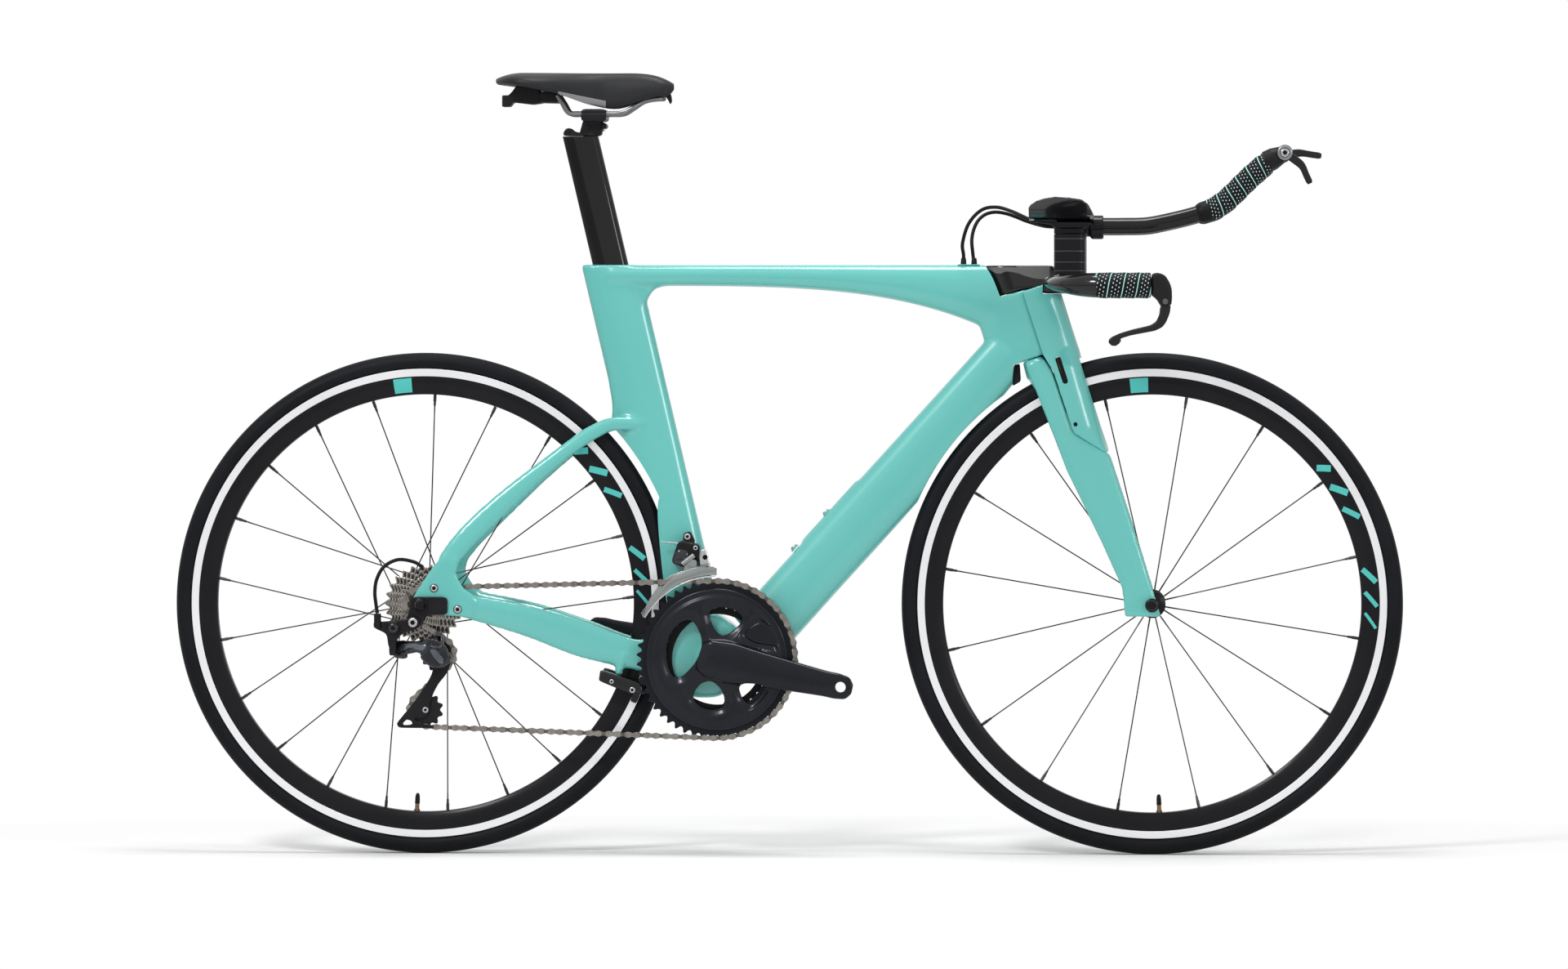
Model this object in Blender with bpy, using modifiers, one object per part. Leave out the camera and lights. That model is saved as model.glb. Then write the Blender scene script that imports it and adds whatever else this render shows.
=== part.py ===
# Aero time-trial road bike, drive side along -Y, facing +X, ground at Z = 0, metres.
# The origin is on the ground, midway between the two wheels' contact points.

import math

import bmesh
import bpy
import numpy as np
from mathutils import Matrix, Vector

for old in list(bpy.data.objects):
    bpy.data.objects.remove(old, do_unlink=True)

# Driving dimensions: overall layout
WHEELBASE = 0.9756
TYRE_RADIUS = 0.336
CHAIN_STAY = 0.401
BRACKET_DROP = 0.0735
HEAD_ANGLE = math.radians(72.0)
FORK_RAKE = 0.043
SEAT_ANGLE = math.radians(76.8)
SEAT_SETBACK = 0.0215
TOP_TUBE_RISE = 0.5275
FIT_GAP = 0.0003

# Driving dimensions: wheels
TYRE_WIDTH = 0.025
TYRE_WALL = 0.0024
TYRE_SWEEP = math.radians(135)
RIM_DEPTH = 0.0343
RIM_WIDTH = 0.0226
RIM_WALL = 0.0022
WHEEL_STEPS = 48
SPOKE_RADIUS = 0.0011
FRONT_SPOKES = 16
REAR_SPOKE_GROUPS = 7
FRONT_HUB_WIDTH = 0.100
REAR_HUB_WIDTH = 0.130
FRONT_FLANGE_RADIUS = 0.018
FRONT_FLANGE_SIDE = 0.034
LEFT_FLANGE_RADIUS = 0.019
LEFT_FLANGE_SIDE = 0.038
RIGHT_FLANGE_RADIUS = 0.032
RIGHT_FLANGE_SIDE = 0.0170
HUB_RADIUS = 0.011
AXLE_RADIUS = 0.0075
SKEWER_RADIUS = 0.0024
SKEWER_CLEARANCE = 0.0006
VALVE_LENGTH = 0.024
VALVE_RADIUS = 0.0030
FRONT_TYRE_CLEARANCE = 0.0068
REAR_TYRE_CLEARANCE = 0.0100
TYRE_SIDE_CLEARANCE = 0.0045

# Driving dimensions: transmission
CHAIN_PITCH = 0.0127
OUTER_TEETH = 52
INNER_TEETH = 36
COG_TEETH = (11, 12, 13, 14, 15, 16, 17, 19, 21, 23, 25)
PULLEY_TEETH = 11
COG_SPACING = 0.00369
SMALL_COG_SIDE = 0.060
OUTER_RING_SIDE = 0.0465
INNER_RING_SIDE = 0.0387
CRANK_LENGTH = 0.170
CRANK_TILT = math.radians(-12.0)
CRANK_FACE = 0.075
CRANK_FLAT = 0.020
PEDAL_HOLE_RADIUS = 0.0070
SPINDLE_RADIUS = 0.012
SHELL_WIDTH = 0.0865
SHELL_RADIUS = 0.0245
CHAIN_WIDTH = 0.0052
TOOTH_THICKNESS = 0.0018

# Driving dimensions: frame and fork sections
SEAT_TUBE_REAR = 0.0386
SEAT_TUBE_FRONT = 0.0366
SEAT_TUBE_WIDTH = 0.031
TOP_TUBE_WIDTH = 0.036
TOP_TUBE_THIN = 0.0284
TOP_TUBE_DEEP = 0.0854
DOWN_TUBE_WIDTH = 0.043
DOWN_TUBE_DEPTH = 0.077
BRACKET_WIDTH = 0.062
BRACKET_UNDERSIDE = 0.0525
STAY_SIDE = 0.0680
STAY_THICKNESS = 0.0095
HEAD_TUBE_RADIUS = 0.0220
HEAD_BORE_RADIUS = 0.0193
HEAD_LOW = 0.3615
HEAD_DROP = 0.0360
HEAD_TUBE_REAR = 0.0657
STEERER_RADIUS = 0.0143
STEM_TAIL = 0.0305
STEM_SWING = 0.0313
CROWN_SWING = 0.0335
COVER_WALL = 0.0026
COVER_FRONT = 0.0555
COVER_SEAM = 0.0072
BLADE_TIP_SIDE = 0.0542

# Driving dimensions: seat and cockpit
SEATPOST_DEPTH = 0.0470
SEATPOST_WIDTH = 0.0235
SEATPOST_TOP = 0.7185
SEATPOST_FOOT = 0.4000
RAIL_RADIUS = 0.0035
RAIL_SIDE = 0.022
SADDLE_LENGTH = 0.239
SADDLE_WIDTH = 0.134
GRIP_SIDE = 0.190
GRIP_RADIUS = 0.0164
RISER_SIDE = 0.076
EXTENSION_SIDE = 0.062
EXTENSION_RADIUS = 0.0111
PAD_SIDE = 0.090
CABLE_RADIUS = 0.0024

# Datum points and directions, all in the plane of the bike
REAR_AXLE = Vector((-WHEELBASE / 2, 0, TYRE_RADIUS))
FRONT_AXLE = Vector((WHEELBASE / 2, 0, TYRE_RADIUS))
STAY_RUN = math.sqrt(CHAIN_STAY ** 2 - BRACKET_DROP ** 2)
BRACKET = REAR_AXLE + Vector((STAY_RUN, 0, -BRACKET_DROP))
STEER_UP = Vector((-math.cos(HEAD_ANGLE), 0, math.sin(HEAD_ANGLE)))
STEER_FORWARD = Vector((math.sin(HEAD_ANGLE), 0, math.cos(HEAD_ANGLE)))
STEER_FOOT = FRONT_AXLE - FORK_RAKE * STEER_FORWARD
SEAT_UP = Vector((-math.cos(SEAT_ANGLE), 0, math.sin(SEAT_ANGLE)))
SEAT_FORWARD = Vector((math.sin(SEAT_ANGLE), 0, math.cos(SEAT_ANGLE)))
SEAT_FOOT = BRACKET - Vector((SEAT_SETBACK, 0, 0))
TOP_LINE = BRACKET.z + TOP_TUBE_RISE
SIDEWAYS = Vector((0, 1, 0))
HEAD_HIGH = (TOP_LINE - HEAD_DROP - STEER_FOOT.z) / STEER_UP.z
DOWN_TUBE_HEAD = HEAD_LOW + 0.436 * (HEAD_HIGH - HEAD_LOW)

# Collections and materials
BIKE = bpy.data.collections.new("road_bike")
CUTTERS = bpy.data.collections.new("cutters")
bpy.context.scene.collection.children.link(BIKE)
bpy.context.scene.collection.children.link(CUTTERS)


def finish(name, colour, roughness, metallic=0.0):
    """A Principled material of one colour."""
    material = bpy.data.materials.new(name)
    material.use_nodes = True
    shader = material.node_tree.nodes["Principled BSDF"]
    shader.inputs["Base Color"].default_value = (*colour, 1.0)
    shader.inputs["Roughness"].default_value = roughness
    shader.inputs["Metallic"].default_value = metallic
    return material


TURQUOISE = finish("turquoise_lacquer", (0.17, 0.58, 0.52), 0.35)
CARBON = finish("black_carbon", (0.015, 0.015, 0.017), 0.3)
BLACK_ALLOY = finish("black_anodised", (0.02, 0.02, 0.022), 0.4, 0.6)
GREY_ALLOY = finish("grey_anodised", (0.05, 0.052, 0.058), 0.38, 0.7)
SILVER = finish("bare_alloy", (0.62, 0.62, 0.62), 0.3, 1.0)
STEEL = finish("chain_steel", (0.28, 0.25, 0.21), 0.35, 1.0)
RUBBER = finish("rubber", (0.02, 0.02, 0.02), 0.75)
FOAM = finish("pad_foam", (0.025, 0.025, 0.03), 0.8)
PLASTIC = finish("black_plastic", (0.02, 0.02, 0.02), 0.5)
BRASS = finish("valve_brass", (0.45, 0.36, 0.2), 0.35, 1.0)


# Building blocks: every function returns one closed mesh object in world coordinates
def hold(name, mesh):
    """Link a working solid into the cutters' collection."""
    solid = bpy.data.objects.new(name, mesh)
    solid.hide_render = True
    solid.display_type = "WIRE"
    CUTTERS.objects.link(solid)
    return solid


def from_bmesh(name, work):
    """Close, turn outwards and store a bmesh."""
    bmesh.ops.remove_doubles(work, verts=work.verts, dist=1e-6)
    bmesh.ops.recalc_face_normals(work, faces=work.faces)
    mesh = bpy.data.meshes.new(name)
    work.to_mesh(mesh)
    work.free()
    return hold(name, mesh)


def loft(name, rings, split=None):
    """Skin a row of closed rings with the same number of points, and cap both ends.

    With a split the faces become triangles, and their diagonals lean the other way from
    that point of the ring on, so the two sides of a sheet run parallel.
    """
    work = bmesh.new()
    rows = [[work.verts.new(tuple(point)) for point in ring] for ring in rings]
    count = len(rows[0])
    for low, high in zip(rows, rows[1:]):
        for k in range(count):
            after = (k + 1) % count
            if split is None:
                work.faces.new((low[k], low[after], high[after], high[k]))
            elif k < split:
                work.faces.new((low[k], low[after], high[after]))
                work.faces.new((low[k], high[after], high[k]))
            else:
                work.faces.new((low[k], low[after], high[k]))
                work.faces.new((low[after], high[after], high[k]))
    work.faces.new(rows[0])
    work.faces.new(rows[-1])
    return from_bmesh(name, work)


def soften(value, power):
    """Superellipse corner rounding: the sign of a cosine or sine times its size to a power."""
    return math.copysign(abs(value) ** power, value)


def section(first, last, width, side=0.0, sides=12, power=0.8):
    """A rounded section between two edge points in the bike's plane, width measured along Y."""
    centre = (first + last) / 2
    half = (last - first) / 2
    ring = []
    for k in range(sides):
        angle = 2 * math.pi * k / sides
        across = side + width / 2 * soften(math.sin(angle), power)
        ring.append(centre + half * soften(math.cos(angle), power) + SIDEWAYS * across)
    return ring


def cylinder(name, start, end, radius, sides=24, end_radius=None):
    """A straight round bar or cone from one point to another."""
    start = Vector(start)
    end = Vector(end)
    work = bmesh.new()
    turn = (end - start).to_track_quat("Z", "Y").to_matrix().to_4x4()
    place = Matrix.Translation((start + end) / 2) @ turn
    last = radius if end_radius is None else end_radius
    bmesh.ops.create_cone(work, cap_ends=True, segments=sides, radius1=radius, radius2=last,
                          depth=(end - start).length, matrix=place)
    return from_bmesh(name, work)


def block(name, centre, size, along=Vector((1, 0, 0)), bevel=0.0):
    """A box whose first side runs along a direction in the bike's plane."""
    along = Vector(along).normalized()
    upward = along.cross(SIDEWAYS)
    work = bmesh.new()
    turn = Matrix((along, SIDEWAYS, upward)).transposed().to_4x4()
    stretch = Matrix.Diagonal((size[0], size[1], size[2], 1))
    bmesh.ops.create_cube(work, size=1, matrix=Matrix.Translation(centre) @ turn @ stretch)
    if bevel:
        bmesh.ops.bevel(work, geom=work.edges[:], offset=bevel, segments=2, profile=0.5,
                        affect="EDGES")
    return from_bmesh(name, work)


def plate(name, outline, side, thickness, holes=(), bevel=0.0):
    """A flat outline in the bike's plane, given a thickness along Y and centred at side."""
    curve = bpy.data.curves.new(name, "CURVE")
    curve.dimensions = "2D"
    curve.fill_mode = "BOTH"
    curve.extrude = thickness / 2 - bevel
    curve.bevel_depth = bevel
    curve.bevel_resolution = 0
    curve.offset = -bevel
    for loop in (outline, *holes):
        spline = curve.splines.new("POLY")
        spline.points.add(len(loop) - 1)
        spline.use_cyclic_u = True
        for point, place in zip(spline.points, loop):
            point.co = (place[0], place[1], 0, 1)
    shape = bpy.data.objects.new(name, curve)
    CUTTERS.objects.link(shape)
    bpy.context.view_layer.update()
    mesh = bpy.data.meshes.new_from_object(shape.evaluated_get(bpy.context.evaluated_depsgraph_get()))
    bpy.data.objects.remove(shape)
    work = bmesh.new()
    work.from_mesh(mesh)
    bpy.data.meshes.remove(mesh)
    stand = Matrix.Translation((0, side, 0)) @ Matrix.Rotation(math.pi / 2, 4, "X")
    bmesh.ops.transform(work, matrix=stand, verts=work.verts)
    return from_bmesh(name, work)


def tube(name, points, radius, sides=2, scales=None):
    """A round wire or tube along a row of points."""
    curve = bpy.data.curves.new(name, "CURVE")
    curve.dimensions = "3D"
    curve.bevel_depth = radius
    curve.bevel_resolution = sides
    curve.use_fill_caps = True
    spline = curve.splines.new("POLY")
    spline.points.add(len(points) - 1)
    for k, place in enumerate(points):
        spline.points[k].co = (*place, 1)
        spline.points[k].radius = 1.0 if scales is None else scales[k]
    shape = bpy.data.objects.new(name, curve)
    CUTTERS.objects.link(shape)
    bpy.context.view_layer.update()
    mesh = bpy.data.meshes.new_from_object(shape.evaluated_get(bpy.context.evaluated_depsgraph_get()))
    bpy.data.objects.remove(shape)
    work = bmesh.new()
    work.from_mesh(mesh)
    bpy.data.meshes.remove(mesh)
    return from_bmesh(name, work)


def turned(name, profile, centre, steps):
    """A ring turned about the Y axis through a centre; the profile holds (radius, side) pairs."""
    work = bmesh.new()
    verts = [work.verts.new((radius, 0, side)) for radius, side in profile]
    for k, vert in enumerate(verts):
        work.edges.new((vert, verts[(k + 1) % len(verts)]))
    mesh = bpy.data.meshes.new(name)
    work.to_mesh(mesh)
    work.free()
    shape = bpy.data.objects.new(name, mesh)
    CUTTERS.objects.link(shape)
    screw = shape.modifiers.new("turn", "SCREW")
    screw.axis = "Z"
    screw.steps = steps
    screw.render_steps = steps
    screw.use_merge_vertices = True
    screw.merge_threshold = 1e-5
    bpy.context.view_layer.update()
    mesh = bpy.data.meshes.new_from_object(shape.evaluated_get(bpy.context.evaluated_depsgraph_get()))
    bpy.data.objects.remove(shape)
    work = bmesh.new()
    work.from_mesh(mesh)
    bpy.data.meshes.remove(mesh)
    half_step = Matrix.Rotation(math.pi / steps, 4, "Z")
    stand = Matrix.Translation(centre) @ Matrix.Rotation(-math.pi / 2, 4, "X") @ half_step
    bmesh.ops.transform(work, matrix=stand, verts=work.verts)
    return from_bmesh(name, work)


def combine(base, tools, operation):
    """Join tools to a solid, or cut them out of it, and remove them."""
    for tool in tools:
        change = base.modifiers.new("combine", "BOOLEAN")
        change.operation = operation
        change.solver = "EXACT"
        change.object = tool
        bpy.context.view_layer.update()
        dependencies = bpy.context.evaluated_depsgraph_get()
        mesh = bpy.data.meshes.new_from_object(base.evaluated_get(dependencies))
        base.modifiers.clear()
        work = bmesh.new()
        work.from_mesh(mesh)
        bmesh.ops.remove_doubles(work, verts=work.verts, dist=1e-6)
        work.to_mesh(mesh)
        work.free()
        base.data = mesh
        bpy.data.objects.remove(tool)
    return base


def unite(base, *tools):
    return combine(base, tools, "UNION")


def cut(base, *tools):
    return combine(base, tools, "DIFFERENCE")


def joint(name, place):
    """An empty on a joint's axis, the parent of the pieces that move with it."""
    empty = bpy.data.objects.new(name, None)
    empty.empty_display_size = 0.02
    empty.location = place
    BIKE.objects.link(empty)
    bpy.context.view_layer.update()
    return empty


def keep(name, solid, material, parent=None):
    """Give a finished solid its name, material and place in the assembly."""
    work = bmesh.new()
    work.from_mesh(solid.data)
    bmesh.ops.remove_doubles(work, verts=work.verts, dist=2e-6)
    bmesh.ops.dissolve_degenerate(work, edges=work.edges, dist=1e-6)
    work.to_mesh(solid.data)
    work.free()
    solid.name = name
    solid.data.name = name
    solid.data.materials.clear()
    solid.data.materials.append(material)
    solid.data.shade_smooth()
    solid.data.set_sharp_from_angle(angle=math.radians(35))
    solid.hide_render = False
    solid.display_type = "TEXTURED"
    CUTTERS.objects.unlink(solid)
    BIKE.objects.link(solid)
    if parent:
        solid.parent = parent
        solid.matrix_parent_inverse = parent.matrix_world.inverted()
    return solid


def steer_point(along, forward, side=0.0):
    """A point given along the steering axis, in front of it and to its left."""
    return STEER_FOOT + STEER_UP * along + STEER_FORWARD * forward + SIDEWAYS * side


def seat_point(along, forward, side=0.0):
    """A point given along the seat tube's axis, in front of it and to its left."""
    return SEAT_FOOT + SEAT_UP * along + SEAT_FORWARD * forward + SIDEWAYS * side


def near(datum, forward, up, side=0.0):
    """A point given forward, up and left of a datum point."""
    return datum + Vector((forward, side, up))


def flat(*points):
    """The plane coordinates of points, for an outline."""
    return [(point.x, point.z) for point in points]


def arc(centre, radius, start, end, count):
    """Points on an arc in the bike's plane, angles in degrees."""
    angles = np.radians(np.linspace(start, end, count))
    return [(centre.x + radius * math.cos(a), centre.z + radius * math.sin(a)) for a in angles]


def smooth_path(points, count):
    """A smooth curve through hand-picked points (Catmull-Rom), sampled evenly in parameter."""
    picked = [Vector(p) for p in points]
    padded = [2 * picked[0] - picked[1], *picked, 2 * picked[-1] - picked[-2]]
    path = []
    for value in np.linspace(0, len(picked) - 1, count):
        k = min(int(value), len(picked) - 2)
        t = value - k
        a, b, c, d = padded[k:k + 4]
        path.append(0.5 * (2 * b + (c - a) * t + (2 * a - 5 * b + 4 * c - d) * t ** 2
                           + (3 * b - a - 3 * c + d) * t ** 3))
    return path


def mirrored(side):
    """The word and the sign for the right or left copy of a piece."""
    return ("right", -1) if side < 0 else ("left", 1)


# Frame: lofted carbon tubes joined in one moulding
def seat_edge(height, offset):
    """A point on a line parallel to the seat tube's axis, at a height."""
    along = (height - SEAT_FOOT.z - SEAT_FORWARD.z * offset) / SEAT_UP.z
    return seat_point(along, offset)


def seat_tube(grow=0.0):
    stations = ((TOP_LINE + FIT_GAP, SEAT_TUBE_WIDTH), (BRACKET.z + 0.34, SEAT_TUBE_WIDTH),
                (BRACKET.z + 0.14, 0.038), (BRACKET.z + 0.03, 0.050))
    rings = [section(seat_edge(height, -SEAT_TUBE_REAR - grow), seat_edge(height, SEAT_TUBE_FRONT + grow),
                     width + 2 * grow) for height, width in stations]
    return loft("seat_tube", rings)


def top_tube():
    """The underside drops with the fourth power of the distance from the seat tube."""
    rear = seat_edge(TOP_LINE, 0).x
    front = steer_point(HEAD_HIGH, -0.0125).x
    rings = []
    for share in (0.0, 0.15, 0.45, 0.65, 0.8, 0.92, 1.0):
        x = rear + (front - rear) * share
        depth = TOP_TUBE_THIN + (TOP_TUBE_DEEP - TOP_TUBE_THIN) * (share * 1.06) ** 4
        width = TOP_TUBE_WIDTH * (1 + 0.14 * share)
        rings.append(section(Vector((x, 0, TOP_LINE)), Vector((x, 0, TOP_LINE - depth)), width))
    return loft("top_tube", rings)


def down_tube():
    """Straight upper edge; the lower edge follows it, and the wheel clearance cuts it."""
    head = steer_point(DOWN_TUBE_HEAD, -HEAD_TUBE_REAR)
    foot = near(BRACKET, 0.0205, 0.0545)
    along = (foot - head).normalized()
    below = Vector((-along.z, 0, along.x))
    rings = []
    for share, depth, width in ((-0.03, 0.86, 0.97), (0.12, 0.9, 1.0), (0.35, 1.0, 1.03),
                                (0.8, 1.03, 1.12), (1.0, 1.04, 1.25)):
        upper = head + (foot - head) * share
        rings.append(section(upper, upper + below * DOWN_TUBE_DEPTH * depth, DOWN_TUBE_WIDTH * width))
    return loft("down_tube", rings)


def head_tube():
    """Round in front about the steering axis, running back into the two tubes."""
    rings = []
    for along in (HEAD_LOW, HEAD_HIGH):
        ring = []
        for k in range(9):
            angle = math.pi * (k / 8 - 0.5)
            ring.append(steer_point(along, HEAD_TUBE_RADIUS * math.cos(angle),
                                    HEAD_TUBE_RADIUS * math.sin(angle)))
        ring.append(steer_point(along, -0.030, 0.0205))
        ring.append(steer_point(along, -0.057, 0.014))
        ring.append(steer_point(along, -0.057, -0.014))
        ring.append(steer_point(along, -0.030, -0.0205))
        rings.append(ring)
    return loft("head_tube", rings)


def bracket_block():
    """The moulded mass around the bottom bracket, with a flat underside."""
    outline = [near(BRACKET, *p) for p in (
        (-0.050, 0.062), (-0.004, 0.064), (0.028, 0.040), (0.046, -0.006), (0.030, -0.033),
        (0.0, -BRACKET_UNDERSIDE), (-0.036, -BRACKET_UNDERSIDE), (-0.066, -0.040),
        (-0.098, -0.012), (-0.104, 0.026), (-0.078, 0.042))]
    return plate("bracket_block", flat(*outline), 0, BRACKET_WIDTH, bevel=0.007)


def stay(name, start, end, stations):
    """A stay from the dropout to the seat tube or bracket: share, bow, depth, thickness, side."""
    along = (end - start).normalized()
    above = Vector((-along.z, 0, along.x))
    centres = [start + (end - start) * share + above * bow for share, bow, *rest in stations]
    rings = []
    for k, (share, bow, depth, thickness, side) in enumerate(stations):
        before = centres[max(k - 1, 0)]
        after = centres[min(k + 1, len(centres) - 1)]
        way = (after - before).normalized()
        normal = Vector((-way.z, 0, way.x))
        upper = centres[k] + normal * depth / 2
        lower = centres[k] - normal * depth / 2
        rings.append(section(upper, lower, thickness, side=side, sides=10))
    return loft(name, rings)


def seat_stay(sign):
    start = near(REAR_AXLE, 0.034, 0.056)
    end = near(seat_edge(TOP_LINE - 0.211, -0.0386), 0.014, 0.0)
    stations = ((0.0, 0.0, 0.028, 0.0095, STAY_SIDE), (0.10, 0.008, 0.028, 0.010, 0.0645),
                (0.45, 0.015, 0.029, 0.011, 0.047), (0.74, 0.0150, 0.021, 0.012, 0.0315),
                (0.92, 0.0110, 0.0175, 0.012, 0.0200), (1.0, 0.006, 0.014, 0.010, 0.0120))
    return stay("seat_stay", start, end, [(a, b, c, d, sign * e) for a, b, c, d, e in stations])


def stay_wing(sign):
    """The fin that carries the seat stay's upper edge forward on the seat tube's side."""
    root = near(seat_edge(TOP_LINE - 0.211, -0.0386), 0.014, 0.0)
    rings = [section(root + Vector((0, 0, 0.006)), root - Vector((0, 0, 0.006)), 0.008,
                     side=sign * 0.0130, sides=6),
             section(near(root, 0.014, 0.005), near(root, 0.014, -0.002), 0.006,
                     side=sign * 0.0145, sides=6),
             section(near(root, 0.028, 0.001), near(root, 0.028, -0.002), 0.0024,
                     side=sign * 0.0155, sides=6)]
    return loft("stay_wing", rings)


def chain_stay(sign):
    start = near(REAR_AXLE, 0.058, -0.001)
    end = near(BRACKET, -0.040, -0.002)
    stations = ((0.0, 0.0, 0.033, STAY_THICKNESS, STAY_SIDE),
                (0.30, -0.0005, 0.043, 0.013, 0.0500), (0.54, -0.0075, 0.048, 0.014, 0.0370),
                (0.74, -0.0100, 0.042, 0.014, 0.0280), (1.0, 0.0, 0.056, 0.014, 0.0240))
    return stay("chain_stay", start, end, [(a, b, c, d, sign * e) for a, b, c, d, e in stations])


def dropout(sign):
    outline = [near(REAR_AXLE, *p) for p in (
        (0.016, 0.0525), (0.030, 0.066), (0.052, 0.062), (0.0470, 0.040), (0.0580, 0.0215),
        (0.0720, 0.0135), (0.0700, -0.0180), (0.0370, -0.0148), (0.0, -0.0120), (-0.012, -0.008),
        (-0.0135, 0.004), (-0.0098, 0.0135))]
    inner = REAR_HUB_WIDTH / 2 + FIT_GAP
    return plate("dropout", flat(*outline), sign * (inner + 0.0035), 0.0070)


def bottle_seat():
    """A low flat land on the down tube for the bottle cage's two bolts."""
    head = steer_point(DOWN_TUBE_HEAD, -HEAD_TUBE_REAR)
    foot = near(BRACKET, 0.0205, 0.0545)
    middle = head + (foot - head) * 0.612
    along = (foot - head).normalized()
    return block("bottle_seat", middle, (0.110, 0.014, 0.0030), along=along)


def wheel_space(centre, radius, half_width, steps=80):
    """The round space that a wheel needs, as a cutter."""
    start = centre - SIDEWAYS * half_width
    end = centre + SIDEWAYS * half_width
    return cylinder("wheel_space", start, end, radius, steps)


REAR_SPACE = TYRE_RADIUS + REAR_TYRE_CLEARANCE
FRONT_SPACE = TYRE_RADIUS + FRONT_TYRE_CLEARANCE
SIDE_SPACE = TYRE_WIDTH / 2 + TYRE_SIDE_CLEARANCE
DROPOUT_OUTER = REAR_HUB_WIDTH / 2 + FIT_GAP + 0.0070
BRAKE_TURN = math.radians(18.3)
BRAKE_WAY = Vector((math.sin(BRAKE_TURN), 0, math.cos(BRAKE_TURN)))
BRAKE_TOP = near(BRACKET, -0.1344, -0.0215)
GLAND_TOP = TOP_LINE + 0.0006
GLAND = Vector((steer_point(HEAD_HIGH + 0.0275, 0).x - 0.0562, 0, GLAND_TOP))


def brake_boss(sign):
    """The round boss under a chain stay that carries one rear brake arm."""
    seat = BRAKE_TOP + SIDEWAYS * sign * 0.0330
    return cylinder("brake_boss", seat + BRAKE_WAY * FIT_GAP, seat + BRAKE_WAY * 0.030, 0.0055, 12)


frame = unite(seat_tube(), top_tube(), down_tube(), head_tube(), bracket_block())
frame = unite(frame, cylinder("shell", near(BRACKET, 0, 0, -SHELL_WIDTH / 2),
                              near(BRACKET, 0, 0, SHELL_WIDTH / 2), SHELL_RADIUS, 24))
for sign in (-1, 1):
    frame = unite(frame, seat_stay(sign), chain_stay(sign), dropout(sign), stay_wing(sign))
frame = unite(frame, bottle_seat(), brake_boss(-1), brake_boss(1),
              block("cable_gland", GLAND - Vector((0, 0, 0.003)), (0.032, 0.018, 0.006)))
SOCKET_FOOT = SEATPOST_FOOT - 0.055
SOCKET_TOP = (TOP_LINE + 0.055 - SEAT_FOOT.z) / SEAT_UP.z
socket_rings = [section(seat_point(along, -SEATPOST_DEPTH / 2 - FIT_GAP),
                        seat_point(along, SEATPOST_DEPTH / 2 + FIT_GAP),
                        SEATPOST_WIDTH + 2 * FIT_GAP, sides=16)
                for along in (SOCKET_FOOT, SOCKET_TOP)]
frame = cut(frame, loft("socket", socket_rings),
            wheel_space(REAR_AXLE, REAR_SPACE, SIDE_SPACE),
            wheel_space(FRONT_AXLE, FRONT_SPACE, 0.060),
            cylinder("stem_space", steer_point(HEAD_HIGH, 0), steer_point(HEAD_HIGH + 0.10, 0), STEM_SWING, 32),
            cylinder("crown_space", steer_point(HEAD_LOW - 0.06, 0), steer_point(HEAD_LOW, 0), CROWN_SWING, 32),
            cylinder("head_bore", steer_point(HEAD_LOW - 0.06, 0), steer_point(HEAD_HIGH + 0.046, 0), HEAD_BORE_RADIUS, 24),
            cylinder("bracket_bore", near(BRACKET, 0, 0, -0.07), near(BRACKET, 0, 0, 0.07), 0.0208, 24),
            cylinder("axle_bore", near(REAR_AXLE, 0, 0, -0.09), near(REAR_AXLE, 0, 0, 0.09),
                     SKEWER_RADIUS + SKEWER_CLEARANCE, 12))
keep("frame", frame, TURQUOISE)

# Bearings, pressed in the frame's bores
for name, side in (("bb_cup_right", -1), ("bb_cup_left", 1)):
    inner = SPINDLE_RADIUS + 0.0004
    face = SHELL_WIDTH / 2 + FIT_GAP
    profile = [(0.0205, side * (face - 0.012)), (0.0205, side * face), (0.0222, side * face),
               (0.0222, side * (face + 0.0025)), (inner, side * (face + 0.0025)),
               (inner, side * (face - 0.012))]
    keep(name, turned(name, profile, BRACKET, 24), BLACK_ALLOY)


def bearing(name, low, high):
    outer = cylinder(name, steer_point(low, 0), steer_point(high, 0), HEAD_BORE_RADIUS - FIT_GAP, 24)
    hole = cylinder("hole", steer_point(low - 0.01, 0), steer_point(high + 0.01, 0),
                    STEERER_RADIUS + FIT_GAP, 24)
    keep(name, cut(outer, hole), STEEL)


bearing("headset_bearing_lower", HEAD_LOW + 0.001, HEAD_LOW + 0.012)
bearing("headset_bearing_upper", HEAD_HIGH - 0.012, HEAD_HIGH - 0.001)


# Seat: aero post in its socket, two-bolt head, rails, shell, cover and tail bracket
seat_joint = joint("seat_joint", seat_point(SEATPOST_TOP, 0))
post_rings = []
for along in (SEATPOST_FOOT, SEATPOST_TOP):
    rear = seat_point(along, -SEATPOST_DEPTH / 2)
    front = seat_point(along, SEATPOST_DEPTH / 2)
    post_rings.append(section(rear, front, SEATPOST_WIDTH, sides=16))
level = seat_point(SEATPOST_TOP, 0).z
post_rings[-1] = [point + SEAT_UP * ((level - point.z) / SEAT_UP.z) for point in post_rings[-1]]
seatpost = loft("seatpost", post_rings)
keep("seatpost", seatpost, CARBON, seat_joint)

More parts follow.
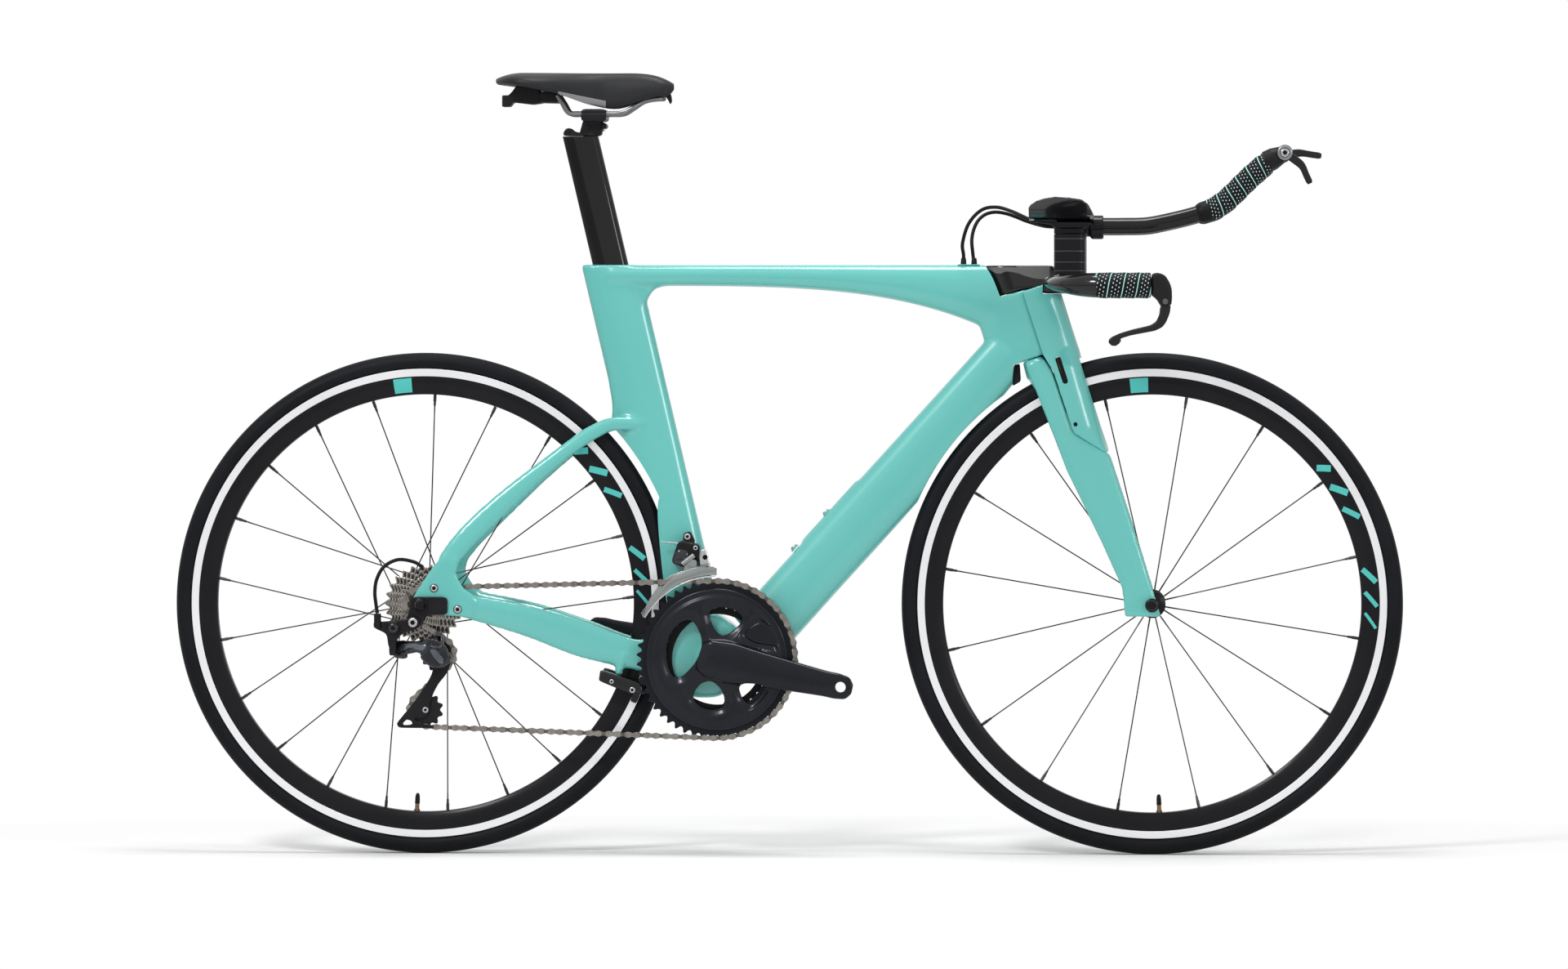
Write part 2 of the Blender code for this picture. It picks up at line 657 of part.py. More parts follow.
RAIL_HEIGHT = level + 0.0300
HEAD_CENTRE = seat_point(SEATPOST_TOP, 0).x + 0.0195
clamp = block("saddle_clamp", Vector((HEAD_CENTRE, 0, RAIL_HEIGHT - 0.002)), (0.034, 0.058, 0.017), bevel=0.003)
neck = block("neck", Vector((HEAD_CENTRE - 0.006, 0, (level + RAIL_HEIGHT) / 2)),
             (0.030, 0.022, RAIL_HEIGHT - level - 2 * FIT_GAP), bevel=0.003)
clamp = unite(clamp, neck)
RAIL_POINTS = ((-0.0490, 0.0250, 1.0), (-0.0420, 0.0140, 1.0), (-0.0330, 0.0010, 1.0), (-0.0200, 0.0, 1.0),
               (0.0200, 0.0, 1.0), (0.0380, 0.0010, 1.0), (0.0520, 0.0085, 0.60), (0.0660, 0.0170, 0.34),
               (0.0850, 0.0205, 0.27), (0.0920, 0.0205, 0.07))


def rail_wire(radius, overrun=0.0):
    """Both rails as one bent wire that turns across under the nose."""
    path = [Vector((HEAD_CENTRE + x, -RAIL_SIDE * spread, RAIL_HEIGHT + z)) for x, z, spread in RAIL_POINTS]
    path[0] += (path[0] - path[1]).normalized() * overrun
    path += [Vector((p.x, -p.y, p.z)) for p in reversed(path)]
    return tube("rails", path, radius, 1)


clamp = cut(clamp, rail_wire(RAIL_RADIUS + FIT_GAP, 0.001))
keep("saddle_clamp", clamp, BLACK_ALLOY, seat_joint)
keep("saddle_rails", rail_wire(RAIL_RADIUS), GREY_ALLOY, seat_joint)

SADDLE_TAIL = HEAD_CENTRE - 0.1330
SADDLE_TOP = RAIL_HEIGHT + 0.0555


def saddle_half_width(share):
    """Half width along the saddle: round tail, wide seat, quick waist and narrow nose."""
    tail = min(1.0, (share / 0.16)) ** 0.5
    waist = 0.5 + 0.5 * math.cos(math.pi * min(max((share - 0.2) / 0.42, 0), 1))
    nose = 1 - 0.35 * max(0.0, (share - 0.9) / 0.1) ** 2
    return (0.0185 + (SADDLE_WIDTH / 2 - 0.0185) * waist) * tail * nose


SADDLE_STATIONS = (0.0, 0.03, 0.09, 0.20, 0.34, 0.52, 0.70, 0.82, 0.92, 0.978, 1.0)
SADDLE_SKIRTS = (0.0125, 0.0135, 0.0155, 0.0190, 0.0245, 0.0395, 0.0460, 0.0365, 0.0295, 0.0330, 0.0250)
COVER_DEPTH = 0.0050
SHELL_DEPTH = 0.0030


def saddle_sheet(name, upper, lower, stations, trim):
    """An arched sheet between two depths under the saddle's skin, trimmed at its lower edges."""
    rings = []
    for share in stations:
        half = saddle_half_width(max(share, 0.012))
        skirt = float(np.interp(share, SADDLE_STATIONS, SADDLE_SKIRTS))
        crest = SADDLE_TOP - 0.006 * (1 - min(1, share / 0.12)) ** 2
        crest -= 0.012 * max(0.0, (share - 0.86) / 0.14) ** 2
        ring = []
        for depth, order in ((upper, range(trim, 7 - trim)), (lower, range(6 - trim, trim - 1, -1))):
            for k in order:
                angle = math.pi * (k / 6 - 0.5)
                rise = 1 - math.cos(angle) ** 0.62
                ring.append(Vector((SADDLE_TAIL + SADDLE_LENGTH * share, (half - depth) * math.sin(angle),
                                    crest - depth - (skirt - 0.6 * depth) * rise)))
        rings.append(ring)
    return loft(name, rings, split=7 - 2 * trim)


keep("saddle_cover", saddle_sheet("cover", 0.0, COVER_DEPTH, SADDLE_STATIONS, 0), FOAM, seat_joint)
SHELL_TOP = COVER_DEPTH + 3 * FIT_GAP
keep("saddle_shell", saddle_sheet("shell", SHELL_TOP, SHELL_TOP + SHELL_DEPTH, SADDLE_STATIONS[1:-2], 1), PLASTIC,
     seat_joint)

tail = unite(block("tail", Vector((SADDLE_TAIL + 0.040, 0, RAIL_HEIGHT + 0.026)), (0.050, 0.030, 0.014)),
             block("drop", Vector((SADDLE_TAIL + 0.013, 0, RAIL_HEIGHT + 0.017)), (0.011, 0.030, 0.018)),
             block("reach", Vector((SADDLE_TAIL + 0.066, 0, RAIL_HEIGHT + 0.0250)),
                   (0.036, 2 * RAIL_SIDE, 0.010)))
tail = cut(tail, rail_wire(RAIL_RADIUS + FIT_GAP, 0.001))
keep("saddle_bracket", tail, PLASTIC, seat_joint)


# Wheels: open tyre on a channel rim, spokes in one piece with the hub, valve
def tyre(name, centre):
    """The tyre's wall as an arc open towards the rim; the tread facet at the bottom is flat."""
    outer = TYRE_WIDTH / 2
    middle = TYRE_RADIUS - outer
    angles = np.linspace(-TYRE_SWEEP, TYRE_SWEEP, 8)
    inner_angles = np.linspace(TYRE_SWEEP, -TYRE_SWEEP, 4)
    wall = outer - TYRE_WALL
    profile = [(middle + outer * (1 if math.cos(a) > 0.9 else math.cos(a)), outer * math.sin(a)) for a in angles]
    profile += [(middle + wall * math.cos(a), wall * math.sin(a)) for a in inner_angles]
    widen = 1 / math.cos(math.pi / WHEEL_STEPS)
    return turned(name, [(r * widen, s) for r, s in profile], centre, WHEEL_STEPS)


RIM_OUTER = TYRE_RADIUS - TYRE_WIDTH / 2 + TYRE_WIDTH / 2 * math.cos(TYRE_SWEEP) - FIT_GAP
RIM_INNER = RIM_OUTER - RIM_DEPTH


def rim(name, centre):
    """A channel open to the tyre, with parallel brake tracks and a narrow inner edge."""
    half = RIM_WIDTH / 2
    wall = RIM_WALL
    profile = [(RIM_OUTER, -half), (RIM_OUTER, -half + wall), (RIM_INNER + 0.012, -half + wall),
               (RIM_INNER + 0.004, -0.0045), (RIM_INNER + 0.004, 0.0045),
               (RIM_INNER + 0.012, half - wall), (RIM_OUTER, half - wall), (RIM_OUTER, half),
               (RIM_INNER + 0.012, half - 0.0006), (RIM_INNER, 0.0065), (RIM_INNER, -0.0065),
               (RIM_INNER + 0.012, -half + 0.0006)]
    widen = 1 / math.cos(math.pi / WHEEL_STEPS)
    return turned(name, [(r * widen, s) for r, s in profile], centre, WHEEL_STEPS)


SPOKE_END = RIM_INNER - FIT_GAP
HUB_BORE = SKEWER_RADIUS + SKEWER_CLEARANCE


def polar(centre, radius, angle, side):
    """A point at a radius and an angle about a wheel's axle."""
    return centre + Vector((radius * math.cos(angle), side, radius * math.sin(angle)))


def spoke(centre, hub_radius, hub_angle, hub_side, rim_angle, rim_side):
    start = polar(centre, hub_radius, hub_angle, hub_side)
    end = polar(centre, SPOKE_END, rim_angle, rim_side)
    return cylinder("spoke", start, end, SPOKE_RADIUS, 4)


def front_hub():
    end = FRONT_HUB_WIDTH / 2
    side = FRONT_FLANGE_SIDE
    flange = FRONT_FLANGE_RADIUS
    profile = [(AXLE_RADIUS, -end), (AXLE_RADIUS, -side - 0.004), (flange, -side - 0.002),
               (flange, -side + 0.002), (HUB_RADIUS, -side + 0.008), (HUB_RADIUS, side - 0.008),
               (flange, side - 0.002), (flange, side + 0.002), (AXLE_RADIUS, side + 0.004),
               (AXLE_RADIUS, end), (HUB_BORE, end), (HUB_BORE, -end)]
    hub = turned("front_hub", profile, FRONT_AXLE, 16)
    spokes = []
    for k in range(FRONT_SPOKES):
        angle = math.radians(-9.5) - 2 * math.pi * k / FRONT_SPOKES
        hand = 1 if k % 2 else -1
        spokes.append(spoke(FRONT_AXLE, flange - 0.004, angle, hand * side, angle, hand * 0.0015))
    return unite(hub, *spokes)


def rear_hub():
    end = REAR_HUB_WIDTH / 2
    left = LEFT_FLANGE_SIDE
    right = -RIGHT_FLANGE_SIDE
    profile = [(AXLE_RADIUS, -end), (AXLE_RADIUS, right - 0.0017), (RIGHT_FLANGE_RADIUS, right - 0.0015),
               (RIGHT_FLANGE_RADIUS, right + 0.0015), (HUB_RADIUS + 0.004, right + 0.010),
               (HUB_RADIUS, left - 0.010), (LEFT_FLANGE_RADIUS, left - 0.002),
               (LEFT_FLANGE_RADIUS, left + 0.002), (AXLE_RADIUS, left + 0.004), (AXLE_RADIUS, end),
               (HUB_BORE, end), (HUB_BORE, -end)]
    hub = turned("rear_hub", profile, REAR_AXLE, 20)
    spokes = []
    pitch = 2 * math.pi / (3 * REAR_SPOKE_GROUPS)
    reach = RIGHT_FLANGE_RADIUS - 0.0015
    lean = math.acos(reach / SPOKE_END)
    for k in range(REAR_SPOKE_GROUPS):
        radial = math.radians(-15.4) - 3 * k * pitch
        spokes.append(spoke(REAR_AXLE, LEFT_FLANGE_RADIUS - 0.004, radial, left, radial, 0.0015))
        for hand, step, side in ((1, 1, right - 0.0008), (-1, 2, right + 0.0012)):
            angle = radial - step * pitch
            spokes.append(spoke(REAR_AXLE, reach, angle + hand * lean, side, angle, -0.0020))
    return unite(hub, *spokes)


def valve(name, centre, angle):
    start = polar(centre, SPOKE_END, math.radians(angle), 0)
    end = polar(centre, SPOKE_END - VALVE_LENGTH, math.radians(angle), 0)
    return cylinder(name, start, end, VALVE_RADIUS, 8)


front_steer_joint = joint("steering_joint", steer_point(HEAD_LOW, 0))
front_wheel_joint = joint("front_wheel_joint", FRONT_AXLE)
front_wheel_joint.parent = front_steer_joint
front_wheel_joint.matrix_parent_inverse = front_steer_joint.matrix_world.inverted()
rear_wheel_joint = joint("rear_wheel_joint", REAR_AXLE)
keep("front_tyre", tyre("front_tyre", FRONT_AXLE), RUBBER, front_wheel_joint)
keep("front_rim", rim("front_rim", FRONT_AXLE), BLACK_ALLOY, front_wheel_joint)
keep("front_hub_spokes", front_hub(), BLACK_ALLOY, front_wheel_joint)
keep("front_valve", valve("front_valve", FRONT_AXLE, -88.0), BRASS, front_wheel_joint)
keep("rear_tyre", tyre("rear_tyre", REAR_AXLE), RUBBER, rear_wheel_joint)
keep("rear_rim", rim("rear_rim", REAR_AXLE), BLACK_ALLOY, rear_wheel_joint)
keep("rear_hub_spokes", rear_hub(), BLACK_ALLOY, rear_wheel_joint)
keep("rear_valve", valve("rear_valve", REAR_AXLE, -92.5), BRASS, rear_wheel_joint)


# Skewers through the hollow axles, with a nut on the right and a cam on the left
def skewer(name, axle, right_face, left_face):
    shaft = cylinder(name, near(axle, 0, 0, -right_face - 0.010), near(axle, 0, 0, left_face + 0.008),
                     SKEWER_RADIUS, 10)
    nut = cylinder("nut", near(axle, 0, 0, -right_face - 0.011), near(axle, 0, 0, -right_face - FIT_GAP),
                   0.0092, 16)
    cam = cylinder("cam", near(axle, 0, 0, left_face + FIT_GAP), near(axle, 0, 0, left_face + 0.011),
                   0.0085, 16)
    return unite(shaft, nut, cam)


def quick_lever(axle, face, direction):
    """The lever lies along the blade or stay and turns outwards about the cam's cross axis."""
    direction = Vector(direction).normalized()
    centre = face + 0.011 + FIT_GAP + 0.0026
    cross = Vector((-direction.z, 0, direction.x))
    pivot = near(axle, 0, 0, centre)
    root = cylinder("root", pivot - cross * 0.006, pivot + cross * 0.006, 0.0026, 10)
    arm = block("arm", pivot + direction * 0.030, (0.060, 0.005, 0.011), along=direction, bevel=0.0012)
    return unite(root, arm)


BLADE_OUTER = BLADE_TIP_SIDE + 0.0039
HANGER_OUTER = DROPOUT_OUTER + FIT_GAP + 0.0050
keep("front_skewer", skewer("front_skewer", FRONT_AXLE, BLADE_OUTER, BLADE_OUTER), BLACK_ALLOY,
     front_steer_joint)
keep("rear_skewer", skewer("rear_skewer", REAR_AXLE, HANGER_OUTER, DROPOUT_OUTER), BLACK_ALLOY)
front_qr_joint = joint("front_qr_joint", near(FRONT_AXLE, 0, 0, BLADE_OUTER + 0.0139))
front_qr_joint.parent = front_steer_joint
front_qr_joint.matrix_parent_inverse = front_steer_joint.matrix_world.inverted()
rear_qr_joint = joint("rear_qr_joint", near(REAR_AXLE, 0, 0, DROPOUT_OUTER + 0.0139))
keep("front_qr_lever", quick_lever(FRONT_AXLE, BLADE_OUTER, (-0.45, 0, 0.89)), BLACK_ALLOY, front_qr_joint)
keep("rear_qr_lever", quick_lever(REAR_AXLE, DROPOUT_OUTER, (0.70, 0, 0.71)), BLACK_ALLOY, rear_qr_joint)


# Toothed wheels
def pitch_radius(teeth):
    return CHAIN_PITCH / (2 * math.sin(math.pi / teeth))


def toothed(centre, teeth, root_drop=0.0028, tip_rise=0.0024, turn=0.0):
    """A plain tooth outline: one point at each tip and one in each gullet."""
    radius = pitch_radius(teeth)
    step = 2 * math.pi / teeth
    outline = []
    for k in range(teeth):
        for shift, reach in ((0.0, tip_rise), (0.5, -root_drop)):
            angle = turn + (k + shift) * step
            outline.append((centre.x + (radius + reach) * math.cos(angle),
                            centre.z + (radius + reach) * math.sin(angle)))
    return outline


def ring_hole(centre, radius, sides):
    return arc(centre, radius, 0, 360 - 360 / sides, sides)


# Cassette: a stepped stack, with teeth on the smallest cog where the chain runs
cassette_joint = joint("cassette_joint", REAR_AXLE)
CASSETTE_BORE = AXLE_RADIUS + 0.0008


def cassette():
    first = -SMALL_COG_SIDE + COG_SPACING - TOOTH_THICKNESS / 2
    profile = []
    for k, teeth in enumerate(COG_TEETH[1:]):
        radius = pitch_radius(teeth) + 0.0010
        profile.append((radius, first + k * COG_SPACING))
        profile.append((radius, first + (k + 1) * COG_SPACING - 0.0019))
    end = profile[-1][1]
    profile += [(CASSETTE_BORE, end), (CASSETTE_BORE, -SMALL_COG_SIDE - 0.0022),
                (0.0150, -SMALL_COG_SIDE - 0.0022), (0.0150, first)]
    stack = turned("cassette", profile, REAR_AXLE, 22)
    cog = plate("cog", toothed(REAR_AXLE, COG_TEETH[0], turn=0.1), -SMALL_COG_SIDE, TOOTH_THICKNESS,
                holes=(ring_hole(REAR_AXLE, CASSETTE_BORE + 0.002, 24),))
    return unite(stack, cog)


keep("cassette", cassette(), STEEL, cassette_joint)

# Crankset: hollow-look arm and spider with the spindle, left arm, two chainrings
crank_joint = joint("crank_joint", BRACKET)
CRANK_WAY = Vector((math.cos(CRANK_TILT), 0, math.sin(CRANK_TILT)))
RING_SHELL_INNER = 0.062
RING_SHELL_OUTER = 0.0950
SPIDER_INNER_FACE = OUTER_RING_SIDE + 0.0058
BOLT_CIRCLE = 0.0545
SPIDER_ANGLES = (60.5, 122.5, -60.5, -122.5)


def crank_arm(name, sign, way):
    """A tapering arm from the spindle to the pedal end; its outer face ends at the crank face."""
    across = way.cross(SIDEWAYS)
    rings = []
    stations = ((-0.024, 0.017, 0.012), (-0.016, 0.023, 0.014), (0.0, 0.0265, 0.015), (0.060, 0.0235, 0.0145),
                (0.120, 0.0190, 0.0135), (CRANK_LENGTH - CRANK_FLAT, 0.0172, 0.0130), (CRANK_LENGTH, 0.0165, 0.0130),
                (CRANK_LENGTH + 0.0115, 0.0125, 0.0125), (CRANK_LENGTH + 0.0160, 0.0060, 0.0120))
    for reach, half, thickness in stations:
        share = min(max(reach / (CRANK_LENGTH - CRANK_FLAT), 0), 1)
        outer = CRANK_FACE - 0.010 * (1 - share)
        inner = outer - thickness
        ring = []
        for h, s in ((-1, inner), (-0.9, outer - 0.003), (-0.62, outer), (0.62, outer),
                     (0.9, outer - 0.003), (1, inner)):
            ring.append(BRACKET + way * reach + across * half * h + SIDEWAYS * sign * s)
        rings.append(ring)
    arm = loft(name, rings)
    hole = BRACKET + way * CRANK_LENGTH
    return cut(arm, cylinder("pedal_hole", near(hole, 0, 0, sign * 0.05), near(hole, 0, 0, sign * 0.09),
                             PEDAL_HOLE_RADIUS, 16))


def right_crank():
    arm = crank_arm("crank_arm_right", -1, CRANK_WAY)
    spindle = cylinder("spindle", near(BRACKET, 0, 0, -0.052), near(BRACKET, 0, 0, 0.0640),
                       SPINDLE_RADIUS, 24)
    hub = cylinder("boss", near(BRACKET, 0, 0, -0.054), near(BRACKET, 0, 0, -SHELL_WIDTH / 2 - 0.0040),
                   0.0215, 24)
    parts = [spindle, hub]
    for angle in SPIDER_ANGLES:
        turn = CRANK_TILT + math.radians(angle)
        way = Vector((math.cos(turn), 0, math.sin(turn)))
        parts.append(block("spider", BRACKET + way * 0.039 - SIDEWAYS * (SPIDER_INNER_FACE + 0.0030),
                           (0.072, 0.0060, 0.021), along=way))
        bolt = BRACKET + way * BOLT_CIRCLE
        parts.append(cylinder("bolt_seat", near(bolt, 0, 0, -SPIDER_INNER_FACE - 0.002),
                              near(bolt, 0, 0, -INNER_RING_SIDE - 0.0013 - FIT_GAP), 0.0065, 10))
    return unite(arm, *parts)


def left_crank():
    arm = crank_arm("crank_arm_left", 1, -CRANK_WAY)
    boss = cylinder("boss", near(BRACKET, 0, 0, SHELL_WIDTH / 2 + 0.0040), near(BRACKET, 0, 0, 0.060),
                    0.0200, 24)
    bore = cylinder("bore", near(BRACKET, 0, 0, 0.04), near(BRACKET, 0, 0, 0.0640 + FIT_GAP),
                    SPINDLE_RADIUS + FIT_GAP, 24)
    return cut(unite(arm, boss), bore)


def outer_ring():
    teeth = plate("chainring_outer", toothed(BRACKET, OUTER_TEETH), -OUTER_RING_SIDE, TOOTH_THICKNESS,
                  holes=(ring_hole(BRACKET, RING_SHELL_INNER + 0.004, 36),))
    shell_face = SPIDER_INNER_FACE - FIT_GAP
    profile = [(RING_SHELL_INNER, -shell_face), (RING_SHELL_OUTER - 0.003, -shell_face),
               (RING_SHELL_OUTER, -shell_face + 0.002), (RING_SHELL_OUTER + 0.002, -OUTER_RING_SIDE + 0.0007),
               (RING_SHELL_INNER, -OUTER_RING_SIDE + 0.0012)]
    return unite(teeth, turned("shell", profile, BRACKET, 36))


def inner_ring():
    return plate("chainring_inner", toothed(BRACKET, INNER_TEETH), -INNER_RING_SIDE, 0.0026,
                 holes=(ring_hole(BRACKET, 0.047, 32),))


keep("crank_arm_right", right_crank(), GREY_ALLOY, crank_joint)
keep("crank_arm_left", left_crank(), GREY_ALLOY, crank_joint)
keep("chainring_outer", outer_ring(), GREY_ALLOY, crank_joint)
keep("chainring_inner", inner_ring(), BLACK_ALLOY, crank_joint)

# Rear derailleur: hanger, knuckle, link, cage knuckle, cage and two pulleys
COG_DROP = near(REAR_AXLE, 0, 0, -SMALL_COG_SIDE)
HANGER_BOLT = (-0.0093, -0.0229)
B_PIVOT = (-0.0352, -0.0302)
HANGER_SIDE = DROPOUT_OUTER + FIT_GAP + 0.0025
hanger_outline = [near(REAR_AXLE, *p) for p in (
    (-0.0122, 0.0110), (0.0360, 0.0110), (0.0360, -0.0130), (0.0060, -0.0130), (0.0010, -0.0260),
    (-0.0080, -0.0325), (-0.0180, -0.0280), (-0.0190, -0.0180), (-0.0140, -0.0060))]
hanger = plate("derailleur_hanger", flat(*hanger_outline), -HANGER_SIDE, 0.0050,
               holes=(ring_hole(REAR_AXLE, SKEWER_RADIUS + SKEWER_CLEARANCE, 12),))
keep("derailleur_hanger", hanger, BLACK_ALLOY)

SWING_TILT = math.radians(28)
SWING_REST = math.radians(24.8)
LINK_LENGTH = 0.050
LINK_AXIS = Vector((0, math.sin(SWING_TILT), math.cos(SWING_TILT)))
LINK_SIDE = Vector((0, math.cos(SWING_TILT), -math.sin(SWING_TILT)))
LINK_ROOT = near(REAR_AXLE, -0.0250, -0.0600, -0.0620)
LINK_WAY = Vector((1, 0, 0)) * math.cos(SWING_REST) - LINK_SIDE * math.sin(SWING_REST)
LINK_TIP = LINK_ROOT + LINK_WAY * LINK_LENGTH
CAGE_PIVOT = near(REAR_AXLE, 0.0308, -0.0700)
GUIDE_CENTRE = near(REAR_AXLE, 0.0218, -0.0660, -SMALL_COG_SIDE)
TENSION_CENTRE = near(REAR_AXLE, 0.0054, -0.1404, -SMALL_COG_SIDE)
LINK_HALF = 0.0070


def skew_block(name, centre, first, second, third, size):
    """A box whose sides run along three given square directions."""
    work = bmesh.new()
    turn = Matrix((first, second, third)).transposed().to_4x4()
    stretch = Matrix.Diagonal((size[0], size[1], size[2], 1))
    bmesh.ops.create_cube(work, size=1, matrix=Matrix.Translation(centre) @ turn @ stretch)
    return from_bmesh(name, work)


def clevis(centre, facing):
    """Two ears above and below a link's end, joined by a wall on the far side."""
    gap = LINK_HALF + FIT_GAP
    ears = [cylinder("ear", centre + LINK_AXIS * s * gap, centre + LINK_AXIS * s * (gap + 0.0035), 0.0070, 12)
            for s in (-1, 1)]
    wall = skew_block("wall", centre - facing * 0.0088, Vector((1, 0, 0)), LINK_SIDE, LINK_AXIS,
                      (0.0040, 0.0120, 2 * (gap + 0.0030)))
    roots = [skew_block("root", centre - facing * 0.0045 + LINK_AXIS * s * (gap + 0.00175),
                        Vector((1, 0, 0)), LINK_SIDE, LINK_AXIS, (0.0090, 0.0110, 0.0034))
             for s in (-1, 1)]
    return unite(wall, *ears, *roots)


FORWARD = Vector((1, 0, 0))
knuckle_face = HANGER_OUTER + FIT_GAP
bolt_point = near(REAR_AXLE, *HANGER_BOLT)
pivot_point = near(REAR_AXLE, *B_PIVOT)
arm_way = (pivot_point - bolt_point).normalized()
b_knuckle = block("rd_b_knuckle", (bolt_point + pivot_point) / 2 - SIDEWAYS * (knuckle_face + 0.0035),
                  (0.036, 0.0070, 0.016), along=arm_way)
lower_mid = (pivot_point + LINK_ROOT * 1.0) / 2
lower_mid.y = -(knuckle_face + 0.0035)
b_knuckle = unite(
    b_knuckle,
    cylinder("pivot", near(pivot_point, 0, 0, -knuckle_face), near(pivot_point, 0, 0, -knuckle_face - 0.013),
             0.0090, 16),
    block("drop", Vector((LINK_ROOT.x - 0.0118, -(knuckle_face - 0.0055), (pivot_point.z + LINK_ROOT.z) / 2 - 0.003)),
          (0.0090, 0.025, abs(pivot_point.z - LINK_ROOT.z) + 0.006)),
    clevis(LINK_ROOT, FORWARD),
    block("barrel_arm", near(pivot_point, -0.0120, 0.0030, -knuckle_face - 0.008), (0.026, 0.008, 0.009)),
    cylinder("barrel", near(REAR_AXLE, -0.0564, -0.0300, -knuckle_face - 0.008),
             near(REAR_AXLE, -0.0564, -0.0110, -knuckle_face - 0.008), 0.0050, 12))
keep("rd_b_knuckle", b_knuckle, BLACK_ALLOY)

rd_link_joint = joint("rd_link_joint", LINK_ROOT)
link = unite(cylinder("rd_link", LINK_ROOT - LINK_AXIS * LINK_HALF, LINK_ROOT + LINK_AXIS * LINK_HALF, 0.0055, 12),
             cylinder("tip", LINK_TIP - LINK_AXIS * LINK_HALF, LINK_TIP + LINK_AXIS * LINK_HALF, 0.0055, 12),
             skew_block("bar", (LINK_ROOT + LINK_TIP) / 2, LINK_WAY, LINK_AXIS.cross(LINK_WAY), LINK_AXIS,
                        (LINK_LENGTH, 0.0080, 2 * LINK_HALF - 0.0004)))
keep("rd_link", link, BLACK_ALLOY, rd_link_joint)

rd_knuckle_joint = joint("rd_knuckle_joint", LINK_TIP)
rd_knuckle_joint.parent = rd_link_joint
rd_knuckle_joint.matrix_parent_inverse = rd_link_joint.matrix_world.inverted()
CAGE_OUTER = SMALL_COG_SIDE + CHAIN_WIDTH / 2 + 0.0004
CAGE_WALL = 0.0016
BOSS_FACE = CAGE_OUTER + CAGE_WALL + 0.0024
p_knuckle = unite(
    clevis(LINK_TIP, -FORWARD),
    cylinder("body", near(CAGE_PIVOT, 0, 0, -BOSS_FACE - FIT_GAP), near(CAGE_PIVOT, 0, 0, -BOSS_FACE - 0.019),
             0.0105, 16),
    block("web", Vector((LINK_TIP.x + 0.0090, LINK_TIP.y, (LINK_TIP.z + CAGE_PIVOT.z) / 2 - 0.002)),
          (0.0050, 0.012, 0.022)))
keep("rd_p_knuckle", p_knuckle, GREY_ALLOY, rd_knuckle_joint)

rd_cage_joint = joint("rd_cage_joint", near(CAGE_PIVOT, 0, 0, -BOSS_FACE))
rd_cage_joint.parent = rd_knuckle_joint
rd_cage_joint.matrix_parent_inverse = rd_knuckle_joint.matrix_world.inverted()
outer_outline = [near(REAR_AXLE, *p) for p in (
    (0.0400, -0.0570), (0.0440, -0.0710), (0.0370, -0.0910), (0.0180, -0.1140), (0.0190, -0.1360),
    (0.0150, -0.1580), (-0.0290, -0.1590), (-0.0300, -0.1545), (-0.0140, -0.1360), (0.0030, -0.1080),
    (0.0130, -0.0850), (0.0120, -0.0620), (0.0260, -0.0540))]
inner_outline = [near(REAR_AXLE, *p) for p in (
    (0.0290, -0.0600), (0.0310, -0.0700), (0.0150, -0.1380), (0.0080, -0.1480), (-0.0050, -0.1440),
    (-0.0050, -0.1360), (0.0130, -0.0640), (0.0200, -0.0570))]
cage = unite(plate("rd_cage", flat(*outer_outline), -CAGE_OUTER - CAGE_WALL / 2, CAGE_WALL),
             plate("inner", flat(*inner_outline), -2 * SMALL_COG_SIDE + CAGE_OUTER + CAGE_WALL / 2, CAGE_WALL),
             cylinder("guide_pin", near(GUIDE_CENTRE, 0, 0, -0.0042), near(GUIDE_CENTRE, 0, 0, 0.0042), 0.0025, 10),
             cylinder("tension_pin", near(TENSION_CENTRE, 0, 0, -0.0042), near(TENSION_CENTRE, 0, 0, 0.0042),
                      0.0025, 10),
             cylinder("cage_boss", near(CAGE_PIVOT, 0, 0, -CAGE_OUTER), near(CAGE_PIVOT, 0, 0, -BOSS_FACE), 0.0080, 12))
keep("rd_cage", cage, BLACK_ALLOY, rd_cage_joint)


def pulley(name, centre):
    joint_empty = joint(name + "_joint", centre)
    joint_empty.parent = rd_cage_joint
    joint_empty.matrix_parent_inverse = rd_cage_joint.matrix_world.inverted()
    wheel = plate(name, toothed(centre, PULLEY_TEETH, tip_rise=0.0010), centre.y, TOOTH_THICKNESS,
                  holes=(ring_hole(centre, 0.0029, 12),))
    hub = turned("hub", [(0.0055, -0.0023), (0.0055, 0.0023), (0.0029, 0.0023), (0.0029, -0.0023)],
                 centre, 12)
    keep(name, unite(wheel, hub), PLASTIC, joint_empty)


pulley("guide_pulley", GUIDE_CENTRE)
pulley("tension_pulley", TENSION_CENTRE)


# Chain: two side strips and their rollers in the free runs, along the belt path
RUN_HOLD = 0.11


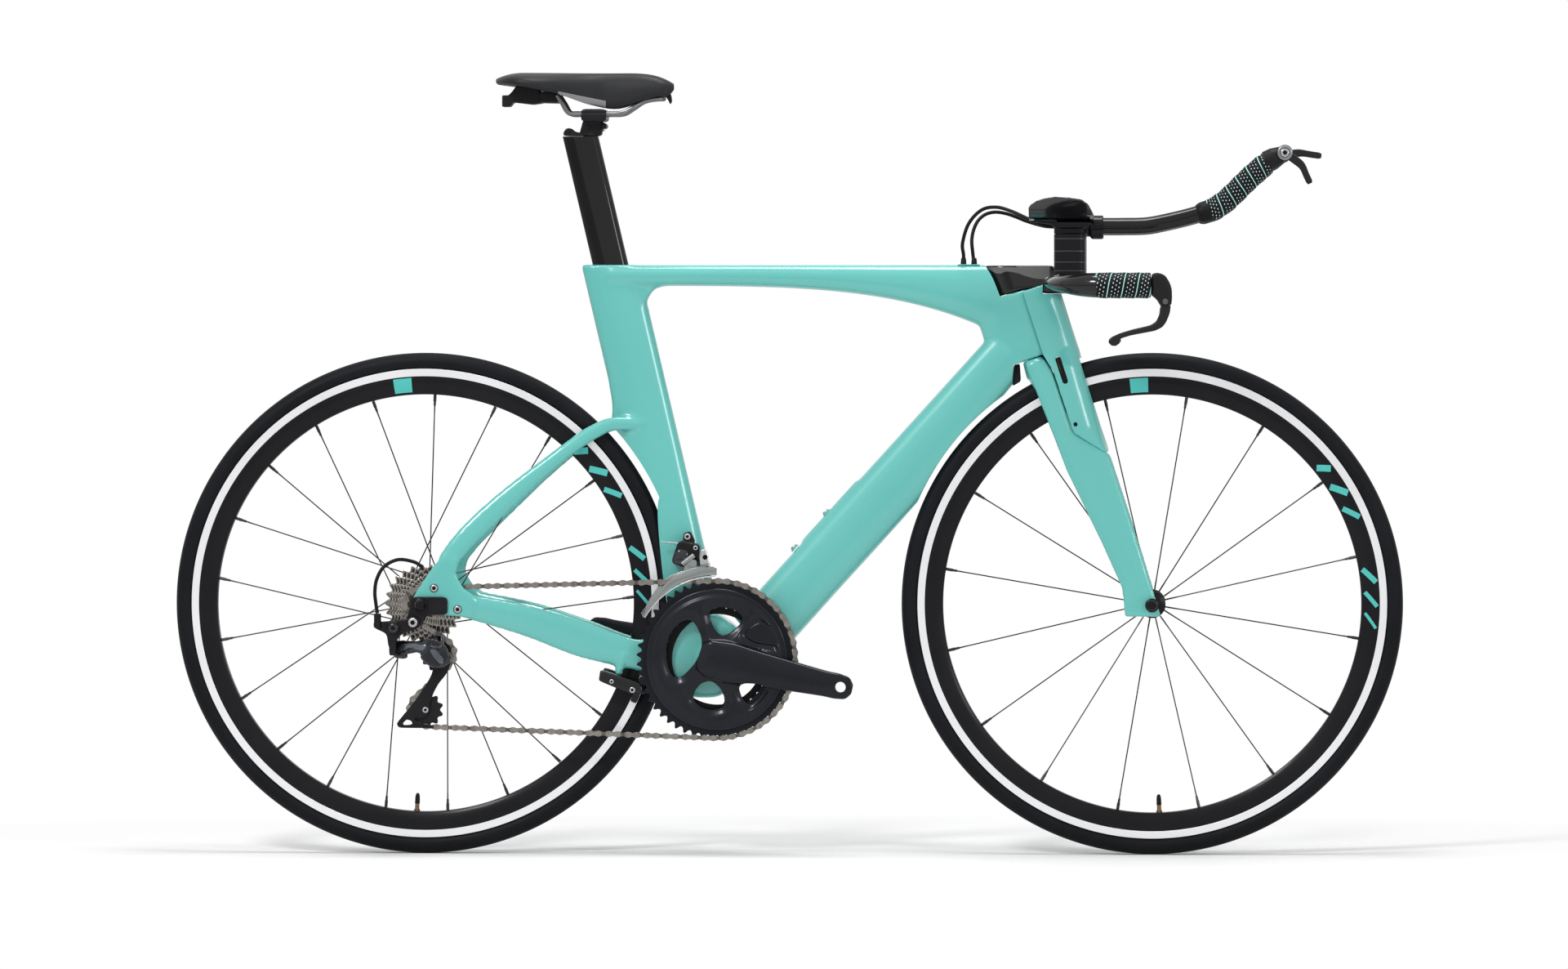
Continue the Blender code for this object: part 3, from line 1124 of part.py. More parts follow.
def belt_path():
    """Tangent points round the ring, the cog and the two pulleys, with the arcs between them."""
    wheels = ((BRACKET, pitch_radius(OUTER_TEETH), 1, -OUTER_RING_SIDE, 14),
              (REAR_AXLE, pitch_radius(COG_TEETH[0]), 1, -SMALL_COG_SIDE, 7),
              (GUIDE_CENTRE, pitch_radius(PULLEY_TEETH), -1, -SMALL_COG_SIDE, 6),
              (TENSION_CENTRE, pitch_radius(PULLEY_TEETH), 1, -SMALL_COG_SIDE, 6))
    legs = []
    for k, (centre, radius, sense, side, count) in enumerate(wheels):
        following = wheels[(k + 1) % len(wheels)]
        gap = Vector((following[0].x - centre.x, following[0].z - centre.z))
        heading = math.atan2(gap.y, gap.x)
        lean = math.acos((radius * sense - following[1] * following[2]) / gap.length)
        legs.append((heading - lean, sense, following[2]))
    path = []
    for k, (centre, radius, sense, side, count) in enumerate(wheels):
        arrive = legs[k - 1][0] + (0 if sense > 0 else math.pi)
        leave = legs[k][0] + (0 if sense > 0 else math.pi)
        turn = (leave - arrive) * sense % (2 * math.pi) * sense
        for share in np.linspace(0, 1, count):
            angle = arrive + turn * share
            path.append((Vector((centre.x + radius * math.cos(angle), side,
                                 centre.z + radius * math.sin(angle))), k))
    settled = []
    for k, (point, wheel) in enumerate(path):
        settled.append((point, wheel))
        following, next_wheel = path[(k + 1) % len(path)]
        if wheel != next_wheel and abs(point.y - following.y) > FIT_GAP:
            first = point + (following - point) * RUN_HOLD
            last = following + (point - following) * RUN_HOLD
            settled.append((Vector((first.x, point.y, first.z)), wheel))
            settled.append((Vector((last.x, following.y, last.z)), next_wheel))
    return settled


def chain():
    path = belt_path()
    count = len(path)
    half = 0.0040
    inner = TOOTH_THICKNESS / 2 + 0.0004
    outer = CHAIN_WIDTH / 2
    strips = []
    for hand in (-1, 1):
        work = bmesh.new()
        rows = []
        for k, (point, wheel) in enumerate(path):
            way = (path[(k + 1) % count][0] - path[k - 1][0]).normalized()
            normal = Vector((-way.z, 0, way.x)).normalized()
            row = []
            for reach, side in ((-half, inner), (half, inner), (half, outer), (-half, outer)):
                row.append(work.verts.new(point + normal * reach + SIDEWAYS * hand * side))
            rows.append(row)
        for k in range(count):
            low = rows[k]
            high = rows[(k + 1) % count]
            for j in range(4):
                work.faces.new((low[j], low[(j + 1) % 4], high[(j + 1) % 4], high[j]))
        strips.append(from_bmesh("strip", work))
    rollers = []
    for k, (point, wheel) in enumerate(path):
        following, next_wheel = path[(k + 1) % count]
        if (following - point).length > 3.5 * CHAIN_PITCH and wheel != next_wheel:
            steps = max(int((following - point).length / (6 * CHAIN_PITCH)), 1)
            for share in np.linspace(0, 1, steps + 2)[1:-1]:
                spot = point + (following - point) * share
                rollers.append(cylinder("roller", near(spot, 0, 0, -outer + 0.0006),
                                        near(spot, 0, 0, outer - 0.0006), 0.0030, 6))
    base = unite(strips[0], rollers[0])
    return unite(base, strips[1], *rollers[1:])


keep("chain", chain(), STEEL)

# Front derailleur: body on the seat tube, and the cage round the chain
FD_PIVOT = near(BRACKET, -0.0384, 0.1335, -0.0450)
FD_WAY = Vector((0.79, 0, 0.613)).normalized()
fd_body = unite(block("front_derailleur_body", near(BRACKET, -0.0430, 0.1415, -0.0270), (0.033, 0.0270, 0.035),
                      along=SEAT_FORWARD, bevel=0.003),
                cylinder("cable_post", near(BRACKET, -0.0400, 0.1560, -0.0330), near(BRACKET, -0.0330, 0.1660, -0.0330),
                         0.0050, 10))
fd_body = cut(fd_body, seat_tube(FIT_GAP),
              block("arm_room", near(BRACKET, -0.0350, 0.1260, -0.0390), (0.0240, 0.0090, 0.0200)))
keep("front_derailleur_body", fd_body, BLACK_ALLOY)


def arc_plate(name, side, thickness, inner, outer, start, end, count):
    outline = arc(BRACKET, outer, start, end, count) + arc(BRACKET, inner, end, start, count)
    return plate(name, outline, side, thickness)


fd_joint = joint("fd_joint", FD_PIVOT)
FD_OUTER = OUTER_RING_SIDE + CHAIN_WIDTH / 2 + 0.0022
FD_INNER = OUTER_RING_SIDE - CHAIN_WIDTH / 2 - 0.0012
TEETH_TOP = pitch_radius(OUTER_TEETH)
fd_cage = unite(
    arc_plate("front_derailleur_cage", -FD_OUTER, 0.0012, TEETH_TOP + 0.0055, TEETH_TOP + 0.0190, 92, 150, 9),
    arc_plate("inner", -FD_INNER, 0.0012, TEETH_TOP + 0.0055, TEETH_TOP + 0.0175, 92, 150, 9),
    arc_plate("bridge", -(FD_OUTER + FD_INNER) / 2, FD_OUTER - FD_INNER, TEETH_TOP + 0.0140,
              TEETH_TOP + 0.0168, 95, 106, 3),
    arc_plate("tail", -(FD_OUTER + FD_INNER) / 2, FD_OUTER - FD_INNER, TEETH_TOP + 0.0080,
              TEETH_TOP + 0.0160, 144.5, 149, 2),
    cylinder("pivot", FD_PIVOT - FD_WAY * 0.010, FD_PIVOT + FD_WAY * 0.010, 0.0040, 10),
    block("arm", near(FD_PIVOT, 0.0030, -0.0100, 0.0003), (0.018, 0.0046, 0.0200)))
keep("front_derailleur_cage", fd_cage, SILVER, fd_joint)

# Rear brake under the chain stays: an arm on each side, with its pad at the rim
PAD_GAP = 0.0027
BRAKE_RADIUS = RIM_OUTER - 0.0050


def rear_brake_arm(sign):
    word, hand = mirrored(sign)
    pivot_joint = joint("rear_brake_joint_" + word, BRAKE_TOP + SIDEWAYS * hand * 0.0330)
    slope = Vector((BRAKE_WAY.z, 0, -BRAKE_WAY.x))
    outline = [BRAKE_TOP - slope * 0.0235, BRAKE_TOP + slope * 0.0350]
    outline += [near(BRACKET, *p) for p in ((-0.0970, -0.0470), (-0.1200, -0.0450), (-0.1590, -0.0290))]
    arm = plate("arm", flat(*outline), hand * 0.0325, 0.0210, bevel=0.0025)
    touch = math.atan2(BRACKET.z - 0.042 - REAR_AXLE.z, BRACKET.x - 0.107 - REAR_AXLE.x)
    pad_side = RIM_WIDTH / 2 + PAD_GAP
    centre = polar(REAR_AXLE, BRAKE_RADIUS, touch, hand * (pad_side + 0.0055))
    tangent = Vector((-math.sin(touch), 0, math.cos(touch)))
    pad = block("pad", centre, (0.036, 0.0110, 0.0090), along=tangent)
    keep("rear_brake_arm_" + word, unite(arm, pad), BLACK_ALLOY, pivot_joint)


rear_brake_arm(-1)
rear_brake_arm(1)


# Fork: steerer, crown and two blades
def blade(sign):
    """One fork blade from the crown to the dropout, leaving room in front for the cover's leg."""
    rings = []
    for along, rear, front, side, width, power in (
            (0.3570, -0.0200, 0.0072, 0.0215, 0.0150, 0.7), (0.3380, -0.0190, 0.0128, 0.0230, 0.0145, 0.7),
            (0.3250, -0.0175, 0.0130, 0.0240, 0.0140, 0.7),
            (0.2500, -0.0130, 0.0130, 0.0300, 0.0135, 0.7), (0.2070, -0.0110, 0.0500, 0.0340, 0.0130, 0.7),
            (0.1000, 0.0040, 0.0520, 0.0455, 0.0115, 0.7), (0.0350, 0.0110, 0.0512, 0.0520, 0.0090, 0.5)):
        rings.append(section(steer_point(along, rear), steer_point(along, front), width,
                             side=sign * side, power=power))
    foot = FRONT_AXLE.z - 0.0155
    rings.append(section(Vector((FRONT_AXLE.x - 0.0369, 0, foot)), Vector((FRONT_AXLE.x + 0.0124, 0, foot)),
                         0.0078, side=sign * BLADE_TIP_SIDE, power=0.35))
    rings.insert(-1, section(steer_point(0.0160, 0.0080), steer_point(0.0160, 0.0508), 0.0078,
                             side=sign * BLADE_TIP_SIDE, power=0.35))
    return loft("blade", rings)


def crown():
    rings = []
    for along, rear, front, width in ((HEAD_LOW - FIT_GAP, -0.0220, 0.0066, 0.052),
                                      (0.3380, -0.0232, 0.0128, 0.058), (0.3180, -0.0175, 0.0130, 0.060)):
        rings.append(section(steer_point(along, rear), steer_point(along, front), width, sides=16, power=0.7))
    return loft("crown", rings)


fork = unite(crown(), blade(-1), blade(1))
STEERER_TOP = HEAD_HIGH + 0.0185
fork = cut(fork, wheel_space(FRONT_AXLE, FRONT_SPACE, SIDE_SPACE),
           cylinder("axle_bore", near(FRONT_AXLE, 0, 0, -0.07), near(FRONT_AXLE, 0, 0, 0.07),
                    SKEWER_RADIUS + SKEWER_CLEARANCE, 12))
fork = unite(fork, cylinder("steerer", steer_point(HEAD_LOW - 0.008, 0), steer_point(STEERER_TOP, 0),
                            STEERER_RADIUS, 24))
BRAKE_PIVOT_ALONG = 0.3450
BRAKE_ARM_SIDE = 0.0192
BRAKE_ARM_REAR = 0.0260
for sign in (-1, 1):
    fork = unite(fork, cylinder("brake_stud", steer_point(BRAKE_PIVOT_ALONG, 0.004, sign * BRAKE_ARM_SIDE),
                                steer_point(BRAKE_PIVOT_ALONG, BRAKE_ARM_REAR - FIT_GAP, sign * BRAKE_ARM_SIDE),
                                0.0035, 10))
keep("fork", fork, TURQUOISE, front_steer_joint)


# Fork cover: a thin shell in front of the head tube, with a leg in front of each blade
def cover_ring(along, rear, front, half, back=0.0):
    """Half a superellipse at one station along the steering axis, run straight back if asked."""
    ring = [steer_point(along, rear - back, -half)] if back else []
    for k in range(11):
        angle = math.pi * (k / 10 - 0.5)
        ring.append(steer_point(along, rear + (front - rear) * soften(math.cos(angle), 0.75),
                                half * soften(math.sin(angle), 0.75)))
    return ring + ([steer_point(along, rear - back, half)] if back else [])


COVER_STATIONS = ((HEAD_HIGH - 0.0020, COVER_SEAM, 0.0, 0.0256), (HEAD_LOW, COVER_SEAM, 0.0, 0.0262),
                  (0.3380, 0.0134, 0.0004, 0.0310), (0.2500, 0.0138, 0.0014, 0.0350),
                  (0.2120, 0.0460, 0.0020, 0.0365))
cover = loft("fork_cover", [cover_ring(along, seam, COVER_FRONT - trim, half)
                            for along, seam, trim, half in COVER_STATIONS])
hollow = []
for along, seam, trim, half in ((HEAD_HIGH + 0.0115, COVER_SEAM, 0.0, 0.0256), *COVER_STATIONS[1:-1]):
    hollow.append(cover_ring(along, seam, COVER_FRONT - trim - COVER_WALL, half - COVER_WALL, 0.012))
hollow.append(cover_ring(0.2200, 0.0350, COVER_FRONT - 0.0050, 0.0330, 0.012))
slot_centre = steer_point(0.3350, 0.0247)
cover = cut(cover, loft("hollow", hollow), wheel_space(FRONT_AXLE, FRONT_SPACE, SIDE_SPACE),
            block("bar_space", Vector((FRONT_AXLE.x - 0.0965, 0, TOP_LINE + 0.0020)), (0.100, 0.10, 0.082)),
            block("cable_slot", slot_centre, (0.0065, 0.12, 0.0340), along=STEER_FORWARD))
keep("fork_cover", cover, TURQUOISE, front_steer_joint)


def front_brake_arm(sign):
    word, hand = mirrored(sign)
    pivot = steer_point(BRAKE_PIVOT_ALONG, BRAKE_ARM_REAR, hand * BRAKE_ARM_SIDE)
    pivot_joint = joint("front_brake_joint_" + word, pivot)
    pivot_joint.parent = front_steer_joint
    pivot_joint.matrix_parent_inverse = front_steer_joint.matrix_world.inverted()
    arm = block("arm", steer_point(0.3265, BRAKE_ARM_REAR + 0.0055, hand * BRAKE_ARM_SIDE), (0.0110, 0.0052, 0.049),
                along=STEER_FORWARD, bevel=0.001)
    pad_side = RIM_WIDTH / 2 + PAD_GAP
    angle = math.atan2(steer_point(0.3093, 0.0300).z - FRONT_AXLE.z, steer_point(0.3093, 0.0300).x - FRONT_AXLE.x)
    centre = polar(FRONT_AXLE, BRAKE_RADIUS, angle, hand * (pad_side + 0.0036))
    tangent = Vector((-math.sin(angle), 0, math.cos(angle)))
    pad = block("pad", centre, (0.025, 0.0072, 0.0080), along=tangent)
    keep("front_brake_arm_" + word, unite(arm, pad), BLACK_ALLOY, pivot_joint)


front_brake_arm(-1)
front_brake_arm(1)

# Base bar with its stem: an elliptic column on the steerer and a wing that turns into two grips
STEM_WIDTH = 0.040
column_low = []
column_high = []
for k in range(20):
    angle = 2 * math.pi * k / 20
    foot = steer_point(HEAD_HIGH + FIT_GAP, STEM_TAIL * math.cos(angle), STEM_WIDTH / 2 * math.sin(angle))
    column_low.append(foot)
    column_high.append(foot + STEER_UP * ((TOP_LINE - 0.001 - foot.z) / STEER_UP.z))
column = loft("base_bar", [column_low, column_high])
BAR_CENTRE = Vector((FRONT_AXLE.x - 0.1148, 0, TOP_LINE - 0.0250))
nose = [steer_point(HEAD_HIGH + 0.001, 0.025), Vector((BAR_CENTRE.x - 0.016, 0, BAR_CENTRE.z + 0.0010)),
        Vector((BAR_CENTRE.x - 0.013, 0, TOP_LINE - 0.010)), Vector((BAR_CENTRE.x - 0.018, 0, TOP_LINE - 0.001)),
        Vector((BAR_CENTRE.x - 0.072, 0, TOP_LINE - 0.001))]
stem_nose = plate("stem_nose", flat(*nose), 0, 0.034)
GRIP_END = FRONT_AXLE.x - 0.0018
bar_stations = ((0.0, 0.0, 0.0285, 0.0110), (0.0, 0.105, 0.0285, 0.0110), (0.004, 0.140, 0.0265, 0.0122),
                (0.016, 0.168, 0.0215, 0.0145), (0.036, 0.185, 0.0172, 0.0160), (0.062, GRIP_SIDE, GRIP_RADIUS,
                                                                               GRIP_RADIUS),
                (GRIP_END - BAR_CENTRE.x, GRIP_SIDE, GRIP_RADIUS, GRIP_RADIUS))
route = [Vector((x, -y, 0)) for x, y, *rest in bar_stations[:0:-1]] + [Vector((x, y, 0)) for x, y, *rest in bar_stations]
sizes = [s[2:] for s in bar_stations[:0:-1]] + [s[2:] for s in bar_stations]
bar_rings = []
for k, (point, (chord, thickness)) in enumerate(zip(route, sizes)):
    way = (route[min(k + 1, len(route) - 1)] - route[max(k - 1, 0)]).normalized()
    if k in (0, len(route) - 1):
        way = Vector((-1 if k == 0 else 1, 0, 0))
    across = Vector((way.y, -way.x, 0))
    drop = min(1.0, abs(point.y) / GRIP_SIDE) ** 3 * 0.0030
    ring = []
    for j in range(12):
        angle = 2 * math.pi * j / 12
        ring.append(BAR_CENTRE + point + across * chord * math.cos(angle)
                    + Vector((0, 0, thickness * math.sin(angle) - drop)))
    bar_rings.append(ring)
base_bar = unite(column, stem_nose, loft("wing", bar_rings))
base_bar = cut(base_bar, cylinder("steerer_bore", steer_point(HEAD_HIGH - 0.0135, 0), steer_point(STEERER_TOP + FIT_GAP, 0),
                                  STEERER_RADIUS + FIT_GAP, 24))
keep("base_bar", base_bar, CARBON, front_steer_joint)

# Brake hoods plugged in the grips' ends, with a lever in each
LEVER_PIVOT = Vector((GRIP_END + 0.0189, 0, BAR_CENTRE.z - 0.0245))
HOOD_BOTTOM = LEVER_PIVOT.z - 0.0100


def brake_hood(sign):
    word, hand = mirrored(sign)
    low = BAR_CENTRE.z - 0.0030 - GRIP_RADIUS
    high = BAR_CENTRE.z - 0.0030 + GRIP_RADIUS
    outline = [(GRIP_END + FIT_GAP, high), (GRIP_END + 0.0220, high), (GRIP_END + 0.0275, high - 0.006),
               (GRIP_END + 0.0275, HOOD_BOTTOM + 0.003), (GRIP_END + 0.0245, HOOD_BOTTOM),
               (GRIP_END + 0.0110, HOOD_BOTTOM), (GRIP_END + 0.0060, low), (GRIP_END + FIT_GAP, low)]
    hood = plate("hood", outline, hand * GRIP_SIDE, 0.0220, bevel=0.003)
    slot = block("slot", Vector((GRIP_END + 0.012, hand * GRIP_SIDE, LEVER_PIVOT.z + 0.0088 - 0.030)),
                 (0.060, 0.0082, 0.060))
    keep("brake_hood_" + word, cut(hood, slot), PLASTIC, front_steer_joint)


def brake_lever(sign):
    word, hand = mirrored(sign)
    pivot = LEVER_PIVOT + SIDEWAYS * hand * GRIP_SIDE
    lever_joint = joint("brake_lever_joint_" + word, pivot)
    lever_joint.parent = front_steer_joint
    lever_joint.matrix_parent_inverse = front_steer_joint.matrix_world.inverted()
    outline = arc(pivot, 0.0078, -20, 170, 7)
    outline += flat(*[near(pivot, *p) for p in (
        (-0.0110, -0.0230), (-0.0190, -0.0320), (-0.0340, -0.0380), (-0.0520, -0.0420), (-0.0680, -0.0470),
        (-0.0760, -0.0550), (-0.0740, -0.0600), (-0.0660, -0.0590), (-0.0640, -0.0560), (-0.0500, -0.0510),
        (-0.0300, -0.0460), (-0.0130, -0.0410), (-0.0030, -0.0310), (0.0020, -0.0180))])
    keep("brake_lever_" + word, plate("lever", outline, pivot.y, 0.0076), BLACK_ALLOY, lever_joint)


for sign in (-1, 1):
    brake_hood(sign)
    brake_lever(sign)

# Risers, arm pads and extensions with their shifters
RISER_FOOT = BAR_CENTRE.z + 0.0116
EXTENSION_HEIGHT = TOP_LINE + 0.0511
HEAD_BLOCK_TOP = EXTENSION_HEIGHT + 0.0134
HEAD_BLOCK_FOOT = EXTENSION_HEIGHT - 0.0145
EXTENSION_REAR = BAR_CENTRE.x - 0.0130
EXTENSION_POINTS = ((0.0, 0.0), (0.045, 0.0), (0.090, 0.0), (0.122, 0.0), (0.150, 0.0055), (0.188, 0.0165),
                    (0.214, 0.0220), (0.229, 0.0355), (0.244, 0.0570), (0.262, 0.0735), (0.285, 0.0870),
                    (0.2890, 0.0895))
SHIFTER = Vector((EXTENSION_REAR + 0.3040, 0, EXTENSION_HEIGHT + 0.0972))


def extension_route(side, count):
    points = [Vector((EXTENSION_REAR + x, side, EXTENSION_HEIGHT + z)) for x, z in EXTENSION_POINTS]
    return smooth_path(points, count)


def riser(sign):
    word, hand = mirrored(sign)
    rings = []
    for height in (RISER_FOOT, HEAD_BLOCK_FOOT + 0.004):
        rings.append([Vector((BAR_CENTRE.x + 0.0052 + 0.0212 * soften(math.cos(a), 0.6),
                              hand * RISER_SIDE + 0.015 * soften(math.sin(a), 0.6), height))
                      for a in np.linspace(0, 2 * math.pi, 12, endpoint=False)])
    head = block("head", Vector((BAR_CENTRE.x + 0.0190, hand * (EXTENSION_SIDE + 0.0135),
                                 (HEAD_BLOCK_TOP + HEAD_BLOCK_FOOT) / 2)),
                 (0.0620, 0.0560, HEAD_BLOCK_TOP - HEAD_BLOCK_FOOT), bevel=0.002)
    bore = cylinder("bore", Vector((EXTENSION_REAR - 0.03, hand * EXTENSION_SIDE, EXTENSION_HEIGHT)),
                    Vector((EXTENSION_REAR + 0.10, hand * EXTENSION_SIDE, EXTENSION_HEIGHT)),
                    EXTENSION_RADIUS + FIT_GAP, 16)
    keep("riser_" + word, cut(unite(loft("column", rings), head), bore), BLACK_ALLOY, front_steer_joint)


def arm_pad(sign):
    """A cupped pad: an arc across the forearm, tapered at both ends."""
    word, hand = mirrored(sign)
    rings = []
    rear = BAR_CENTRE.x - 0.0490
    base = EXTENSION_HEIGHT + 0.0070
    for share, grow in ((0.0, 0.62), (0.10, 0.88), (0.35, 1.0), (0.75, 1.0), (0.92, 0.86), (1.0, 0.60)):
        outer = []
        inner = []
        for k in range(7):
            angle = math.radians(46) * grow * (k / 3 - 1)
            x = rear + 0.0860 * share
            thick = 0.0135 * (0.7 + 0.3 * grow)
            centre = base + 0.060
            outer.append(Vector((x, hand * PAD_SIDE + 0.060 * math.sin(angle), centre - 0.060 * math.cos(angle))))
            inner.append(Vector((x, hand * PAD_SIDE + (0.060 - thick) * math.sin(angle),
                                 centre - (0.060 - thick) * math.cos(angle))))
        rings.append(outer + inner[::-1])
    room = block("room", Vector((BAR_CENTRE.x + 0.0190, hand * (EXTENSION_SIDE + 0.0135), HEAD_BLOCK_TOP - 0.010)),
                 (0.0620 + 2 * FIT_GAP, 0.0560 + 2 * FIT_GAP, 0.020 + 2 * FIT_GAP))
    keep("arm_pad_" + word, cut(loft("pad", rings), room), FOAM, front_steer_joint)


def extension(sign):
    """A bent tube, thicker where it is taped, with the shifter's pod at its end."""
    word, hand = mirrored(sign)
    path = extension_route(hand * EXTENSION_SIDE, 20)
    scales = [1.0 if p.x < EXTENSION_REAR + 0.196 else 1.22 for p in path]
    bar = tube("extension", path, EXTENSION_RADIUS, 2, scales)
    pod = cylinder("pod", SHIFTER + SIDEWAYS * (hand * EXTENSION_SIDE - 0.0095),
                   SHIFTER + SIDEWAYS * (hand * EXTENSION_SIDE + 0.0095), 0.0107, 16)
    neck = cylinder("neck", path[-2], SHIFTER + SIDEWAYS * hand * EXTENSION_SIDE, 0.0090, 12)
    keep("extension_" + word, unite(bar, neck, pod), CARBON, front_steer_joint)


def shift_lever(sign, bend, tip):
    word, hand = mirrored(sign)
    side = hand * (EXTENSION_SIDE + 0.0095 + FIT_GAP + 0.0025)
    lever_joint = joint("shift_lever_joint_" + word, SHIFTER + SIDEWAYS * side)
    lever_joint.parent = front_steer_joint
    lever_joint.matrix_parent_inverse = front_steer_joint.matrix_world.inverted()
    disc = cylinder("disc", SHIFTER + SIDEWAYS * (side - 0.0025), SHIFTER + SIDEWAYS * (side + 0.0025), 0.0100, 16)
    elbow = SHIFTER + Vector((bend[0], side, bend[1]))
    end = SHIFTER + Vector((tip[0], side, tip[1]))
    start = SHIFTER + SIDEWAYS * side
    upper = block("upper", (start + elbow) / 2, ((elbow - start).length + 0.004, 0.0048, 0.0110), along=elbow - start)
    lower = block("lower", (elbow + end) / 2, ((end - elbow).length + 0.003, 0.0046, 0.0085), along=end - elbow)
    keep("shift_lever_" + word, unite(disc, upper, lower), BLACK_ALLOY, lever_joint)


for sign in (-1, 1):
    riser(sign)
    arm_pad(sign)
    extension(sign)
shift_lever(-1, (0.0216, -0.0155), (0.0336, -0.0410))
shift_lever(1, (0.0216, 0.0030), (0.0520, -0.0014))

# Cable housings: two from the extensions into the top tube, one round the rear derailleur
ENTRY = GLAND + Vector((-0.0070, 0, FIT_GAP))
LOOP_A = ((-0.0015, 1.0, 0.0001), (-0.0180, 0.992, 0.0014), (-0.0390, 0.935, 0.0104), (-0.0600, 0.823, 0.0199),
          (-0.0800, 0.661, 0.0254), (-0.1000, 0.5, 0.0219), (-0.1175, 0.355, 0.0039), (-0.1260, 0.21, -0.0221))
LOOP_B = ((-0.0015, 1.0, 0.0001), (-0.0180, 0.992, 0.0014), (-0.0390, 0.952, 0.0084), (-0.0600, 0.855, 0.0159),
          (-0.0820, 0.710, 0.0164), (-0.0980, 0.532, 0.0069), (-0.1080, 0.371, -0.0091), (-0.1135, 0.21, -0.0291))


def cable_loop(name, hand, shape, foot_x, foot_side):
    """A housing from an extension's rear end into the gland: behind the end, share of its side, above it."""
    points = [Vector((EXTENSION_REAR + x, hand * EXTENSION_SIDE * spread, EXTENSION_HEIGHT + z)) for x, spread, z in shape]
    end = Vector((foot_x, foot_side, ENTRY.z))
    lift = end + Vector((0, 0, 0.012))
    path = smooth_path([*points, lift, end], 26)
    keep(name, tube(name, path, CABLE_RADIUS, 1), RUBBER)


cable_loop("cable_loop_a", -1, LOOP_A, ENTRY.x, -0.0045)
cable_loop("cable_loop_b", 1, LOOP_B, ENTRY.x + 0.0140, 0.0045)

REAR_CABLE = ((0.0030, 0.0500, -0.0700), (-0.0095, 0.0575, -0.0715), (-0.0300, 0.0605, -0.0755),
              (-0.0480, 0.0515, -0.0800), (-0.0575, 0.0350, -0.0835), (-0.0600, 0.0175, -0.0855),
              (-0.0585, 0.0020, -0.0861), (-0.0566, -0.0106, -0.0861))
cable_points = [near(REAR_AXLE, x, z, y) for x, z, y in REAR_CABLE]
cable_points[-1].y = -knuckle_face - 0.008
cable_points[-2].y = -knuckle_face - 0.008
keep("shift_cable_rear", tube("shift_cable_rear", smooth_path(cable_points, 18), CABLE_RADIUS, 1), RUBBER)

for leftover in list(CUTTERS.objects):
    bpy.data.objects.remove(leftover)
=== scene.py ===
import math

import bmesh
import bpy
import numpy as np
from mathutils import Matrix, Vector


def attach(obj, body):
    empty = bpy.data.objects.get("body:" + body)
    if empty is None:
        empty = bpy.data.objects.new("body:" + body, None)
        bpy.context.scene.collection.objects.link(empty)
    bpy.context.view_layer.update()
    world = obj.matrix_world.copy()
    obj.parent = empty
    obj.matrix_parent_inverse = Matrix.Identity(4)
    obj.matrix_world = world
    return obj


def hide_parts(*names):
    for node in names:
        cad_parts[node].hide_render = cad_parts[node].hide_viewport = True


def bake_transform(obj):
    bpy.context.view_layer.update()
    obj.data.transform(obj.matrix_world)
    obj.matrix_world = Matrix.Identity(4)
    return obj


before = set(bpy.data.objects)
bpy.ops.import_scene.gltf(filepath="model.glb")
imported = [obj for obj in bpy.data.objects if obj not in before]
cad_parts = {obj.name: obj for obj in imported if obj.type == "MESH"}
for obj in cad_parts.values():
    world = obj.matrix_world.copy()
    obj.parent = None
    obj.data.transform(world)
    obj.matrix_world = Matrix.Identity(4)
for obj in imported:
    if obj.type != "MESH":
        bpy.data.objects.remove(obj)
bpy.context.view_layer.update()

# Camera: a long lens on the drive side, a little under the top tube's height and ahead of the middle.
# A small lens shift keeps the bike's plane square to the picture, as the photograph has it.
SEEN_WIDTH = 2.1028
SEEN_MIDDLE = Vector((-0.0058, 0.0, 0.4955))
LENS_SHIFT = Vector((-0.1, 0.0, -0.05))
eye = Vector((0.476, -10.0, 0.729))
aim = SEEN_MIDDLE - LENS_SHIFT * SEEN_WIDTH
camera = bpy.data.objects.new("camera", bpy.data.cameras.new("camera"))
bpy.context.scene.collection.objects.link(camera)
camera.location = eye
camera.rotation_euler = (aim - eye).to_track_quat("-Z", "Y").to_euler()
camera.data.lens = camera.data.sensor_width * (aim - eye).length / SEEN_WIDTH
camera.data.shift_x, camera.data.shift_y = LENS_SHIFT.x, LENS_SHIFT.z
camera.data.clip_end = 100
bpy.context.scene.camera = camera

# Cable housings: a steel-lined plastic tube 4.8 mm thick, cut to length and pushed into its seats.
# Two arch from the extensions' rear ends into the top tube, and one loops to the rear derailleur.
HOUSING = 0.0024


def makers(tree):
    """Short ways to fill a node tree. The first adds a node, sets its options, and fills or links its
    inputs in order; the others give the result of a maths node and the blend of two colours."""

    def make(kind, *inputs, **options):
        node = tree.nodes.new("ShaderNode" + kind)
        for label, setting in options.items():
            setattr(node, label, setting)
        for socket, given in zip(node.inputs, inputs):
            if isinstance(given, bpy.types.NodeSocket):
                tree.links.new(given, socket)
            elif given is not None:
                socket.default_value = given
        return node

    def calc(operation, *inputs):
        return make("Math", *inputs, operation=operation).outputs[0]

    def mix(share, first, second):
        return make("Mix", share, *[None] * 5, first, second, data_type="RGBA").outputs[2]
    return make, calc, mix


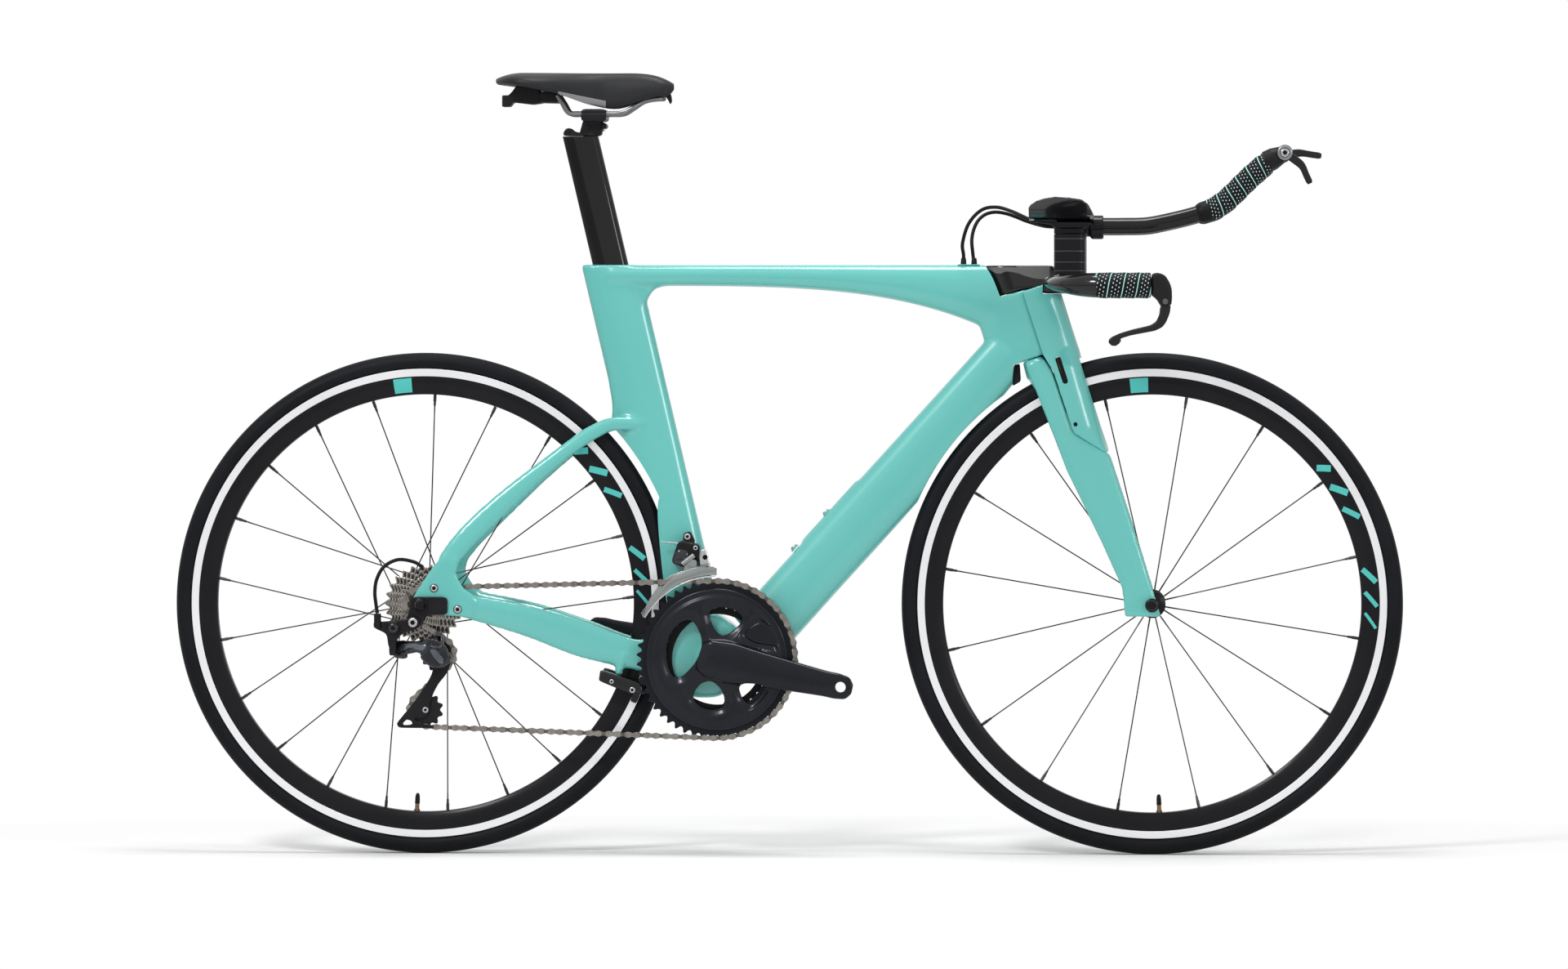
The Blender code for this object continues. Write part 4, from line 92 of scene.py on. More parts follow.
def node_group(name, inputs, outputs):
    """An empty group with its sockets: the group, what it is given, and where its results go."""
    group = bpy.data.node_groups.new(name, "ShaderNodeTree")
    for label, kind, value in inputs:
        socket = group.interface.new_socket(name=label, in_out="INPUT", socket_type="NodeSocket" + kind)
        socket.default_value = value
    for label, kind in outputs:
        group.interface.new_socket(name=label, in_out="OUTPUT", socket_type="NodeSocket" + kind)
    return group, group.nodes.new("NodeGroupInput").outputs, group.nodes.new("NodeGroupOutput").inputs


def surface_drift():
    """A group: noise on object coordinates moves a colour towards a second one and a roughness up
    and down, and a finer noise gives a height for a bump."""
    group, given, result = node_group(
        "surface_drift", (("Colour", "Color", (0.5, 0.5, 0.5, 1)), ("Second", "Color", (0.4, 0.4, 0.4, 1)),
                          ("Broad", "Float", 12.0), ("Fine", "Float", 400.0), ("Roughness", "Float", 0.4),
                          ("Spread", "Float", 0.1)),
        (("Colour", "Color"), ("Roughness", "Float"), ("Height", "Float")))
    make, calc, mix = makers(group)
    place = make("TexCoord").outputs["Object"]
    broad, fine = (make("TexNoise", place, None, given[label], detail).outputs["Fac"]
                   for label, detail in (("Broad", 4), ("Fine", 3)))
    share = make("MapRange", calc("MULTIPLY_ADD", fine, 0.5, broad), 0.5, 1.0).outputs["Result"]
    group.links.new(mix(share, given["Colour"], given["Second"]), result["Colour"])
    group.links.new(calc("MULTIPLY_ADD", calc("SUBTRACT", share, 0.5), given["Spread"], given["Roughness"]),
                    result["Roughness"])
    group.links.new(fine, result["Height"])
    return group


DRIFT = surface_drift()


def finish(name, colour, second, roughness, spread=0.1, metallic=0.0, coat=0.0, coat_roughness=0.03,
           broad=12.0, fine=900, bump=0.1, depth=0.0002, specular=0.09):
    """A Principled material whose colour, roughness and bump come from the drift group."""
    material = bpy.data.materials.new(name)
    material.use_nodes = True
    tree = material.node_tree
    shader = tree.nodes["Principled BSDF"]
    for label, value in (("Metallic", metallic), ("Coat Weight", coat), ("Coat Roughness", coat_roughness),
                         ("Specular IOR Level", specular)):
        shader.inputs[label].default_value = value
    drift = tree.nodes.new("ShaderNodeGroup")
    drift.node_tree = DRIFT
    drift.name = "drift"
    for label, value in (("Colour", (*colour, 1)), ("Second", (*second, 1)), ("Broad", broad),
                         ("Fine", fine), ("Roughness", roughness), ("Spread", spread)):
        drift.inputs[label].default_value = value
    bumps = tree.nodes.new("ShaderNodeBump")
    bumps.name = "bump"
    bumps.inputs["Strength"].default_value = bump
    bumps.inputs["Distance"].default_value = depth
    tree.links.new(drift.outputs["Colour"], shader.inputs["Base Color"])
    tree.links.new(drift.outputs["Roughness"], shader.inputs["Roughness"])
    tree.links.new(drift.outputs["Height"], bumps.inputs["Height"])
    tree.links.new(bumps.outputs["Normal"], shader.inputs["Normal"])
    return material


def wired(material):
    """The makers of a material, its drift group's outputs, and a way to feed its shader or its bump."""
    tree = material.node_tree

    def feed(label, socket):
        tree.links.new(socket, tree.nodes["bump" if label == "Height" else "Principled BSDF"].inputs[label])
    return *makers(tree), tree.nodes["drift"].outputs, feed


HOUSING_BLACK = finish("cable_housing", (0.008, 0.008, 0.009), (0.014, 0.014, 0.015), 0.38)


def unit(v):
    """Vectors divided by their lengths."""
    return v / np.linalg.norm(v, axis=-1, keepdims=True)


def full_turn(count):
    """Angles evenly spaced round a whole turn."""
    return np.linspace(0, 2 * np.pi, count, endpoint=False)


def eased(rows, count, keys=None):
    """Points on the cubic Hermite curve through the rows, whose slopes are the differences of the
    neighbouring rows; keys are the rows' parameter values, evenly spaced if not given."""
    rows = np.asarray(rows, float)
    keys = np.arange(len(rows), dtype=float) if keys is None else np.asarray(keys, float)
    at = np.linspace(keys[0], keys[-1], count)
    slope = np.gradient(rows, keys, axis=0)
    k = np.clip(np.searchsorted(keys, at, side="right") - 1, 0, len(keys) - 2)
    h = (keys[k + 1] - keys[k])[:, None]
    t = (at - keys[k])[:, None] / h
    return ((1 + 2 * t) * (1 - t) ** 2 * rows[k] + t * (1 - t) ** 2 * h * slope[k]
            + t * t * (3 - 2 * t) * rows[k + 1] + t * t * (t - 1) * h * slope[k + 1])


def distances(line):
    """How far along a line of points each of them lies."""
    return np.concatenate([[0], np.cumsum(np.linalg.norm(np.diff(line, axis=0), axis=1))])


def stations(rows, count):
    """The eased curve through rows whose first column is the parameter, a column at a time."""
    return eased(rows, count, [row[0] for row in rows]).T


def skin(rings, turn=False):
    """Quads between neighbouring points of neighbouring rings, with a flat cap on the first and last
    ring, or joined round where the rings themselves go round; u is the length along, v the share round."""
    rings = np.asarray(rings, float)
    count, sides, _ = rings.shape
    grid = np.arange(count * sides).reshape(count, sides)
    after = np.roll(grid, -1, 1)
    first, second = (grid, np.roll(grid, -1, 0)) if turn else (grid[:-1], grid[1:])
    third, fourth = (after, np.roll(after, -1, 0)) if turn else (after[:-1], after[1:])
    faces = np.stack([first, third, fourth, second], -1).reshape(-1, 4)
    run = distances(rings[:, 0] if turn else rings.mean(1))
    last = run[-1] + np.linalg.norm(rings[0, 0] - rings[-1, 0]) if turn else None
    u0, u1 = (run, np.append(run[1:], last)) if turn else (run[:-1], run[1:])
    v0 = np.arange(sides) / sides
    v1 = v0 + 1 / sides
    u0, u1, v0, v1 = (np.broadcast_to(a, (len(u0), sides)) for a in (u0[:, None], u1[:, None], v0, v1))
    uv = np.stack([np.stack([u0, v0], -1), np.stack([u0, v1], -1), np.stack([u1, v1], -1),
                   np.stack([u1, v0], -1)], -2).reshape(-1, 2)
    faces = faces.tolist()
    if not turn:
        faces += [grid[0][::-1].tolist(), grid[-1].tolist()]
        uv = np.concatenate([uv, np.repeat([[run[0], 0.0]], sides, 0),
                             np.repeat([[run[-1], 0.0]], sides, 0)])
    return rings.reshape(-1, 3), faces, uv


def gathered(shapes):
    """Several shapes as one: their points, faces and corner coordinates one after the other."""
    points, faces, uvs, start = [], [], [], 0
    for verts, quads, uv in shapes:
        points.append(verts)
        faces += [[k + start for k in face] for face in quads]
        uvs.append(uv)
        start += len(verts)
    return np.concatenate(points), faces, np.concatenate(uvs)


def piece(name, shapes, material, body=None, instead=(), crease=35.0):
    """A mesh object of one or more closed shapes, its normals turned outwards, smooth up to a crease
    angle, riding on a body and standing for the CAD nodes named."""
    points, faces, uv = gathered(shapes if isinstance(shapes, list) else [shapes])
    mesh = bpy.data.meshes.new(name)
    mesh.from_pydata(points.tolist(), [], faces)
    layer = mesh.uv_layers.new(name="along")
    layer.data.foreach_set("uv", uv.astype(np.float32).ravel())
    work = bmesh.new()
    work.from_mesh(mesh)
    bmesh.ops.recalc_face_normals(work, faces=work.faces)
    work.to_mesh(mesh)
    work.free()
    mesh.materials.append(material)
    mesh.shade_smooth()
    mesh.set_sharp_from_angle(angle=math.radians(crease))
    made = bpy.data.objects.new(name, mesh)
    bpy.context.scene.collection.objects.link(made)
    if body:
        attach(made, body)
    if instead:
        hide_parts(*instead)
    return made


def pipe(path, radius, beside=(0, 1, 0), sides=16):
    """A round tube: each point of the path plus the radius times the cosine and sine of the turn along
    two directions square to the path."""
    path = np.asarray(path, float)
    way = unit(np.gradient(path, axis=0))
    one = unit(np.cross(way, beside))
    two = np.cross(one, way)
    turn = np.arange(sides) * 2 * np.pi / sides
    reach = np.broadcast_to(radius, len(path))[:, None, None]
    return skin(path[:, None] + reach * (np.cos(turn)[:, None] * one[:, None] + np.sin(turn)[:, None]
                                         * two[:, None]))


SIDES = ((-1, "right"), (1, "left"))
LOOP_RIGHT = ((0.3585, -0.062, 0.8412), (0.342, -0.0615, 0.8425), (0.321, -0.058, 0.8515),
              (0.3, -0.051, 0.861), (0.28, -0.041, 0.8665), (0.26, -0.031, 0.863),
              (0.2425, -0.022, 0.845), (0.234, -0.013, 0.819), (0.2351, -0.0045, 0.8029),
              (0.2351, -0.0045, 0.7909))
LOOP_LEFT = ((0.3585, 0.062, 0.8412), (0.342, 0.0615, 0.8425), (0.32, 0.059, 0.8486),
             (0.305, 0.055, 0.8545), (0.291, 0.049, 0.8592), (0.2764, 0.041, 0.861),
             (0.264, 0.0325, 0.858), (0.2545, 0.024, 0.85), (0.2485, 0.0165, 0.838),
             (0.2458, 0.01, 0.823), (0.2472, 0.006, 0.806), (0.2491, 0.0045, 0.7909))
for word, points, node in (("right", LOOP_RIGHT, "cable_loop_a"), ("left", LOOP_LEFT, "cable_loop_b")):
    route = eased(points, 90)
    loop = piece("cable_loop_" + word, pipe(route, HOUSING, sides=12), HOUSING_BLACK, instead=[node])
    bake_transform(loop)
REAR_LOOP = ((-0.4848, -0.07, 0.386), (-0.4973, -0.0715, 0.3935), (-0.5178, -0.0755, 0.3965),
             (-0.5358, -0.08, 0.3875), (-0.5453, -0.0835, 0.371), (-0.5478, -0.0855, 0.3535),
             (-0.5463, -0.0859, 0.338), (-0.5444, -0.0859, 0.3254))
route = eased(REAR_LOOP, 80)
loop = piece("shift_cable_loop", pipe(route, HOUSING, sides=12), HOUSING_BLACK, "frame_body",
             ["shift_cable_rear"])

# Frame: one carbon moulding of aerofoil tubes, lacquered turquoise under a clear coat.
# The tubes are swept sections, melted together at a fine voxel size so that the joints are filleted.
REAR_AXLE = np.array((-0.4878, 0.0, 0.336))
FRONT_AXLE = np.array((0.4878, 0.0, 0.336))
BRACKET = np.array((-0.0936, 0.0, 0.2625))
TOP_LINE, HEAD_LOW, HEAD_HIGH = 0.79, 0.3615, 0.4535
HEAD_ANGLE, SEAT_ANGLE = 72, 76.8
SEAT_TUBE_REAR, SEAT_TUBE_FRONT = -0.0386, 0.0366
# The radii of the spaces kept free for the tyres.
FRONT_ROOM, REAR_ROOM = 0.3428, 0.346


def leaning(degrees):
    """The way up and back along a tube at an angle to the ground, and the way forward square to it."""
    c, s = math.cos(math.radians(degrees)), math.sin(math.radians(degrees))
    return np.array((-c, 0.0, s)), np.array((s, 0.0, c))


STEER_UP, STEER_FORWARD = leaning(HEAD_ANGLE)
SEAT_UP, SEAT_FORWARD = leaning(SEAT_ANGLE)
STEER_FOOT = FRONT_AXLE - 0.043 * STEER_FORWARD
SEAT_FOOT = BRACKET - np.array((0.0215, 0, 0))
SIDEWAYS = np.array((0.0, 1.0, 0.0))
VOXEL = 0.0024

lacquer = finish("turquoise_lacquer", (0.11, 0.48, 0.44), (0.102, 0.46, 0.422), 0.3, spread=0.05, coat=0.75,
                 coat_roughness=0.15, broad=5, fine=220, bump=0.02, depth=0.0002, specular=0.4)


def rod(middle, along, radius, sides=24, way=SIDEWAYS):
    """A straight round body: distances from a point along a way, and the radius at each of them."""
    return pipe(middle + way * np.asarray(along, float)[:, None], radius, (1, 0, 0), sides)


def steer(along, forward, side=0.0):
    """Points given along the steering axis, in front of it and to its left."""
    along, forward, side = (np.asarray(a, float)[..., None] for a in (along, forward, side))
    return STEER_FOOT + STEER_UP * along + STEER_FORWARD * forward + SIDEWAYS * side


def seat_at(height, offset):
    """Points on lines parallel to the seat tube's axis, at a height."""
    height, offset = np.asarray(height, float), np.asarray(offset, float)
    along = (height - SEAT_FOOT[2] - SEAT_FORWARD[2] * offset) / SEAT_UP[2]
    return SEAT_FOOT + SEAT_UP * along[..., None] + SEAT_FORWARD * offset[..., None]


def sections(first, last, width, side=0.0, sides=40, power=0.8):
    """Superellipse rings between two rows of edge points: half the chord times the cosine of the turn
    to a power, and half the width times its sine to the same power."""
    first, last = np.asarray(first, float), np.asarray(last, float)
    count = len(first)
    width, side, power = (np.broadcast_to(np.asarray(a, float), (count,))[:, None, None]
                          for a in (width, side, power))
    turn = np.arange(sides) * 2 * np.pi / sides
    c, s = (np.sign(f) * np.abs(f) ** power for f in (np.cos(turn)[:, None], np.sin(turn)[:, None]))
    middle, half = (first + last)[:, None] / 2, (last - first)[:, None] / 2
    return middle + half * c + SIDEWAYS * (side + width / 2 * s)


def seat_tube_shape():
    """An aerofoil tube of one chord that widens towards the bracket."""
    rows = [(0.7902, 0.031), (0.7, 0.031), (0.6025, 0.031), (0.5, 0.0335), (0.4025, 0.038), (0.2925, 0.05)]
    rows = eased(rows, 40, [-height for height, _ in rows])
    rear, front = (seat_at(rows[:, 0], offset) for offset in (SEAT_TUBE_REAR, SEAT_TUBE_FRONT))
    return skin(sections(rear, front, rows[:, 1], power=0.78))


def top_tube_shape():
    """Flat along the top; the underside drops with the fourth power of the way forward."""
    share = np.linspace(0, 1, 50)
    rear, front = seat_at(TOP_LINE, 0.0)[0], steer(HEAD_HIGH, -0.0125)[0]
    x = rear + (front - rear) * share
    depth = 0.0284 + 0.057 * (share * 1.06) ** 4
    upper = np.stack([x, 0 * x, 0 * x + TOP_LINE], -1)
    return skin(sections(upper, upper - np.stack([0 * x, 0 * x, depth], -1), 0.036 * (1 + 0.14 * share),
                         power=0.72))


DOWN_HEAD = steer(0.4016, -0.0657)
DOWN_FOOT = BRACKET + np.array((0.0205, 0, 0.0545))
DOWN_WAY = unit(DOWN_FOOT - DOWN_HEAD)


def down_tube_shape():
    """Straight upper edge; the depth and width grow towards the bracket."""
    share, depth, width = stations([(-0.03, 0.86, 0.97), (0.12, 0.9, 1.0), (0.35, 1.0, 1.03),
                                    (0.8, 1.03, 1.12), (1.0, 1.04, 1.25)], 50)
    upper = DOWN_HEAD + (DOWN_FOOT - DOWN_HEAD) * share[:, None]
    below = np.array((-DOWN_WAY[2], 0, DOWN_WAY[0]))
    return skin(sections(upper, upper + below * 0.077 * depth[:, None], 0.043 * width, power=0.74))


def head_tube_shape():
    """Round in front about the steering axis, then straight flanks that close in towards the rear."""
    turn = np.linspace(-np.pi / 2, np.pi / 2, 25)
    flank = [(-0.015, 0.0218), (-0.03, 0.0208), (-0.045, 0.0175), (-0.057, 0.0135), (-0.062, 0.008)]
    behind = np.array(flank + [(forward, -side) for forward, side in reversed(flank)])
    forward = np.concatenate([0.022 * np.cos(turn), behind[:, 0]])
    side = np.concatenate([0.022 * np.sin(turn), behind[:, 1]])
    return skin([steer(0 * forward + along, forward, side)
                 for along in np.linspace(HEAD_LOW, HEAD_HIGH, 8)])


def at_side(flat, side):
    """Points of the bike's plane as points in space at a side."""
    return np.stack([flat[:, 0], np.broadcast_to(side, len(flat)), flat[:, 1]], -1)


def slab(outline, near_side, far_side, bevel=0.0, inset=None):
    """A flat closed outline in the bike's plane given a thickness, its rims stepped in by the bevel:
    each point moves in along the mean of its two edges' normals."""
    flat = np.asarray(outline, float)
    way = unit(np.roll(flat, -1, 0) - np.roll(flat, 1, 0))
    area = np.sum(flat[:, 0] * np.roll(flat[:, 1], -1) - np.roll(flat[:, 0], -1) * flat[:, 1])
    normal = np.stack([-way[:, 1], way[:, 0]], -1) * np.sign(area)
    steps = [(0, 1), (0.3, 0.3), (1, 0), (-1, 0), (-0.3, 0.3), (0, 1)] if bevel else [(0, 0), (1, 0)]
    rings = []
    for k, (deep, pull) in enumerate(steps):
        if bevel:
            side = near_side + bevel * deep if k < 3 else far_side + bevel * deep
        else:
            side = near_side if k == 0 else far_side
        moved = flat + normal * pull * (bevel if inset is None else inset)
        rings.append(at_side(moved, side))
    return skin(rings)


def about(datum, *points):
    """Outline points given forward of and above a datum."""
    return np.asarray(points, float) + np.asarray(datum)[[0, 2]]


def rounded(outline, count=8, share=0.35):
    """The outline with its corners cut back by a share of each edge and replaced by parabolas."""
    flat = np.asarray(outline, float)
    before, after = np.roll(flat, 1, 0), np.roll(flat, -1, 0)
    start, end = flat + (before - flat) * share, flat + (after - flat) * share
    t = np.linspace(0, 1, count)[None, :, None]
    return ((1 - t) ** 2 * start[:, None] + 2 * t * (1 - t) * flat[:, None]
            + t ** 2 * end[:, None]).reshape(-1, 2)


def stay_shape(start, end, table, sign, count=60):
    """A stay along a bowed line: share, bow, depth, thickness and side at each station."""
    share, bow, depth, thickness, side = stations(table, count)
    way = unit(end - start)
    above = np.array((-way[2], 0, way[0]))
    line = start + (end - start) * share[:, None] + above * bow[:, None]
    way = unit(np.gradient(line, axis=0))
    normal = np.stack([-way[:, 2], 0 * share, way[:, 0]], -1) * depth[:, None] / 2
    return skin(sections(line + normal, line - normal, thickness, sign * side, sides=28, power=0.8))


STAY_ROOT = seat_at(TOP_LINE - 0.211, SEAT_TUBE_REAR) + np.array((0.014, 0, 0))
SEAT_STAY = [(0.0, 0.0, 0.028, 0.0095, 0.068), (0.1, 0.008, 0.03, 0.01, 0.0645),
             (0.26, 0.0143, 0.031, 0.0105, 0.0565), (0.46, 0.0187, 0.0265, 0.011, 0.0465),
             (0.6, 0.02, 0.0225, 0.0115, 0.039), (0.735, 0.0201, 0.0208, 0.012, 0.0318),
             (0.866, 0.0173, 0.0208, 0.012, 0.0232), (0.94, 0.0109, 0.0193, 0.012, 0.0195),
             (0.984, 0.0015, 0.0185, 0.0105, 0.0175), (1.0115, -0.0059, 0.015, 0.008, 0.0163),
             (1.046, -0.0125, 0.0045, 0.0035, 0.015)]
CHAIN_STAY = [(0.0, 0.0, 0.033, 0.0095, 0.068), (0.3, -0.0005, 0.043, 0.013, 0.05),
              (0.54, -0.0075, 0.048, 0.014, 0.037), (0.74, -0.01, 0.042, 0.014, 0.028),
              (1.0, 0.0, 0.056, 0.014, 0.024)]
BLOCK = about(BRACKET, (-0.05, 0.062), (-0.004, 0.064), (0.028, 0.04), (0.046, -0.006), (0.03, -0.033),
              (0.0, -0.0525), (-0.036, -0.0525), (-0.066, -0.04), (-0.098, -0.012), (-0.104, 0.026),
              (-0.078, 0.042))
DROPOUT = about(REAR_AXLE, (0.016, 0.0525), (0.03, 0.066), (0.052, 0.062), (0.047, 0.04), (0.058, 0.0215),
                (0.072, 0.0135), (0.07, -0.018), (0.037, -0.0148), (0.0, -0.012), (-0.012, -0.008),
                (-0.0135, 0.004), (-0.0098, 0.0135))
shapes = [seat_tube_shape(), top_tube_shape(), down_tube_shape(), head_tube_shape(),
          slab(rounded(BLOCK), -0.031, 0.031, 0.007),
          slab([(-0.196, 0.728), (-0.1875, 0.7473), (-0.18, 0.7575), (-0.168, 0.761), (-0.15, 0.7625),
                (-0.15, 0.775), (-0.21, 0.775)], -0.0105, 0.0105, 0.003),
          slab([(-0.2424, 0.639), (-0.2393, 0.6193), (-0.2374, 0.6083), (-0.2367, 0.5974),
                (-0.2374, 0.5875), (-0.238, 0.5645), (-0.2084, 0.5316), (-0.192, 0.5316), (-0.2205, 0.639)],
               -0.0085, 0.0085, 0.003)]
shapes.append(rod(BRACKET, np.linspace(-0.04325, 0.04325, 9), 0.0245, 64))
LAND = DOWN_HEAD + (DOWN_FOOT - DOWN_HEAD) * 0.612
DOWN_UP = np.array((DOWN_WAY[2], 0, -DOWN_WAY[0]))
run = LAND + DOWN_WAY * np.linspace(-0.055, 0.055, 12)[:, None]
shapes.append(skin(sections(run + DOWN_UP * 0.0022, run - DOWN_UP * 0.004, 0.014, power=0.4)))
BRAKE_WAY = np.array((math.sin(math.radians(18.3)), 0, math.cos(math.radians(18.3))))
BRAKE_SLOPE = np.array((BRAKE_WAY[2], 0, -BRAKE_WAY[0]))
BRAKE_TOP = BRACKET + (-0.1344, 0, -0.0215)
for side in (-0.033, 0.033):
    shapes.append(pipe(BRAKE_TOP + SIDEWAYS * side + BRAKE_WAY * np.linspace(0.0003, 0.03, 6)[:, None],
                       0.0055, (0, 1, 0), 32))
for sign in (-1, 1):
    shapes.append(stay_shape(REAR_AXLE + (0.034, 0, 0.056), STAY_ROOT, SEAT_STAY, sign))
    shapes.append(stay_shape(REAR_AXLE + (0.058, 0, -0.001), BRACKET + (-0.04, 0, -0.002), CHAIN_STAY,
                             sign))
    shapes.append(slab(rounded(DROPOUT, 5, 0.3), *sorted((sign * 0.0653, sign * 0.0723)), 0.0012))


def melted(made, voxel, rounds):
    """Remesh a piece at a voxel size and smooth it for a number of rounds, for good."""
    remesh = made.modifiers.new("melt", "REMESH")
    remesh.mode, remesh.voxel_size = "VOXEL", voxel
    smooth = made.modifiers.new("smooth", "SMOOTH")
    smooth.factor, smooth.iterations = 0.5, rounds
    return settled(made)


def settled(made):
    """Apply a piece's modifiers to its mesh."""
    bpy.context.view_layer.update()
    mesh = bpy.data.meshes.new_from_object(made.evaluated_get(bpy.context.evaluated_depsgraph_get()))
    made.modifiers.clear()
    made.data = mesh
    return made


def carve(made, shapes, crease=40.0):
    """Cut closed shapes out of a piece."""
    tool = piece("tool", shapes, made.data.materials[0])
    cut = made.modifiers.new("cut", "BOOLEAN")
    cut.operation, cut.solver, cut.object = "DIFFERENCE", "EXACT", tool
    settled(made)
    bpy.data.objects.remove(tool)
    made.data.shade_smooth()
    made.data.set_sharp_from_angle(angle=math.radians(crease))
    return made


frame_body = melted(piece("frame_moulding", shapes, lacquer), VOXEL, 16)


def drum(middle, radius, half, sides=160):
    """A round cutter about a point, with half its width to each side."""
    return rod(middle, (-half, half), radius, sides)


socket_line = SEAT_FOOT + SEAT_UP * np.array(((0.345,), (0.6,)))
socket = sections(socket_line - SEAT_FORWARD * 0.0238, socket_line + SEAT_FORWARD * 0.0238, 0.0241)
carve(frame_body, [drum(REAR_AXLE, REAR_ROOM, 0.017)], 66)
carve(frame_body, [drum(FRONT_AXLE, FRONT_ROOM, 0.06)])
carve(frame_body, [slab([(0.3022, 0.6556), (0.32, 0.6614), (0.32, 0.62), (0.3, 0.62)], -0.03, 0.03)])
carve(frame_body, [skin(socket), pipe(steer(np.array((0.4536, 0.56)), 0), 0.0313, sides=64)])
carve(frame_body, [pipe(steer(np.array((0.3, 0.3614)), 0), 0.0335, sides=64)])
carve(frame_body, [pipe(steer(np.array((0.29, 0.5)), 0), 0.0193, sides=48)])
carve(frame_body, [drum(BRACKET, 0.0208, 0.07, 64)], 66)
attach(frame_body, "frame_body")
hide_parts("frame")

# Fork: one carbon moulding in the frame's lacquer, with a black carbon steerer through the head tube.
# Crown and blades are swept sections melted together; the tyre's space and the axle's holes are cut out.
FIT, COVER_FRONT, COVER_SEAM, COVER_WALL = 0.0003, 0.0555, 0.0072, 0.0026
# A blade's stations: the way along the steering axis, rear edge, front edge, side and width.
BLADE = [(0.357, -0.02, 0.0072, 0.0215, 0.015), (0.338, -0.019, 0.0128, 0.023, 0.0145),
         (0.325, -0.0175, 0.0134, 0.024, 0.014), (0.252, -0.013, 0.0134, 0.03, 0.0135),
         (0.241, -0.0125, 0.022, 0.0312, 0.0134), (0.21, -0.0111, 0.0494, 0.034, 0.013),
         (0.206, -0.011, 0.0516, 0.0342, 0.013),
         (0.1, 0.004, 0.052, 0.0455, 0.0115), (0.035, 0.011, 0.0512, 0.052, 0.009)]


def blade_shape(sign):
    """A fork blade from the crown to its flat tip, which stops level above the ground."""
    keys = [-row[0] for row in BLADE]
    at = np.linspace(keys[0], keys[-1], 70)
    along, rear, front, side, width = (np.interp(at, keys, column) for column in np.asarray(BLADE).T)
    first, last = steer(along, rear), steer(along, front)
    tip = np.array([[0.0369, 0.0124, 0.0542, 0.0078]])
    foot = FRONT_AXLE[2] - 0.0155
    first = np.concatenate([first, steer(0.016, 0.008)[None], [[FRONT_AXLE[0] - tip[0, 0], 0, foot]]])
    last = np.concatenate([last, steer(0.016, 0.0508)[None], [[FRONT_AXLE[0] + tip[0, 1], 0, foot]]])
    side, width = (np.append(a, [b, b]) for a, b in ((side, tip[0, 2]), (width, tip[0, 3])))
    power = np.append(np.full(70, 0.72), [0.45, 0.35])
    return skin(sections(first, last, width, sign * side, sides=36, power=power))


def crown_shape():
    """The crown, from the head tube's foot down to between the blades."""
    rows = eased([(HEAD_LOW - FIT, -0.022, 0.0066, 0.052), (0.338, -0.0232, 0.0128, 0.058),
                  (0.318, -0.0175, 0.013, 0.06)], 16)
    return skin(sections(steer(rows[:, 0], rows[:, 1]), steer(rows[:, 0], rows[:, 2]), rows[:, 3],
                         power=0.7))


fork_body = melted(piece("fork_moulding", [crown_shape(), blade_shape(-1), blade_shape(1)], lacquer),
                   0.0019, 18)
carve(fork_body, [drum(FRONT_AXLE, FRONT_ROOM, 0.017)], 66)
carve(fork_body, [drum(FRONT_AXLE, 0.003, 0.07, 32)])
carve(fork_body, [skin(sections(steer(np.array((HEAD_LOW - FIT, 0.4)), -0.06),
                                steer(np.array((HEAD_LOW - FIT, 0.4)), 0.06), 0.12, power=0.5))], 66)
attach(fork_body, "steering")
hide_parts("fork")
carbon = finish("bare_carbon", (0.01, 0.01, 0.011), (0.02, 0.02, 0.021), 0.42, fine=800)
piece("steerer_tube", pipe(steer(np.array((0.35, 0.4718)), 0), 0.0143, sides=64), carbon, "steering")

# Headset bearings: steel cartridges in the head tube's ends, with a raised lip on each face.
# The lower one sits over the fork's crown, and the upper one under the bar's column.
bearing_steel = finish("bearing_steel", (0.38, 0.38, 0.39), (0.3, 0.3, 0.31), 0.28, metallic=1.0, fine=1500,
                       bump=0.06)
for word, low, high in (("lower", HEAD_LOW + 0.001, HEAD_LOW + 0.012),
                        ("upper", HEAD_HIGH - 0.012, HEAD_HIGH - 0.001)):
    face = [(0.0146, 0.0006), (0.015, 0.0), (0.0158, 0.0), (0.016, 0.0006), (0.0174, 0.0006), (0.0176, 0.0),
            (0.0184, 0.0), (0.019, 0.0006)]
    radius, along = np.array([(r, low + a) for r, a in face] + [(r, high - a) for r, a in reversed(face)]).T
    turn = full_turn(96)[:, None]
    piece("headset_cartridge_" + word,
          skin(steer(along + 0 * turn, radius * np.cos(turn), radius * np.sin(turn)), turn=True),
          bearing_steel, "frame_body", ["headset_bearing_" + word])

# Fork cover: a thin lacquered shell bolted over the head tube, with a leg in front of each blade.
# A slot low on each flank lets the brake cable's adjuster be reached; its rear edges end in a fine seam.
# The cover's stations: the way along the steering axis, rear edge, fall of the front, and half width.
COVER = [(HEAD_HIGH - 0.002, COVER_SEAM, 0.0, 0.0256), (HEAD_LOW, COVER_SEAM, 0.0, 0.0262),
         (0.338, 0.0134, 0.0004, 0.031), (0.25, 0.0138, 0.0024, 0.035), (0.212, 0.046, 0.004, 0.0365)]


